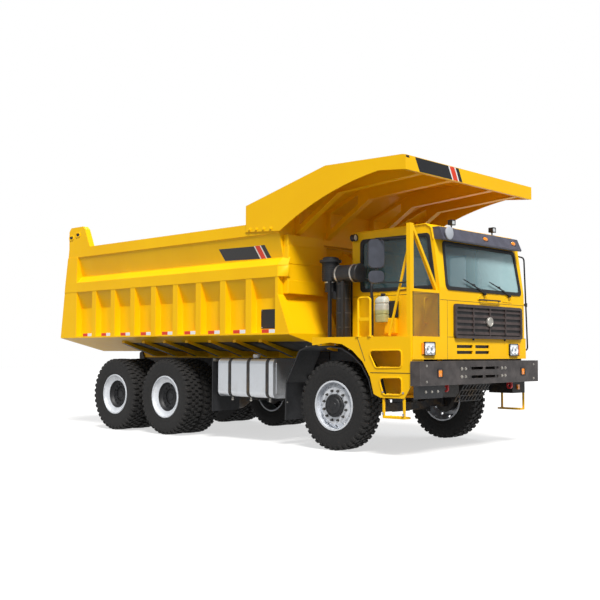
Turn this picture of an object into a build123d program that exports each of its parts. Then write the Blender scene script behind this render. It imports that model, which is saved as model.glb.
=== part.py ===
from build123d import *
import math
import os

# Mining dump truck with a cab set to the left, a bed with a canopy, two rear axles and a front hoist.
# Millimetres. +X is the truck's left, +Y runs rearwards, +Z is up from the ground.
# While the pieces are made, Y is counted from the front axle. save() then moves them by MID_LENGTH,
# which puts the origin on the ground under the middle of the overall length.

os.makedirs("parts", exist_ok=True)

# Driving dimensions: wheels and axles
TYRE_RADIUS = 690
TYRE_WIDTH = 375
TREAD_WIDTH = 340
LUG_DEPTH = 28
LUG_COUNT = 21
LUG_TIP_SHARE = 0.27
LUG_ROOT_SHARE = 0.36
SHOULDER_DROP = 6
BULGE_DROP = 100
BEAD_INSET = 20
BEAD_RADIUS = 385
FRONT_WHEEL_X = 1455
REAR_OUTER_X = 1588
TWIN_SPACING = 430
KINGPIN_X = 1250
AXLE_2_Y = 4000
AXLE_3_Y = 5560

# Driving dimensions: chassis
RAIL_OUTER_X = 430
RAIL_FLANGE = 95
RAIL_PLATE = 16
RAIL_LOW_Z = 1050
RAIL_TOP_Z = 1380
FRAME_FRONT_Y = -1440
FRAME_REAR_Y = 6530
BUMPER_FACE_Y = -1683
BUMPER_HALF = 1677
BUMPER_END_X = 1720
BUMPER_LOW_Z = 1036
BUMPER_TOP_Z = 1385

# Driving dimensions: cab and platform
CAB_RIGHT_X = -1000
CAB_LEFT_X = 1450
CAB_FRONT_Y = -1560
CAB_REAR_Y = 130
CAB_LOW_Z = 1745
CAB_TOP_Z = 3460
CAB_WALL = 50
SKIRT_LOW_Z = 1412
SCREEN_LOW_Z = 2480
SCREEN_TOP_Z = 3180
SCREEN_LEAN = 100
DECK_OUTER_X = 1700
DECK_TOP_Z = 1745
DECK_REAR_Y = 370
PLATE = 12

# Driving dimensions: bed
BED_HALF = 1795
RIB_DEPTH = 130
WALL_PLATE = 40
BED_LOW_Z = 1814
FLOOR_LOW_Z = 1530
FLOOR_PLATE = 45
FLOOR_FLAT_X = 720
OVERHANG_Z = 2400
RAIL_BOX_LOW_Z = 3460
BED_TOP_Z = 3655
RUB_LOW_Z = 2740
RUB_TOP_Z = 2930
BED_FRONT_Y = 1050
BED_FOOT_Y = 790
NOSE_TOP_Z = 2450
BED_REAR_LOW_Y = 7466
BED_REAR_TOP_Y = 7217
BED_PIVOT_Y = 6450
BED_PIVOT_Z = 1465
PIVOT_PIN_RADIUS = 40
RIB_COUNT = 8
RIB_PITCH = 646
RIB_WIDTH = 140
LAST_RIB_Y = 6260
WELL_HALF = 600

# Driving dimensions: canopy
CANOPY_FRONT_Y = -1535
CANOPY_LIP_LOW_Z = 4143
CANOPY_LIP_TOP_Z = 4357
CANOPY_KNEE_Y = 20
CANOPY_KNEE_Z = 4410
CANOPY_REAR_Y = 1810
CANOPY_PLATE = 20
SHEET_PLATE = 25
SHEET_REAR_Z = 3889
SHEET_KNEE_Z = 4315
SHEET_FRONT_Z = 4285

# Driving dimensions: hoist
HOIST_FOOT_Y = 750
HOIST_FOOT_Z = 950
HOIST_EYE_Y = 950
HOIST_EYE_Z = 3050
HOIST_PIN_RADIUS = 40
HOIST_RADII = (130, 105, 80, 55)

# Named clearances
RUNNING_GAP = 0.3
SEAT_GAP = 0.3
SIDE_GAP = 3
DOOR_PIN_GAP = 1

# How far a cutting shape reaches past the piece that it cuts
CUT_REACH = 20

WALL_X = BED_HALF - RIB_DEPTH
WALL_INSIDE_X = WALL_X - WALL_PLATE
MID_LENGTH = (BED_REAR_LOW_Y + BUMPER_FACE_Y) / 2


def save(name, part):
    """Writes one node, moved so that the origin is under the middle of the overall length."""
    export_step(Pos(0, -MID_LENGTH, 0) * part, f"parts/{name}.step")


def block(x, y, z):
    """Block between pairs of coordinates."""
    size = [abs(b - a) for a, b in (x, y, z)]
    middle = [(a + b) / 2 for a, b in (x, y, z)]
    return Pos(*middle) * Box(*size)


def side_plate(outline, x0, x1):
    """Outline in Y and Z, from x0 to x1."""
    face = outline if isinstance(outline, (Face, Sketch)) else Polygon(*outline, align=None)
    return extrude(Plane.YZ.offset(min(x0, x1)) * face, amount=abs(x1 - x0), dir=(1, 0, 0))


def front_plate(outline, y0, y1):
    """Outline in X and Z, from y0 to y1."""
    face = Polygon(*outline, align=None)
    return extrude(Plane.XZ.offset(-max(y0, y1)) * face, amount=abs(y1 - y0), dir=(0, -1, 0))


def flat_plate(outline, z0, z1):
    """Outline in X and Y, from z0 to z1."""
    face = Polygon(*outline, align=None)
    return extrude(Plane.XY.offset(min(z0, z1)) * face, amount=abs(z1 - z0), dir=(0, 0, 1))


def rounded_face(outline, radius):
    """Closed outline with every corner rounded."""
    return make_face(FilletPolyline(*outline, radius=radius, close=True))


def rod(start, end, radius):
    """Round bar between two points."""
    axis = Vector(*end) - Vector(*start)
    plane = Plane(origin=start, z_dir=axis)
    return extrude(plane * Circle(radius), amount=axis.length)


def bar(start, end, width):
    """Square bar between two points."""
    axis = Vector(*end) - Vector(*start)
    plane = Plane(origin=start, z_dir=axis)
    return extrude(plane * Rectangle(width, width), amount=axis.length)


def bent_tube(points, radius, bend):
    """Round tube along straight runs joined by arcs."""
    path = FilletPolyline(*points, radius=bend)
    start = Vector(*points[0])
    plane = Plane(origin=start, z_dir=Vector(*points[1]) - start)
    return sweep(plane * Circle(radius), path=path)


def both_sides(part):
    """The piece and its mirror image across the truck's middle."""
    return part + mirror(part, about=Plane.YZ)


def strip(points, thickness, x0, x1):
    """Sheet that follows a line in Y and Z, its thickness laid to the line's left."""
    shifted = []
    for i, point in enumerate(points):
        before = Vector(*points[max(i - 1, 0)])
        after = Vector(*points[min(i + 1, len(points) - 1)])
        along = (after - before).normalized()
        shifted.append((point[0] - along.Y * thickness, point[1] + along.X * thickness))
    return side_plate(list(points) + shifted[::-1], x0, x1)


def turned(profile, x, y, z):
    """Solid of revolution about an axis along X, from (x, radius) points."""
    face = Polygon(*profile, align=None)
    return Pos(x, y, z) * revolve(Plane.XY * face, axis=Axis.X)


# Wheels

RIM_WALL = 20
RIM_LIP = 14
RIM_LIP_GAP = 1
RIM_RADIUS = BEAD_RADIUS * math.cos(math.pi / LUG_COUNT) - SEAT_GAP
RIM_INSIDE = RIM_RADIUS - RIM_WALL
BEAD_X = TREAD_WIDTH / 2 - BEAD_INSET
DISC_PLATE = 18
DISC_LAP = 1
FRONT_DISC_X = 100
FRONT_CONE_X = 40
FRONT_FLAT_RADIUS = 282
FRONT_HUB_BACK_X = -95
FRONT_HUB_FACE_X = 150
FRONT_HUB_CAP_X = 165
FRONT_HUB_RADII = (150, 174, 125, 105)
HAND_HOLES = 12
HAND_HOLE_RADIUS = 20
HAND_HOLE_CIRCLE = 317
REAR_DISC_X = 60
REAR_DISC_RADIUS = 240
REAR_DISC_PLATE = 20
REAR_HUB_BACK_X = -110
REAR_HUB_FACE_X = 180
REAR_HUB_CAP_X = 205
REAR_HUB_HOLLOW_X = 120
REAR_HUB_RADII = (165, 150, 120)
SPACER_PLATE = 15
SPINDLE_FRONT_RADIUS = 55
SPINDLE_REAR_RADIUS = 75
SPINDLE_DEPTH = 60


def ring(radius, x):
    """Corners of a regular polygon of LUG_COUNT sides in the plane x, a flat side down."""
    step = 2 * math.pi / LUG_COUNT
    angles = [step * (i + 0.5) - math.pi / 2 for i in range(LUG_COUNT)]
    return [(x, radius * math.cos(angle), radius * math.sin(angle)) for angle in angles]


def tread_outline(x):
    """Outline of the lugged tread in the plane x: one lug's tip faces the ground."""
    step = 2 * math.pi / LUG_COUNT
    tip, root = LUG_TIP_SHARE * step, LUG_ROOT_SHARE * step
    tip_radius, root_radius = TYRE_RADIUS / math.cos(tip), TYRE_RADIUS - LUG_DEPTH
    corners = []
    for i in range(LUG_COUNT):
        middle = step * i - math.pi / 2
        for turn, radius in ((-root, root_radius), (-tip, tip_radius), (tip, tip_radius), (root, root_radius)):
            corners.append((x, radius * math.cos(middle + turn), radius * math.sin(middle + turn)))
    return corners


def outline_wire(corners):
    """Closed wire through corners in space."""
    return Wire.make_polygon([Vector(*corner) for corner in corners], close=True)


def band(first, second):
    """Flat faces between two outlines of as many corners each."""
    following = zip(first, first[1:] + first[:1], second[1:] + second[:1], second)
    return [Face(outline_wire(corners)) for corners in following]


def make_tyre():
    """Lugged tyre with flat facets all round."""
    half_tread, half_width, bead_x = TREAD_WIDTH / 2, TYRE_WIDTH / 2, TREAD_WIDTH / 2 - BEAD_INSET
    shoulder_radius = TYRE_RADIUS - LUG_DEPTH - SHOULDER_DROP
    bulge_radius = TYRE_RADIUS - LUG_DEPTH - BULGE_DROP
    faces = band(tread_outline(-half_tread), tread_outline(half_tread))
    faces += band(ring(BEAD_RADIUS, -bead_x), ring(BEAD_RADIUS, bead_x))
    for side in (-1, 1):
        shoulder, bulge = ring(shoulder_radius, side * half_tread), ring(bulge_radius, side * half_width)
        faces.append(Face(outline_wire(tread_outline(side * half_tread)), [outline_wire(shoulder)]))
        faces += band(shoulder, bulge) + band(bulge, ring(BEAD_RADIUS, side * bead_x))
    return Solid(Shell(faces))


def barrel(at):
    """Rim barrel with a lip at each end, its middle plane at x = at."""
    near, far = BEAD_X + RIM_LIP_GAP, BEAD_X + RIM_LIP_GAP + RIM_LIP
    profile = [(at - far, RIM_INSIDE), (at - far, BEAD_RADIUS), (at - near, BEAD_RADIUS), (at - near, RIM_RADIUS),
               (at + near, RIM_RADIUS), (at + near, BEAD_RADIUS), (at + far, BEAD_RADIUS), (at + far, RIM_INSIDE)]
    return turned(profile, 0, 0, 0)


def make_front_rim():
    """Front rim: barrel, disc with a flat ring and a cone with hand holes, and the hub round the spindle."""
    inside = RIM_INSIDE + DISC_LAP
    face_x = FRONT_DISC_X + DISC_PLATE
    neck, cover, face, cap = FRONT_HUB_RADII
    bore = SPINDLE_FRONT_RADIUS + RUNNING_GAP
    disc = [(FRONT_CONE_X, inside), (FRONT_DISC_X, FRONT_FLAT_RADIUS), (FRONT_DISC_X, neck - DISC_PLATE),
            (face_x, neck - DISC_PLATE), (face_x, FRONT_FLAT_RADIUS), (FRONT_CONE_X + DISC_PLATE, inside)]
    hub = [(FRONT_HUB_BACK_X, bore), (FRONT_HUB_BACK_X, neck), (FRONT_DISC_X, neck), (face_x, neck),
           (face_x, cover), (FRONT_HUB_FACE_X, cover), (FRONT_HUB_FACE_X, face), (FRONT_HUB_CAP_X, cap),
           (FRONT_HUB_CAP_X, 0), (SPINDLE_DEPTH, 0), (SPINDLE_DEPTH, bore)]
    part = barrel(0) + turned(disc, 0, 0, 0) + turned(hub, 0, 0, 0)
    for i in range(HAND_HOLES):
        angle = 2 * math.pi * i / HAND_HOLES
        y, z = HAND_HOLE_CIRCLE * math.cos(angle), HAND_HOLE_CIRCLE * math.sin(angle)
        part -= rod((0, y, z), (FRONT_HUB_FACE_X, y, z), HAND_HOLE_RADIUS)
    return part


def make_twin_rims():
    """Twin rims on one hub: the outer one is a deep dish."""
    inside = RIM_INSIDE + DISC_LAP
    spacer_in, spacer_out = -TWIN_SPACING / 2 + BEAD_X, TWIN_SPACING / 2 - BEAD_X
    back, face, cap = REAR_HUB_RADII
    bore = SPINDLE_REAR_RADIUS + RUNNING_GAP
    disc_face_x = REAR_DISC_X + REAR_DISC_PLATE
    spacer = [(spacer_in, inside - SPACER_PLATE), (spacer_in, inside), (spacer_out, inside),
              (spacer_out, inside - SPACER_PLATE)]
    disc = [(spacer_out - REAR_DISC_PLATE, inside - DISC_LAP), (REAR_DISC_X, REAR_DISC_RADIUS),
            (REAR_DISC_X, face - DISC_PLATE), (disc_face_x, face - DISC_PLATE), (disc_face_x, REAR_DISC_RADIUS),
            (spacer_out + DISC_LAP, inside - DISC_LAP)]
    hub = [(REAR_HUB_BACK_X, bore), (REAR_HUB_BACK_X, back), (REAR_DISC_X, back), (disc_face_x, face),
           (REAR_HUB_FACE_X, face), (REAR_HUB_CAP_X, cap), (REAR_HUB_CAP_X, 0), (REAR_HUB_HOLLOW_X, 0),
           (REAR_HUB_HOLLOW_X, bore)]
    part = barrel(TWIN_SPACING / 2) + barrel(-TWIN_SPACING / 2)
    return part + turned(spacer, 0, 0, 0) + turned(disc, 0, 0, 0) + turned(hub, 0, 0, 0)


def make_wheels():
    """Front wheels and the rear twins, each set made once and carried to its places."""
    tyre, front_rim, twin_rims = make_tyre(), make_front_rim(), make_twin_rims()
    twin_x = REAR_OUTER_X - TWIN_SPACING / 2
    # columns: name, side (+1 is the truck's left)
    for name, side in (("left", 1), ("right", -1)):
        single = front_rim if side > 0 else mirror(front_rim, about=Plane.YZ)
        twins = twin_rims if side > 0 else mirror(twin_rims, about=Plane.YZ)
        save(f"tyre_front_{name}", Pos(side * FRONT_WHEEL_X, 0, TYRE_RADIUS) * tyre)
        save(f"rim_front_{name}", Pos(side * FRONT_WHEEL_X, 0, TYRE_RADIUS) * single)
        for number, y in ((2, AXLE_2_Y), (3, AXLE_3_Y)):
            pair = [Pos(side * x, y, TYRE_RADIUS) * tyre for x in (REAR_OUTER_X, REAR_OUTER_X - TWIN_SPACING)]
            save(f"tyres_axle{number}_{name}", Compound(children=pair))
            save(f"rims_axle{number}_{name}", Pos(side * twin_x, y, TYRE_RADIUS) * twins)


# Axles, springs and steering

AXLE_Z = TYRE_RADIUS
BOSS_LOW_Z = AXLE_Z - 85
BOSS_TOP_Z = AXLE_Z + 85
BOSS_RADIUS = 62
KINGPIN_RADIUS = 32
KINGPIN_REACH = 40
YOKE_LUG = 36
KNUCKLE_HALF = 70
KNUCKLE_BACK_GAP = 6
KNUCKLE_FACE_INSET = 98
SPINDLE_REACH = 50
STEER_ARM_PLATE = 30
STEER_ARM_FOOT_Y = 50
ARM_LOW_Z = BOSS_LOW_Z - SIDE_GAP - YOKE_LUG
TIE_ROD_Y = 215
TIE_ROD_X = KINGPIN_X - 62
TIE_ROD_RADIUS = 25
TIE_ROD_BOSS_RADIUS = 34
# columns: x, z of the front axle beam's under and upper edge, from the middle outwards
BEAM_UNDER = ((700, 560), (900, 600), (1200, 610))
BEAM_UPPER = ((1200, 720), (860, 720), (640, 680))
BEAM_HALF = 60
SPRING_X = 380
SPRING_HALF_WIDTH = 45
SPRING_SEAT_Z = 735
SPRING_SEAT_HALF = 70
SPRING_SEAT_LENGTH = 180
SPRING_SEAT_PLATE = 60
FRONT_LEAF = 22
FRONT_LEAF_RISE = 150
FRONT_LEAF_SHARES = (0.5, 0.75, 1.0)
SPRING_EYE_RADIUS = 38
HANGER_HALF = 45
HANGER_Y = 580
HANGER_Z = 915


def make_front_axle():
    """Forged beam with a boss and a kingpin at each end."""
    half = BEAM_UNDER + BEAM_UPPER
    beam = list(half) + [(-x, z) for x, z in half[::-1]]
    part = front_plate(beam, -BEAM_HALF, BEAM_HALF)
    for side in (-1, 1):
        x = side * KINGPIN_X
        part += rod((x, 0, BOSS_LOW_Z), (x, 0, BOSS_TOP_Z), BOSS_RADIUS)
        part += rod((x, 0, BOSS_LOW_Z - KINGPIN_REACH), (x, 0, BOSS_TOP_Z + KINGPIN_REACH), KINGPIN_RADIUS)
        seat = (side * SPRING_X - SPRING_SEAT_HALF, side * SPRING_X + SPRING_SEAT_HALF)
        part += block(seat, (-SPRING_SEAT_LENGTH / 2, SPRING_SEAT_LENGTH / 2),
                      (SPRING_SEAT_Z - SPRING_SEAT_PLATE, SPRING_SEAT_Z))
    save("front_axle", part)


def leaf(length, rise, thickness, seat_z):
    """One bent leaf in Y and Z, its middle lying on seat_z."""
    low = ThreePointArc((-length, seat_z + rise), (0, seat_z), (length, seat_z + rise))
    top = ThreePointArc((length, seat_z + rise + thickness), (0, seat_z + thickness),
                        (-length, seat_z + rise + thickness))
    ends = [Line(low @ 1, top @ 0), Line(top @ 1, low @ 0)]
    return make_face([low, ends[0], top, ends[1]])


def make_front_springs():
    """Leaf packs between the axle seats and the hangers under the rails."""
    part = None
    for side in (-1, 1):
        span = (side * SPRING_X - SPRING_HALF_WIDTH, side * SPRING_X + SPRING_HALF_WIDTH)
        pack = None
        for i, share in enumerate(FRONT_LEAF_SHARES):
            one = leaf(HANGER_Y * share, FRONT_LEAF_RISE * share * share, FRONT_LEAF, SPRING_SEAT_Z + FRONT_LEAF * i)
            solid = side_plate(one, *span)
            pack = solid if pack is None else pack + solid
        for eye_y in (-HANGER_Y, HANGER_Y):
            pack += rod((span[0], eye_y, HANGER_Z), (span[1], eye_y, HANGER_Z), SPRING_EYE_RADIUS)
            pack += block(span, (eye_y - HANGER_HALF, eye_y + HANGER_HALF), (HANGER_Z, RAIL_LOW_Z))
        part = pack if part is None else part + pack
    save("front_springs", part)


def make_knuckle(side):
    """Steering knuckle: a yoke over the axle's boss, the spindle and the steering arm."""
    x = side * KINGPIN_X
    back = side * (KINGPIN_X + BOSS_RADIUS + KNUCKLE_BACK_GAP)
    face = side * (FRONT_WHEEL_X - KNUCKLE_FACE_INSET)
    low_z, top_z = BOSS_LOW_Z - SIDE_GAP, BOSS_TOP_Z + SIDE_GAP
    part = block((back, face), (-KNUCKLE_HALF, KNUCKLE_HALF), (low_z - YOKE_LUG, top_z + YOKE_LUG))
    for z0, z1 in ((low_z - YOKE_LUG, low_z), (top_z, top_z + YOKE_LUG)):
        part += rod((x, 0, z0), (x, 0, z1), BOSS_RADIUS) + block((x, back), (-BEAM_HALF, BEAM_HALF), (z0, z1))
    part -= rod((x, 0, low_z - YOKE_LUG), (x, 0, top_z + YOKE_LUG), KINGPIN_RADIUS + RUNNING_GAP)
    part += rod((face, 0, AXLE_Z), (side * (FRONT_WHEEL_X + SPINDLE_REACH), 0, AXLE_Z), SPINDLE_FRONT_RADIUS)
    arm_x, half = side * TIE_ROD_X, side * STEER_ARM_PLATE
    arm = [(x - half, STEER_ARM_FOOT_Y), (x + half, STEER_ARM_FOOT_Y), (arm_x + half, TIE_ROD_Y + STEER_ARM_PLATE),
           (arm_x - half, TIE_ROD_Y + STEER_ARM_PLATE)]
    part += flat_plate(arm, ARM_LOW_Z, ARM_LOW_Z + STEER_ARM_PLATE)
    save("knuckle_left" if side > 0 else "knuckle_right", part)


def make_tie_rod():
    """Track rod behind the front axle, its end bosses under the two steering arms."""
    top_z = ARM_LOW_Z - SEAT_GAP
    z = top_z - TIE_ROD_RADIUS - SIDE_GAP
    part = rod((-TIE_ROD_X, TIE_ROD_Y, z), (TIE_ROD_X, TIE_ROD_Y, z), TIE_ROD_RADIUS)
    for x in (-TIE_ROD_X, TIE_ROD_X):
        part += rod((x, TIE_ROD_Y, z - TIE_ROD_BOSS_RADIUS), (x, TIE_ROD_Y, top_z), TIE_ROD_BOSS_RADIUS)
    save("tie_rod", part)


REAR_TUBE_RADIUS = 125
REAR_SPINDLE_END = 100
REAR_TUBE_END = 118
TRUNNION_Y = (AXLE_2_Y + AXLE_3_Y) / 2
REAR_SPRING_X = 535
REAR_SPRING_HALF = 55
REAR_SPRING_RISE = 110
REAR_LEAF = 30
REAR_LEAF_SHARES = (1.0, 0.8, 0.6, 0.4)
REAR_PAD_HALF = 70
REAR_PAD_PLATE = 30
REAR_PAD_Z = AXLE_Z + REAR_TUBE_RADIUS + REAR_PAD_PLATE
SADDLE_HALF = 90
SADDLE_DEPTH = 90
SADDLE_LAP = 5
SADDLE_DROP = 10
TRUNNION_PLATE = 36
TRUNNION_HALF = 170
TRUNNION_TOP_Z = RAIL_TOP_Z - 30
CASING_RADIUS = 285
CASING_FLAT_X = 125
# columns: x, radius where the axle tube swells into the casing
CASING_NECK = ((380, REAR_TUBE_RADIUS), (230, 240))
PINION_REACH = 420
PINION_RADIUS = 110
PINION_Z = AXLE_Z + 40


def arc_height(reach, rise, at):
    """Height of a shallow arc of the given rise above its middle, at a distance along it."""
    radius = (reach ** 2 + rise ** 2) / (2 * rise)
    return radius - math.sqrt(radius ** 2 - at ** 2)


def make_rear_axles():
    """Two axle housings with the round drive casing in the middle."""
    twin_x = REAR_OUTER_X - TWIN_SPACING / 2
    end_x, spindle_x = twin_x - REAR_TUBE_END, twin_x + REAR_SPINDLE_END
    half = [(spindle_x, SPINDLE_REAR_RADIUS), (end_x, SPINDLE_REAR_RADIUS), (end_x, REAR_TUBE_RADIUS)]
    half += list(CASING_NECK) + [(CASING_FLAT_X, CASING_RADIUS)]
    profile = [(-spindle_x, 0)] + [(-x, r) for x, r in half] + half[::-1] + [(spindle_x, 0)]
    axles = []
    for y in (AXLE_2_Y, AXLE_3_Y):
        axle = turned(profile, 0, y, AXLE_Z)
        axle += rod((0, y - PINION_REACH, PINION_Z), (0, y, PINION_Z), PINION_RADIUS)
        for side in (-1, 1):
            pad = (side * REAR_SPRING_X - REAR_PAD_HALF, side * REAR_SPRING_X + REAR_PAD_HALF)
            axle += block(pad, (y - REAR_PAD_HALF, y + REAR_PAD_HALF), (AXLE_Z, REAR_PAD_Z))
        axles.append(axle)
    save("rear_axles", Compound(children=axles))


def make_rear_suspension():
    """Leaf packs carried at the middle by a trunnion, their ends resting on the axles."""
    half_spacing = (AXLE_3_Y - AXLE_2_Y) / 2
    reach = half_spacing + REAR_PAD_HALF
    seat_z = REAR_PAD_Z + SEAT_GAP - arc_height(reach, REAR_SPRING_RISE, half_spacing - REAR_PAD_HALF)
    saddle_top_z = seat_z - REAR_LEAF * (len(REAR_LEAF_SHARES) - 1)
    saddle_low_z = saddle_top_z - SADDLE_DEPTH
    saddle_y = (TRUNNION_Y - SADDLE_HALF, TRUNNION_Y + SADDLE_HALF)
    part = None
    for side in (-1, 1):
        span = (side * REAR_SPRING_X - REAR_SPRING_HALF, side * REAR_SPRING_X + REAR_SPRING_HALF)
        near = span[0] if side > 0 else span[1]
        rail = side * RAIL_OUTER_X
        pack = None
        for i, share in enumerate(REAR_LEAF_SHARES):
            one = leaf(reach * share, REAR_SPRING_RISE * share * share, REAR_LEAF, seat_z - REAR_LEAF * i)
            solid = Pos(0, TRUNNION_Y, 0) * side_plate(one, *span)
            pack = solid if pack is None else pack + solid
        pack += block(span, saddle_y, (saddle_low_z, saddle_top_z + SADDLE_LAP))
        pack += block((rail, near), saddle_y, (saddle_low_z, saddle_top_z - SADDLE_DROP))
        pack += block((rail, rail + side * TRUNNION_PLATE), (TRUNNION_Y - TRUNNION_HALF, TRUNNION_Y + TRUNNION_HALF),
                      (saddle_low_z, TRUNNION_TOP_Z))
        part = pack if part is None else part + pack
    save("rear_suspension", part)


# Frame and driveline

CROSS_TUBE_Y = (-1125, 1900, 2900, TRUNNION_Y, AXLE_3_Y)
CROSS_TUBE_RADIUS = 75
EAR_RADIUS = 58
EAR_PLATE = 34
EAR_INNER_GAP = 106
EAR_LOW_Z = RAIL_LOW_Z + 60
EAR_FOOT_FRONT = 110
EAR_FOOT_REAR = 80
REST_PAD_Y = (1300, 2700, 4100, 5500)
REST_PAD_HALF = 120
REAR_MEMBER = 60
TOW_PIN_RADIUS = 30
TOW_BOLT_SPACING = 160
TOW_BOLT_RADIUS = 11
BEAM_LOW_Z = 1400
BEAM_FRONT_Y = 1690
HOIST_EAR_X = HOIST_RADII[0] + 10
HOIST_EAR_PLATE = 30
HOIST_BRACKET_DROP = 130
HOIST_BRACKET_HALF = 110
HOIST_EAR_FOOT = 95
HOIST_EAR_TOP = 60
HOIST_HANGER_PLATE = 34
# columns: x and z of the two edges, y of the front and rear end, of each block of the driveline
ENGINE = ((-300, 300), (-1020, 340), (800, 1640))
GEARBOX = ((-210, 210), (340, 600), (880, 1330))
DROP_HOUSING = ((-130, 130), (420, 600), (690, 880))
SHAFT_RADIUS = 50
COOLER_Y = (-1380, -1230)
COOLER_TOP_Z = 1700
COOLER_LIFT = 10


def channel(side):
    """Frame rail: a channel open towards the middle."""
    out, inn = side * RAIL_OUTER_X, side * (RAIL_OUTER_X - RAIL_FLANGE)
    web = side * (RAIL_OUTER_X - RAIL_PLATE)
    outline = [(out, RAIL_LOW_Z), (out, RAIL_TOP_Z), (inn, RAIL_TOP_Z), (inn, RAIL_TOP_Z - RAIL_PLATE),
               (web, RAIL_TOP_Z - RAIL_PLATE), (web, RAIL_LOW_Z + RAIL_PLATE), (inn, RAIL_LOW_Z + RAIL_PLATE),
               (inn, RAIL_LOW_Z)]
    return front_plate(outline, FRAME_FRONT_Y, FRAME_REAR_Y)


def hinge_ear(x0, x1):
    """Bracket plate of the bed's hinge."""
    outline = [(BED_PIVOT_Y - EAR_FOOT_FRONT, EAR_LOW_Z), (BED_PIVOT_Y + EAR_FOOT_REAR, EAR_LOW_Z),
               (BED_PIVOT_Y + EAR_RADIUS, RAIL_TOP_Z), (BED_PIVOT_Y + EAR_RADIUS, BED_PIVOT_Z),
               (BED_PIVOT_Y - EAR_RADIUS, BED_PIVOT_Z), (BED_PIVOT_Y - EAR_FOOT_FRONT, RAIL_TOP_Z)]
    return side_plate(outline, x0, x1) + rod((x0, BED_PIVOT_Y, BED_PIVOT_Z), (x1, BED_PIVOT_Y, BED_PIVOT_Z), EAR_RADIUS)


def hoist_bracket():
    """Cross plate hung between the rails with two ears and the pin for the hoist's foot."""
    inside = RAIL_OUTER_X - RAIL_PLATE
    span = (HOIST_FOOT_Y - HOIST_BRACKET_HALF, HOIST_FOOT_Y + HOIST_BRACKET_HALF)
    low_z = HOIST_FOOT_Z - HOIST_BRACKET_DROP
    part = block((-inside, inside), span, (low_z, low_z + HOIST_EAR_PLATE))
    part += both_sides(block((inside - HOIST_HANGER_PLATE, inside), span, (low_z, RAIL_LOW_Z + RAIL_PLATE)))
    reach = HOIST_EAR_X + HOIST_EAR_PLATE
    ear = [(HOIST_FOOT_Y - HOIST_EAR_FOOT, low_z), (HOIST_FOOT_Y + HOIST_EAR_FOOT, low_z),
           (HOIST_FOOT_Y + HOIST_EAR_TOP, HOIST_FOOT_Z + HOIST_EAR_TOP),
           (HOIST_FOOT_Y - HOIST_EAR_TOP, HOIST_FOOT_Z + HOIST_EAR_TOP)]
    part += both_sides(side_plate(ear, HOIST_EAR_X, reach))
    return part + rod((-reach, HOIST_FOOT_Y, HOIST_FOOT_Z), (reach, HOIST_FOOT_Y, HOIST_FOOT_Z), HOIST_PIN_RADIUS)


def make_frame():
    """Ladder frame with cross tubes, rest pads for the bed and the hoist's foot bracket."""
    part = channel(1) + channel(-1)
    inside = RAIL_OUTER_X - RAIL_PLATE
    middle_z = (RAIL_LOW_Z + RAIL_TOP_Z) / 2
    for y in CROSS_TUBE_Y:
        part += rod((-inside, y, middle_z), (inside, y, middle_z), CROSS_TUBE_RADIUS)
    pad_x = (RAIL_OUTER_X - RAIL_FLANGE, RAIL_OUTER_X)
    for y in REST_PAD_Y:
        pad_y = (y - REST_PAD_HALF, y + REST_PAD_HALF)
        part += both_sides(block(pad_x, pad_y, (RAIL_TOP_Z, BEAM_LOW_Z - SEAT_GAP)))
    save("frame", part + hoist_bracket())


def make_rear_member():
    """Cross member in the rails' rear ends, with the tow pin's hole and the ears and pins of the bed's hinge."""
    inside = RAIL_OUTER_X - RAIL_PLATE
    middle_z = (RAIL_LOW_Z + RAIL_TOP_Z) / 2
    y0, y1 = FRAME_REAR_Y - REAR_MEMBER, FRAME_REAR_Y
    part = block((-inside, inside), (y0, y1), (RAIL_LOW_Z + RAIL_PLATE, RAIL_TOP_Z - RAIL_PLATE))
    inner_x, outer_x = RAIL_OUTER_X - EAR_INNER_GAP, RAIL_OUTER_X + EAR_PLATE
    ears = hinge_ear(RAIL_OUTER_X, outer_x) + hinge_ear(inner_x - EAR_PLATE, inner_x)
    ears += rod((inner_x - EAR_PLATE, BED_PIVOT_Y, BED_PIVOT_Z), (outer_x, BED_PIVOT_Y, BED_PIVOT_Z), PIVOT_PIN_RADIUS)
    part += both_sides(ears)
    part -= rod((0, y0, middle_z), (0, y1, middle_z), TOW_PIN_RADIUS)
    for x in (-TOW_BOLT_SPACING / 2, TOW_BOLT_SPACING / 2):
        for z in (middle_z - TOW_BOLT_SPACING / 2, middle_z + TOW_BOLT_SPACING / 2):
            part -= rod((x, y0, z), (x, y1, z), TOW_BOLT_RADIUS)
    save("rear_member", part)


def make_driveline():
    """Engine as one plain block, gearbox with its drop housing, and the propeller shafts."""
    engine = block(*ENGINE) + block(*GEARBOX) + block(*DROP_HOUSING)
    shafts = []
    # columns: front and rear end of each shaft
    for y0, y1 in ((GEARBOX[1][1], AXLE_2_Y - PINION_REACH), (AXLE_2_Y + CASING_RADIUS, AXLE_3_Y - PINION_REACH)):
        shafts.append(rod((0, y0 + SEAT_GAP, PINION_Z), (0, y1 - SEAT_GAP, PINION_Z), SHAFT_RADIUS))
    save("driveline", Compound(children=[engine] + shafts))


def make_radiator():
    """Cooler block between the rails' front ends."""
    half = RAIL_OUTER_X - RAIL_FLANGE - SEAT_GAP
    save("radiator", block((-half, half), COOLER_Y, (RAIL_LOW_Z + COOLER_LIFT, COOLER_TOP_Z)))


# Bed

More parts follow.
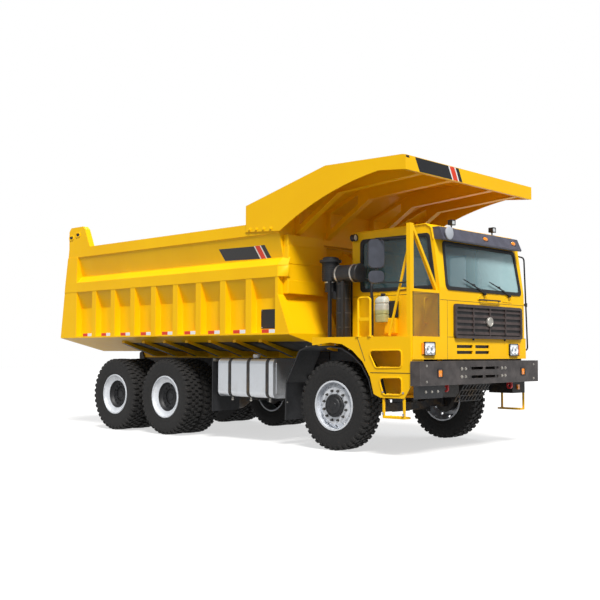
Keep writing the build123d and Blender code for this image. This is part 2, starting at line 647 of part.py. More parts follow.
FRONT_WALL = 40
EDGE_X = BED_HALF - 5
EDGE_LOW_Z = BED_LOW_Z - 16
EDGE_TOP_Z = BED_LOW_Z + 12
RUB_FOOT_X = BED_HALF - 10
RUB_BACK_Z = RUB_TOP_Z + 130
RAIL_BOX_X = BED_HALF - 20
RAIL_BOX_FOOT_X = BED_HALF - 35
RAIL_INNER_X = WALL_X - 20
FLOOR_TOP_Z = FLOOR_LOW_Z + FLOOR_PLATE
FLOOR_EDGE_TOP_Z = BED_LOW_Z + 50
FLOOR_SLOPE = (EDGE_LOW_Z - FLOOR_LOW_Z) / (EDGE_X - FLOOR_FLAT_X)
WELL_REAR_Y = 1690
WELL_TOP_Z = 3300
WELL_PLATE = 40
WELL_CHEEK = 30
HOIST_EYE_HALF = 70
HOIST_BED_EAR_PLATE = 32
HOIST_BED_EAR_GAP = 8
# columns: y and z of the hoist ear's corners, counted from the eye
HOIST_BED_EAR = ((180, 240), (-50, 80), (-70, 0), (-30, -90), (50, -110), (280, -110))
GATE_TOP_Z = BED_TOP_Z - 15
GATE_PIN_Y = BED_REAR_TOP_Y - 77
GATE_PIN_Z = BED_TOP_Z + 225
GATE_PIN_RADIUS = 30
# columns: distance ahead of the bed's top rear corner, height over the side rail
GATE_EAR = ((747, 0), (567, 375), (497, 435), (67, 435), (-8, 355), (0, 0))
HINGE_BOSS_RADIUS = 72
BEAM_WIDTH = 100
# columns: low and top edge of each rib across the front wall, its end near the middle
FRONT_RIBS = ((2620, 2680, WELL_HALF + WELL_CHEEK), (2920, 2980, WELL_HALF + WELL_CHEEK), (3330, 3410, 0))
FRONT_RIB_DEPTH = 70
FRONT_POST_X = (845, 1300)
FRONT_POST_HALF = 65
FRONT_POST_DEPTH = 100
REAR_POST_Y = 6890
FRONT_POST_REACH = 60
BEARER_Y = (1750, 2400, 3050, 3700, 4350, 5000, 5650)
BEARER_HALF = 40
BEARER_END_X = WALL_X - 165
BEARER_END = 45
BEARER_LOW_Z = BEAM_LOW_Z + 30


def bed_section():
    """Half outline of the bed's shell in X and Z, from the middle of the floor round the wall and back."""
    outer = [(0, FLOOR_LOW_Z), (FLOOR_FLAT_X, FLOOR_LOW_Z), (EDGE_X, EDGE_LOW_Z), (EDGE_X, EDGE_TOP_Z),
             (WALL_X, EDGE_TOP_Z), (WALL_X, OVERHANG_Z), (RUB_FOOT_X, RUB_LOW_Z), (BED_HALF, RUB_LOW_Z),
             (BED_HALF, RUB_TOP_Z), (WALL_X, RUB_BACK_Z), (RAIL_BOX_FOOT_X, RAIL_BOX_LOW_Z),
             (RAIL_BOX_X, RAIL_BOX_LOW_Z), (RAIL_BOX_X, BED_TOP_Z)]
    inner = [(RAIL_INNER_X, BED_TOP_Z), (WALL_INSIDE_X, OVERHANG_Z), (WALL_INSIDE_X, FLOOR_EDGE_TOP_Z),
             (FLOOR_FLAT_X - 10, FLOOR_TOP_Z), (0, FLOOR_TOP_Z)]
    return outer + inner


def behind_bed():
    """All that lies behind the bed's sloping rear end."""
    far_y, top_z = BED_REAR_LOW_Y + CUT_REACH, BED_TOP_Z + CUT_REACH
    outline = [(BED_REAR_LOW_Y, BED_LOW_Z), (BED_REAR_TOP_Y, BED_TOP_Z), (BED_REAR_TOP_Y, top_z), (far_y, top_z),
               (far_y, BED_LOW_Z)]
    return side_plate(outline, -BED_HALF - CUT_REACH, BED_HALF + CUT_REACH)


def before_bed():
    """All that lies before the bed's front wall, which runs forward at its foot."""
    near_y, top_z = BED_FOOT_Y - CUT_REACH, BED_TOP_Z + CUT_REACH
    outline = [(near_y, BED_LOW_Z), (BED_FOOT_Y, BED_LOW_Z), (BED_FRONT_Y, NOSE_TOP_Z), (BED_FRONT_Y, top_z),
               (near_y, top_z)]
    return side_plate(outline, -BED_HALF - CUT_REACH, BED_HALF + CUT_REACH)


def front_wall():
    """Cross wall with its foot sloping forward, trimmed to the floor's V."""
    sheet_slope = (SHEET_KNEE_Z - SHEET_REAR_Z) / (BED_FRONT_Y + FRONT_WALL - CANOPY_KNEE_Y)
    top_z = SHEET_REAR_Z + FRONT_WALL * sheet_slope
    foot_z, drop = (FLOOR_LOW_Z + FLOOR_TOP_Z) / 2, 8
    outline = [(BED_FRONT_Y, top_z), (BED_FRONT_Y, NOSE_TOP_Z), (BED_FOOT_Y, BED_LOW_Z), (BED_FOOT_Y, foot_z),
               (BED_FOOT_Y + FRONT_WALL, foot_z), (BED_FOOT_Y + FRONT_WALL, BED_LOW_Z - drop),
               (BED_FRONT_Y + FRONT_WALL, NOSE_TOP_Z - drop), (BED_FRONT_Y + FRONT_WALL, SHEET_REAR_Z)]
    wall = side_plate(outline, -WALL_X + FRONT_WALL / 2, WALL_X - FRONT_WALL / 2)
    below = front_plate([(FLOOR_FLAT_X, FLOOR_LOW_Z), (EDGE_X, EDGE_LOW_Z), (EDGE_X, FLOOR_LOW_Z - CUT_REACH),
                         (FLOOR_FLAT_X, FLOOR_LOW_Z - CUT_REACH)], BED_FOOT_Y - CUT_REACH, WELL_REAR_Y)
    return wall - both_sides(below)


def make_bed_shell():
    """Floor, side walls with rails, the front wall and the well that clears the hoist."""
    part = both_sides(front_plate(bed_section(), BED_FOOT_Y, BED_REAR_LOW_Y))
    part -= behind_bed()
    part -= before_bed()
    part += front_wall()
    wall_back_y = BED_FRONT_Y + FRONT_WALL
    well_cut = [(BED_FOOT_Y - CUT_REACH, FLOOR_LOW_Z - CUT_REACH), (WELL_REAR_Y, FLOOR_LOW_Z - CUT_REACH),
                (WELL_REAR_Y, FLOOR_TOP_Z), (wall_back_y, WELL_TOP_Z), (BED_FOOT_Y - CUT_REACH, WELL_TOP_Z)]
    part -= side_plate(well_cut, -WELL_HALF, WELL_HALF)
    back = [(WELL_REAR_Y, FLOOR_LOW_Z), (WELL_REAR_Y + WELL_PLATE, FLOOR_LOW_Z), (WELL_REAR_Y + WELL_PLATE, FLOOR_TOP_Z),
            (wall_back_y + WELL_PLATE, WELL_TOP_Z), (wall_back_y, WELL_TOP_Z + WELL_PLATE), (wall_back_y, WELL_TOP_Z),
            (WELL_REAR_Y, FLOOR_TOP_Z)]
    part += side_plate(back, -WELL_HALF - WELL_CHEEK, WELL_HALF + WELL_CHEEK)
    inside_wall_y = BED_FRONT_Y + FRONT_WALL / 2
    cheek = [(BED_FOOT_Y + FRONT_WALL / 2, BED_LOW_Z - 10), (BED_FOOT_Y + FRONT_WALL / 2, FLOOR_LOW_Z),
             (WELL_REAR_Y, FLOOR_LOW_Z), (WELL_REAR_Y, FLOOR_TOP_Z), (wall_back_y, WELL_TOP_Z),
             (inside_wall_y, WELL_TOP_Z), (inside_wall_y, NOSE_TOP_Z - 4)]
    part += both_sides(side_plate(cheek, WELL_HALF, WELL_HALF + WELL_CHEEK))
    ear = [(HOIST_EYE_Y + y, HOIST_EYE_Z + z) for y, z in HOIST_BED_EAR]
    near_x = HOIST_EYE_HALF + HOIST_BED_EAR_GAP
    part += both_sides(side_plate(ear, near_x, near_x + HOIST_BED_EAR_PLATE))
    block_in, block_out = RAIL_INNER_X + 5, RAIL_BOX_X
    ear = [(BED_REAR_TOP_Y - ahead, BED_TOP_Z + height) for ahead, height in GATE_EAR]
    gate_ear = side_plate(ear, block_in, block_out)
    gate_ear -= rod((block_in, GATE_PIN_Y, GATE_PIN_Z), (block_out, GATE_PIN_Y, GATE_PIN_Z),
                    GATE_PIN_RADIUS + RUNNING_GAP)
    part += both_sides(gate_ear)
    save("bed_shell", part)


def make_bed_ribs():
    """Outside ribs, corner posts, front stiffeners and the beams under the floor."""
    rib = [(WALL_X, EDGE_TOP_Z), (EDGE_X, EDGE_TOP_Z), (EDGE_X, RUB_LOW_Z), (RUB_FOOT_X, RUB_LOW_Z),
           (WALL_X, OVERHANG_Z)]
    upper_post = [(WALL_X, RUB_BACK_Z), (BED_HALF, RUB_TOP_Z), (RUB_FOOT_X, RAIL_BOX_LOW_Z),
                  (RAIL_BOX_FOOT_X, RAIL_BOX_LOW_Z)]
    post = front_plate(rib, REAR_POST_Y, BED_REAR_LOW_Y) + front_plate(upper_post, REAR_POST_Y, BED_REAR_LOW_Y)
    part = post - behind_bed()
    part += front_plate(rib, BED_FOOT_Y, BED_FRONT_Y + FRONT_POST_REACH) - before_bed()
    for i in range(RIB_COUNT):
        middle = LAST_RIB_Y - RIB_PITCH * i
        part += front_plate(rib, middle - RIB_WIDTH / 2, middle + RIB_WIDTH / 2)
    for z0, z1, near_x in FRONT_RIBS:
        part += block((near_x, WALL_INSIDE_X), (BED_FRONT_Y - FRONT_RIB_DEPTH, BED_FRONT_Y), (z0, z1))
    for x in FRONT_POST_X:
        part += block((x - FRONT_POST_HALF, x + FRONT_POST_HALF), (BED_FRONT_Y - FRONT_POST_DEPTH, BED_FRONT_Y),
                      (NOSE_TOP_Z + 10, FRONT_RIBS[-1][0]))
    x0, x1 = RAIL_OUTER_X - BEAM_WIDTH, RAIL_OUTER_X
    part += block((x0, x1), (BEAM_FRONT_Y, BED_PIVOT_Y), (BEAM_LOW_Z, FLOOR_LOW_Z))
    boss = rod((x0, BED_PIVOT_Y, BED_PIVOT_Z), (x1, BED_PIVOT_Y, BED_PIVOT_Z), HINGE_BOSS_RADIUS)
    part += boss - block((x0, x1), (BED_PIVOT_Y - BEAM_WIDTH, BED_PIVOT_Y + BEAM_WIDTH), (FLOOR_LOW_Z, FLOOR_TOP_Z))
    part -= rod((x0, BED_PIVOT_Y, BED_PIVOT_Z), (x1, BED_PIVOT_Y, BED_PIVOT_Z), PIVOT_PIN_RADIUS + RUNNING_GAP)
    end_z = FLOOR_LOW_Z + FLOOR_SLOPE * (BEARER_END_X - FLOOR_FLAT_X)
    bearer = [(RAIL_OUTER_X, FLOOR_LOW_Z), (FLOOR_FLAT_X, FLOOR_LOW_Z), (BEARER_END_X, end_z),
              (BEARER_END_X, end_z - BEARER_END), (FLOOR_FLAT_X, BEARER_LOW_Z), (RAIL_OUTER_X, BEARER_LOW_Z)]
    for y in BEARER_Y:
        part += front_plate(bearer, y - BEARER_HALF, y + BEARER_HALF)
    save("bed_ribs", both_sides(part))


# Canopy

CANOPY_BROW_Y = -1470
CANOPY_BROW_Z = 4370
CANOPY_REAR_TOP_Z = 3970
CANOPY_REAR_LOW_Z = 3530
CHEEK_FRONT_Y = -1040
CHEEK_FRONT_Z = 4190
CHEEK_MIDDLE_Z = 3945
CHEEK_REAR_Y = 1010
CHEEK_REAR_Z = 3480
LIP_DEPTH = 60
CANOPY_RIB_X = (590, 1360)
CANOPY_RIB_HALF = 35
RIB_FOOT_Z = 3440
RIB_KNEE_Y = 80
RIB_KNEE_Z = 4050
RIB_FRONT_Z = 4150
RIB_LAP = 5
# y and z of the corners of the opening in each rib's web
RIB_OPENING = ((940, 3604), (940, 3889), (330, 4128), (330, 3985))


def make_canopy():
    """Rock guard over the cab: two deep side plates, the sheet, four trussed ribs and the lip."""
    outer, inner = BED_HALF, BED_HALF - CANOPY_PLATE
    arc = ThreePointArc((CHEEK_FRONT_Y, CHEEK_FRONT_Z), (0, CHEEK_MIDDLE_Z), (CHEEK_REAR_Y, CHEEK_REAR_Z))
    line = Polyline((CHEEK_REAR_Y, CHEEK_REAR_Z), (CANOPY_REAR_Y, CANOPY_REAR_LOW_Z), (CANOPY_REAR_Y, CANOPY_REAR_TOP_Z),
                    (CANOPY_KNEE_Y, CANOPY_KNEE_Z), (CANOPY_BROW_Y, CANOPY_BROW_Z),
                    (CANOPY_FRONT_Y, CANOPY_LIP_TOP_Z), (CANOPY_FRONT_Y, CANOPY_LIP_LOW_Z),
                    (CHEEK_FRONT_Y, CHEEK_FRONT_Z))
    part = both_sides(side_plate(make_face([arc, line]), inner, outer))
    sheet_y = BED_FRONT_Y + FRONT_WALL
    lip_y = CANOPY_FRONT_Y + LIP_DEPTH
    sheet = [(sheet_y, SHEET_REAR_Z), (CANOPY_KNEE_Y, SHEET_KNEE_Z), (lip_y, SHEET_FRONT_Z),
             (lip_y, SHEET_FRONT_Z + SHEET_PLATE), (CANOPY_KNEE_Y, SHEET_KNEE_Z + SHEET_PLATE),
             (sheet_y, SHEET_REAR_Z + SHEET_PLATE)]
    part += side_plate(sheet, -inner, inner)
    part += block((-inner, inner), (CANOPY_FRONT_Y, lip_y), (CANOPY_LIP_LOW_Z, CANOPY_LIP_TOP_Z))
    rib = [(BED_FRONT_Y, RIB_FOOT_Z), (RIB_KNEE_Y, RIB_KNEE_Z), (lip_y, RIB_FRONT_Z), (lip_y, SHEET_FRONT_Z + RIB_LAP),
           (CANOPY_KNEE_Y, SHEET_KNEE_Z + RIB_LAP), (BED_FRONT_Y, SHEET_REAR_Z + SHEET_PLATE - RIB_LAP)]
    for x in CANOPY_RIB_X:
        truss = side_plate(rib, x - CANOPY_RIB_HALF, x + CANOPY_RIB_HALF)
        truss -= side_plate(RIB_OPENING, x - CANOPY_RIB_HALF, x + CANOPY_RIB_HALF)
        part += both_sides(truss)
    save("canopy", part)


# Tailgate

GATE_DEEP = 120
GATE_SHALLOW = 25
GATE_PLATE = 16
GATE_HALF = WALL_INSIDE_X - 12
GATE_LOW_Z = FLOOR_TOP_Z + 8
GATE_BEAM = 120
# low edges of the cross beams
GATE_BEAM_Z = (GATE_LOW_Z, 2180, 2850, GATE_TOP_Z - GATE_BEAM)
GATE_UPRIGHT_X = (-1500, -900, -300, 300, 900, 1500)
GATE_UPRIGHT_HALF = 60
GATE_ARM = 55
GATE_ARM_RADIUS = 70
GATE_ARM_LAP = 140


def gate_slab(z0, z1, deep, shallow, x0, x1):
    """Piece between two heights that follows the slope of the bed's rear end, set in from it along Y."""
    lean = (BED_REAR_LOW_Y - BED_REAR_TOP_Y) / (BED_TOP_Z - BED_LOW_Z)
    y0, y1 = (BED_REAR_LOW_Y - (z - BED_LOW_Z) * lean for z in (z0, z1))
    return side_plate([(y0 - deep, z0), (y0 - shallow, z0), (y1 - shallow, z1), (y1 - deep, z1)], x0, x1)


def make_tailgate():
    """Top-hung tailgate in the bed's sloping rear end, its arms on the ears over the side rails."""
    part = gate_slab(GATE_LOW_Z, GATE_TOP_Z, GATE_DEEP, GATE_DEEP - GATE_PLATE, -GATE_HALF, GATE_HALF)
    for z in GATE_BEAM_Z:
        part += gate_slab(z, z + GATE_BEAM, GATE_DEEP - GATE_PLATE, GATE_SHALLOW, -GATE_HALF, GATE_HALF)
    for x in GATE_UPRIGHT_X:
        part += gate_slab(GATE_LOW_Z, GATE_TOP_Z, GATE_DEEP - GATE_PLATE, GATE_SHALLOW,
                          x - GATE_UPRIGHT_HALF, x + GATE_UPRIGHT_HALF)
    gap = GATE_LOW_Z - FLOOR_TOP_Z
    floor = [(FLOOR_FLAT_X - 10, GATE_LOW_Z), (WALL_INSIDE_X, FLOOR_EDGE_TOP_Z + gap), (BED_HALF, FLOOR_EDGE_TOP_Z + gap),
             (BED_HALF, FLOOR_LOW_Z), (FLOOR_FLAT_X - 10, FLOOR_LOW_Z)]
    part -= both_sides(front_plate(floor, BED_REAR_TOP_Y - GATE_DEEP, BED_REAR_LOW_Y + BED_REAR_LOW_Y - BED_REAR_TOP_Y))
    near_x = GATE_HALF - GATE_ARM
    foot = gate_slab(GATE_TOP_Z - GATE_ARM_LAP, GATE_TOP_Z, GATE_DEEP, GATE_SHALLOW, near_x, GATE_HALF)
    arm = block((near_x, GATE_HALF), (GATE_PIN_Y - GATE_ARM_RADIUS, GATE_PIN_Y + GATE_ARM_RADIUS),
                (GATE_TOP_Z - GATE_ARM_LAP, GATE_PIN_Z))
    arm += rod((near_x, GATE_PIN_Y, GATE_PIN_Z), (GATE_HALF, GATE_PIN_Y, GATE_PIN_Z), GATE_ARM_RADIUS)
    pin = rod((near_x, GATE_PIN_Y, GATE_PIN_Z), (RAIL_BOX_X - 5, GATE_PIN_Y, GATE_PIN_Z), GATE_PIN_RADIUS)
    save("tailgate", part + both_sides(foot + arm + pin))


# Hoist

HOIST_FOOT_RADIUS = 75
HOIST_EYE_RADIUS = 62
HOIST_NECK_RADIUS = 45
HOIST_BARREL_START = 60
HOIST_BORE_START = 130
HOIST_BARREL_SHORT = 260
HOIST_NEST_STEP = 20
HOIST_HEAD_STEP = 35
HOIST_NECK_SHORT = 50


def hoist_frame(part):
    """Turns a piece made along +Z at the origin into the hoist's line at rest."""
    lean = math.degrees(math.atan2(HOIST_EYE_Y - HOIST_FOOT_Y, HOIST_EYE_Z - HOIST_FOOT_Z))
    return Pos(0, HOIST_FOOT_Y, HOIST_FOOT_Z) * (Rot(-lean, 0, 0) * part)


def make_hoist():
    """Barrel on the frame's pin and three stages, the last one with the eye at the bed's ears."""
    closed = math.hypot(HOIST_EYE_Y - HOIST_FOOT_Y, HOIST_EYE_Z - HOIST_FOOT_Z)
    foot_half = HOIST_EAR_X - SIDE_GAP
    head = closed - HOIST_BARREL_SHORT
    barrel = rod((0, 0, HOIST_BARREL_START), (0, 0, head), HOIST_RADII[0])
    barrel += rod((-foot_half, 0, 0), (foot_half, 0, 0), HOIST_FOOT_RADIUS)
    barrel -= rod((-foot_half, 0, 0), (foot_half, 0, 0), HOIST_PIN_RADIUS + RUNNING_GAP)
    barrel -= rod((0, 0, HOIST_BORE_START), (0, 0, closed), HOIST_RADII[1] + RUNNING_GAP)
    save("hoist_barrel", hoist_frame(barrel))
    last = len(HOIST_RADII) - 1
    for i in range(1, last + 1):
        start, end = HOIST_BORE_START + HOIST_NEST_STEP * i, head + HOIST_HEAD_STEP * i
        stage = rod((0, 0, start), (0, 0, end), HOIST_RADII[i])
        if i < last:
            bore = start + HOIST_NEST_STEP - RUNNING_GAP
            stage -= rod((0, 0, bore), (0, 0, end), HOIST_RADII[i + 1] + RUNNING_GAP)
        else:
            stage += rod((0, 0, end), (0, 0, closed - HOIST_NECK_SHORT), HOIST_NECK_RADIUS)
            stage += rod((-HOIST_EYE_HALF, 0, closed), (HOIST_EYE_HALF, 0, closed), HOIST_EYE_RADIUS)
        save(f"hoist_stage{i}", hoist_frame(stage))


# Cab

DOOR_FRONT_Y = CAB_FRONT_Y + 160
DOOR_REAR_Y = -560
DOOR_LOW_Z = CAB_LOW_Z + 55
DOOR_TOP_Z = CAB_TOP_Z - 190
DOOR_GAP = 5
DOOR_FRAME = 70
DOOR_HEADER = 80
HINGE_PIN_RADIUS = 8
HINGE_EYE_RADIUS = 14
KNUCKLE_WALL = 8
HINGE_OUT = 18
HINGE_X = CAB_LEFT_X + HINGE_OUT
HINGE_Y = DOOR_FRONT_Y - 2
HINGE_Z = (DOOR_LOW_Z + 250, DOOR_TOP_Z - 250)
HINGE_HALF = 40
HINGE_LEAF = 20
HINGE_STRAP = 46
HANDLE_OUT = 26
HANDLE_LENGTH = 110
HANDLE_HALF = 20
SILL_Z = SCREEN_LOW_Z + 10
HANDLE_Z = SILL_Z - 90
WINDOW_TOP_Z = CAB_TOP_Z - 170
WINDOW_FRONT_Y = CAB_FRONT_Y + 90
WINDOW_REAR_Y = CAB_REAR_Y - 190
QUARTER_DROP = 60
GLASS = 8
GLASS_INSET = 10
REAR_WINDOW_MARGIN = 300
REAR_WINDOW_TOP_Z = CAB_TOP_Z - 260
# corners of the windscreen: x at its foot and x at its top, right side first
SCREEN_FOOT = (-820, 1340)
SCREEN_HEAD = (-770, 1290)
SKIRT_RIGHT_X = -808
SKIRT_LEFT_X = 1530
SKIRT_PLATE = 20
SKIRT_RETURN = 420
SKIRT_SLOT_X = ((-560, -120), (-50, 360))
SKIRT_SLOT_Z = (1515, 1605)
SLOT_HALF = 24
POST_X = -1695
POST_Y = -1500
POST_WIDTH = 80
POST_DEPTH = 70
POST_TOP_Z = 3380
SMOKED_TOP_Z = 2390
CAB_PROFILE = ((CAB_FRONT_Y, CAB_LOW_Z), (CAB_FRONT_Y, SCREEN_LOW_Z), (CAB_FRONT_Y + SCREEN_LEAN, SCREEN_TOP_Z),
               (CAB_FRONT_Y + SCREEN_LEAN + 40, CAB_TOP_Z - 70), (CAB_FRONT_Y + 240, CAB_TOP_Z),
               (CAB_REAR_Y - 80, CAB_TOP_Z - 20), (CAB_REAR_Y, CAB_TOP_Z - 70), (CAB_REAR_Y, CAB_LOW_Z))


def cab_outline():
    """The cab's outside as one solid, to trim what is fixed on it."""
    return side_plate(CAB_PROFILE, CAB_RIGHT_X, CAB_LEFT_X)


def cab_inside():
    """The space within the cab's walls."""
    profile = make_face(Polyline(*CAB_PROFILE, close=True))
    return side_plate(offset(profile, -CAB_WALL, kind=Kind.INTERSECTION), CAB_RIGHT_X + CAB_WALL, CAB_LEFT_X - CAB_WALL)


def screen_cutter(margin):
    """Prism through the windscreen's opening, its edge moved outwards by a margin."""
    low_z, top_z = SCREEN_LOW_Z - margin, SCREEN_TOP_Z + margin
    outline = [(SCREEN_FOOT[0] - margin, low_z), (SCREEN_FOOT[1] + margin, low_z),
               (SCREEN_HEAD[1] + margin, top_z), (SCREEN_HEAD[0] - margin, top_z)]
    return front_plate(outline, CAB_FRONT_Y - CUT_REACH, CAB_FRONT_Y + SCREEN_LEAN + CAB_WALL + CUT_REACH)


def side_window(margin):
    """Right side window's outline in Y and Z, its front edge sloping with the screen pillar."""
    low_z, top_z = SILL_Z - margin, WINDOW_TOP_Z + margin
    return [(WINDOW_FRONT_Y - margin, low_z), (WINDOW_REAR_Y + margin, low_z), (WINDOW_REAR_Y + margin, top_z),
            (WINDOW_FRONT_Y + SCREEN_LEAN + 10 - margin, top_z)]


def door_window(margin):
    """Door window's outline in Y and Z."""
    low_z, top_z = SILL_Z - margin, DOOR_TOP_Z - DOOR_HEADER + margin
    front_y, rear_y = DOOR_FRONT_Y + DOOR_FRAME - margin, DOOR_REAR_Y - DOOR_FRAME + margin
    return [(front_y, low_z), (rear_y, low_z), (rear_y, top_z), (front_y + HINGE_HALF, top_z)]


def rear_quarter(margin):
    """Outline of the fixed window behind the left door."""
    low_z, top_z = SILL_Z - margin, WINDOW_TOP_Z - QUARTER_DROP + margin
    front_y, rear_y = DOOR_REAR_Y + DOOR_FRAME + HINGE_LEAF - margin, WINDOW_REAR_Y + margin
    return [(front_y, low_z), (rear_y, low_z), (rear_y, top_z), (front_y, top_z)]


def rear_window(margin, y0, y1):
    """Block through the window in the cab's rear wall."""
    x = (CAB_RIGHT_X + REAR_WINDOW_MARGIN - margin, CAB_LEFT_X - REAR_WINDOW_MARGIN + margin)
    return block(x, (y0, y1), (SILL_Z + QUARTER_DROP - margin, REAR_WINDOW_TOP_Z + margin))


def skirt_solid():
    """Bent sheet below the cab's front, turning back round the left corner."""
    corner, end_y = SKIRT_PLATE + 10, CAB_FRONT_Y + SKIRT_RETURN
    outline = [(SKIRT_RIGHT_X, CAB_FRONT_Y), (SKIRT_LEFT_X - corner, CAB_FRONT_Y), (SKIRT_LEFT_X, CAB_FRONT_Y + corner),
               (SKIRT_LEFT_X, end_y), (SKIRT_LEFT_X - SKIRT_PLATE, end_y),
               (SKIRT_LEFT_X - SKIRT_PLATE, CAB_FRONT_Y + corner + 8),
               (SKIRT_LEFT_X - corner - 8, CAB_FRONT_Y + SKIRT_PLATE), (SKIRT_RIGHT_X, CAB_FRONT_Y + SKIRT_PLATE)]
    return flat_plate(outline, SKIRT_LOW_Z, CAB_LOW_Z)


def make_cab_shell():
    """Hollow cab with its windows and door opening cut, and the skirt down to the bumper."""
    shell = cab_outline() - cab_inside() - screen_cutter(0)
    shell -= side_plate(side_window(0), CAB_RIGHT_X, CAB_RIGHT_X + CAB_WALL)
    shell -= side_plate(rear_quarter(0), CAB_LEFT_X, CAB_LEFT_X - CAB_WALL)
    shell -= block((CAB_LEFT_X - CAB_WALL, CAB_LEFT_X), (DOOR_FRONT_Y - DOOR_GAP, DOOR_REAR_Y + DOOR_GAP + SIDE_GAP),
                   (DOOR_LOW_Z - DOOR_GAP, DOOR_TOP_Z + DOOR_GAP))
    shell -= rear_window(0, CAB_REAR_Y - CAB_WALL, CAB_REAR_Y)
    skirt = skirt_solid()
    for x in SKIRT_SLOT_X:
        for z in SKIRT_SLOT_Z:
            skirt -= block(x, (CAB_FRONT_Y, CAB_FRONT_Y + SKIRT_PLATE), (z - SLOT_HALF, z + SLOT_HALF))
    ledge_y = (CAB_FRONT_Y + SKIRT_PLATE, CAB_FRONT_Y + SKIRT_RETURN)
    shell += skirt + block((CAB_LEFT_X - 10, SKIRT_LEFT_X), ledge_y, (CAB_LOW_Z - SKIRT_PLATE, CAB_LOW_Z))
    for z in HINGE_Z:
        far = HINGE_HALF + HINGE_LEAF
        near = HINGE_HALF + RUNNING_GAP
        for z0, z1 in ((z - far, z - near), (z + near, z + far)):
            shell += block((CAB_LEFT_X, HINGE_X), (HINGE_Y - HINGE_EYE_RADIUS - HINGE_LEAF, HINGE_Y - DOOR_GAP), (z0, z1))
            shell += rod((HINGE_X, HINGE_Y, z0), (HINGE_X, HINGE_Y, z1), HINGE_EYE_RADIUS)
        shell += rod((HINGE_X, HINGE_Y, z - far), (HINGE_X, HINGE_Y, z + far), HINGE_PIN_RADIUS)
    save("cab_shell", shell)


def make_cab_glass():
    """Windscreen, fixed side and rear windows, and the smoked panel beside the cab's front."""
    lean = SCREEN_LEAN / (SCREEN_TOP_Z - SCREEN_LOW_Z)
    low_z, top_z = SCREEN_LOW_Z - CAB_WALL, SCREEN_TOP_Z + CAB_WALL
    low_y = CAB_FRONT_Y + GLASS_INSET - CAB_WALL * lean
    top_y = low_y + (top_z - low_z) * lean
    sheet = side_plate([(low_y, low_z), (low_y + GLASS, low_z), (top_y + GLASS, top_z), (top_y, top_z)],
                       CAB_RIGHT_X, CAB_LEFT_X)
    screen = sheet & screen_cutter(-SEAT_GAP)
    right_x, left_x = CAB_RIGHT_X + GLASS_INSET, CAB_LEFT_X - GLASS_INSET
    right = side_plate(side_window(-SEAT_GAP), right_x, right_x + GLASS)
    quarter = side_plate(rear_quarter(-SEAT_GAP), left_x, left_x - GLASS)
    rear_y = CAB_REAR_Y - 2 * GLASS_INSET
    rear = rear_window(-SEAT_GAP, rear_y - GLASS, rear_y)
    smoked_y = CAB_FRONT_Y + GLASS_INSET
    smoked = block((POST_X + POST_WIDTH / 2, CAB_RIGHT_X - SEAT_GAP), (smoked_y, smoked_y + GLASS),
                   (DECK_TOP_Z, SMOKED_TOP_Z))
    save("cab_glass", Compound(children=[screen, right, quarter, rear, smoked]))


MIRROR_Z = 2975
MIRROR_SIZE = (60, 240, 490)
WIDE_MIRROR_Z = 2610
WIDE_MIRROR_SIZE = (50, 210, 150)
MIRROR_STEM = 12
LEFT_MIRROR_X = CAB_LEFT_X + 150
LEFT_MIRROR_Y = -1150
LEFT_MIRROR_ARM = 100
LEFT_MIRROR_ARM_DROP = 30
RIGHT_MIRROR_X = POST_X + 7
RIGHT_MIRROR_Y = -935
ROUND_MIRROR_X = -850
ROUND_MIRROR_RADIUS = 95
ROUND_MIRROR_OUT = 80
ROUND_MIRROR_DEPTH = 35


def mirror_stem():
    """Low and top end of the stem that carries both heads."""
    return WIDE_MIRROR_Z - WIDE_MIRROR_SIZE[2] / 2, MIRROR_Z + MIRROR_SIZE[2] / 2


def mirror_head(x, y, turn):
    """Tall mirror with a wide one under it, both on one stem."""
    low_z, top_z = mirror_stem()
    head = Pos(x, y, MIRROR_Z) * (Rot(0, 0, turn) * Box(*MIRROR_SIZE))
    wide = Pos(x, y, WIDE_MIRROR_Z) * (Rot(0, 0, turn) * Box(*WIDE_MIRROR_SIZE))
    return head + wide + rod((x, y, low_z), (x, y, top_z), MIRROR_STEM)


def make_door():
    """Left door with its hinge knuckles, handle, window and mirror."""
    door = block((CAB_LEFT_X - CAB_WALL, CAB_LEFT_X), (DOOR_FRONT_Y, DOOR_REAR_Y), (DOOR_LOW_Z, DOOR_TOP_Z))
    door -= side_plate(door_window(0), CAB_LEFT_X - CAB_WALL, CAB_LEFT_X)
    handle_y = DOOR_REAR_Y - HANDLE_HALF * 2
    door += block((CAB_LEFT_X, CAB_LEFT_X + HANDLE_OUT), (handle_y - HANDLE_LENGTH, handle_y),
                  (HANDLE_Z - HANDLE_HALF, HANDLE_Z + HANDLE_HALF))
    for z in HINGE_Z:
        low, top = (HINGE_X, HINGE_Y, z - HINGE_HALF), (HINGE_X, HINGE_Y, z + HINGE_HALF)
        door += block((CAB_LEFT_X, HINGE_X), (DOOR_FRONT_Y, HINGE_Y + HINGE_STRAP), (low[2], top[2]))
        door += rod(low, top, HINGE_PIN_RADIUS + KNUCKLE_WALL)
        door -= rod(low, top, HINGE_PIN_RADIUS + DOOR_PIN_GAP)
    save("door_left", door)
    glass_x = CAB_LEFT_X - 2 * GLASS_INSET
    save("door_glass", side_plate(door_window(-SEAT_GAP), glass_x - GLASS, glass_x))
    head = mirror_head(LEFT_MIRROR_X, LEFT_MIRROR_Y, -45)
    low_z, top_z = mirror_stem()
    for z in (low_z + 15, top_z - 10):
        head += bar((LEFT_MIRROR_X, LEFT_MIRROR_Y, z),
                    (CAB_LEFT_X - 5, LEFT_MIRROR_Y - LEFT_MIRROR_ARM, z - LEFT_MIRROR_ARM_DROP), 20)
    save("mirror_left", head - cab_outline())


SEAT_X = (-480, 900)
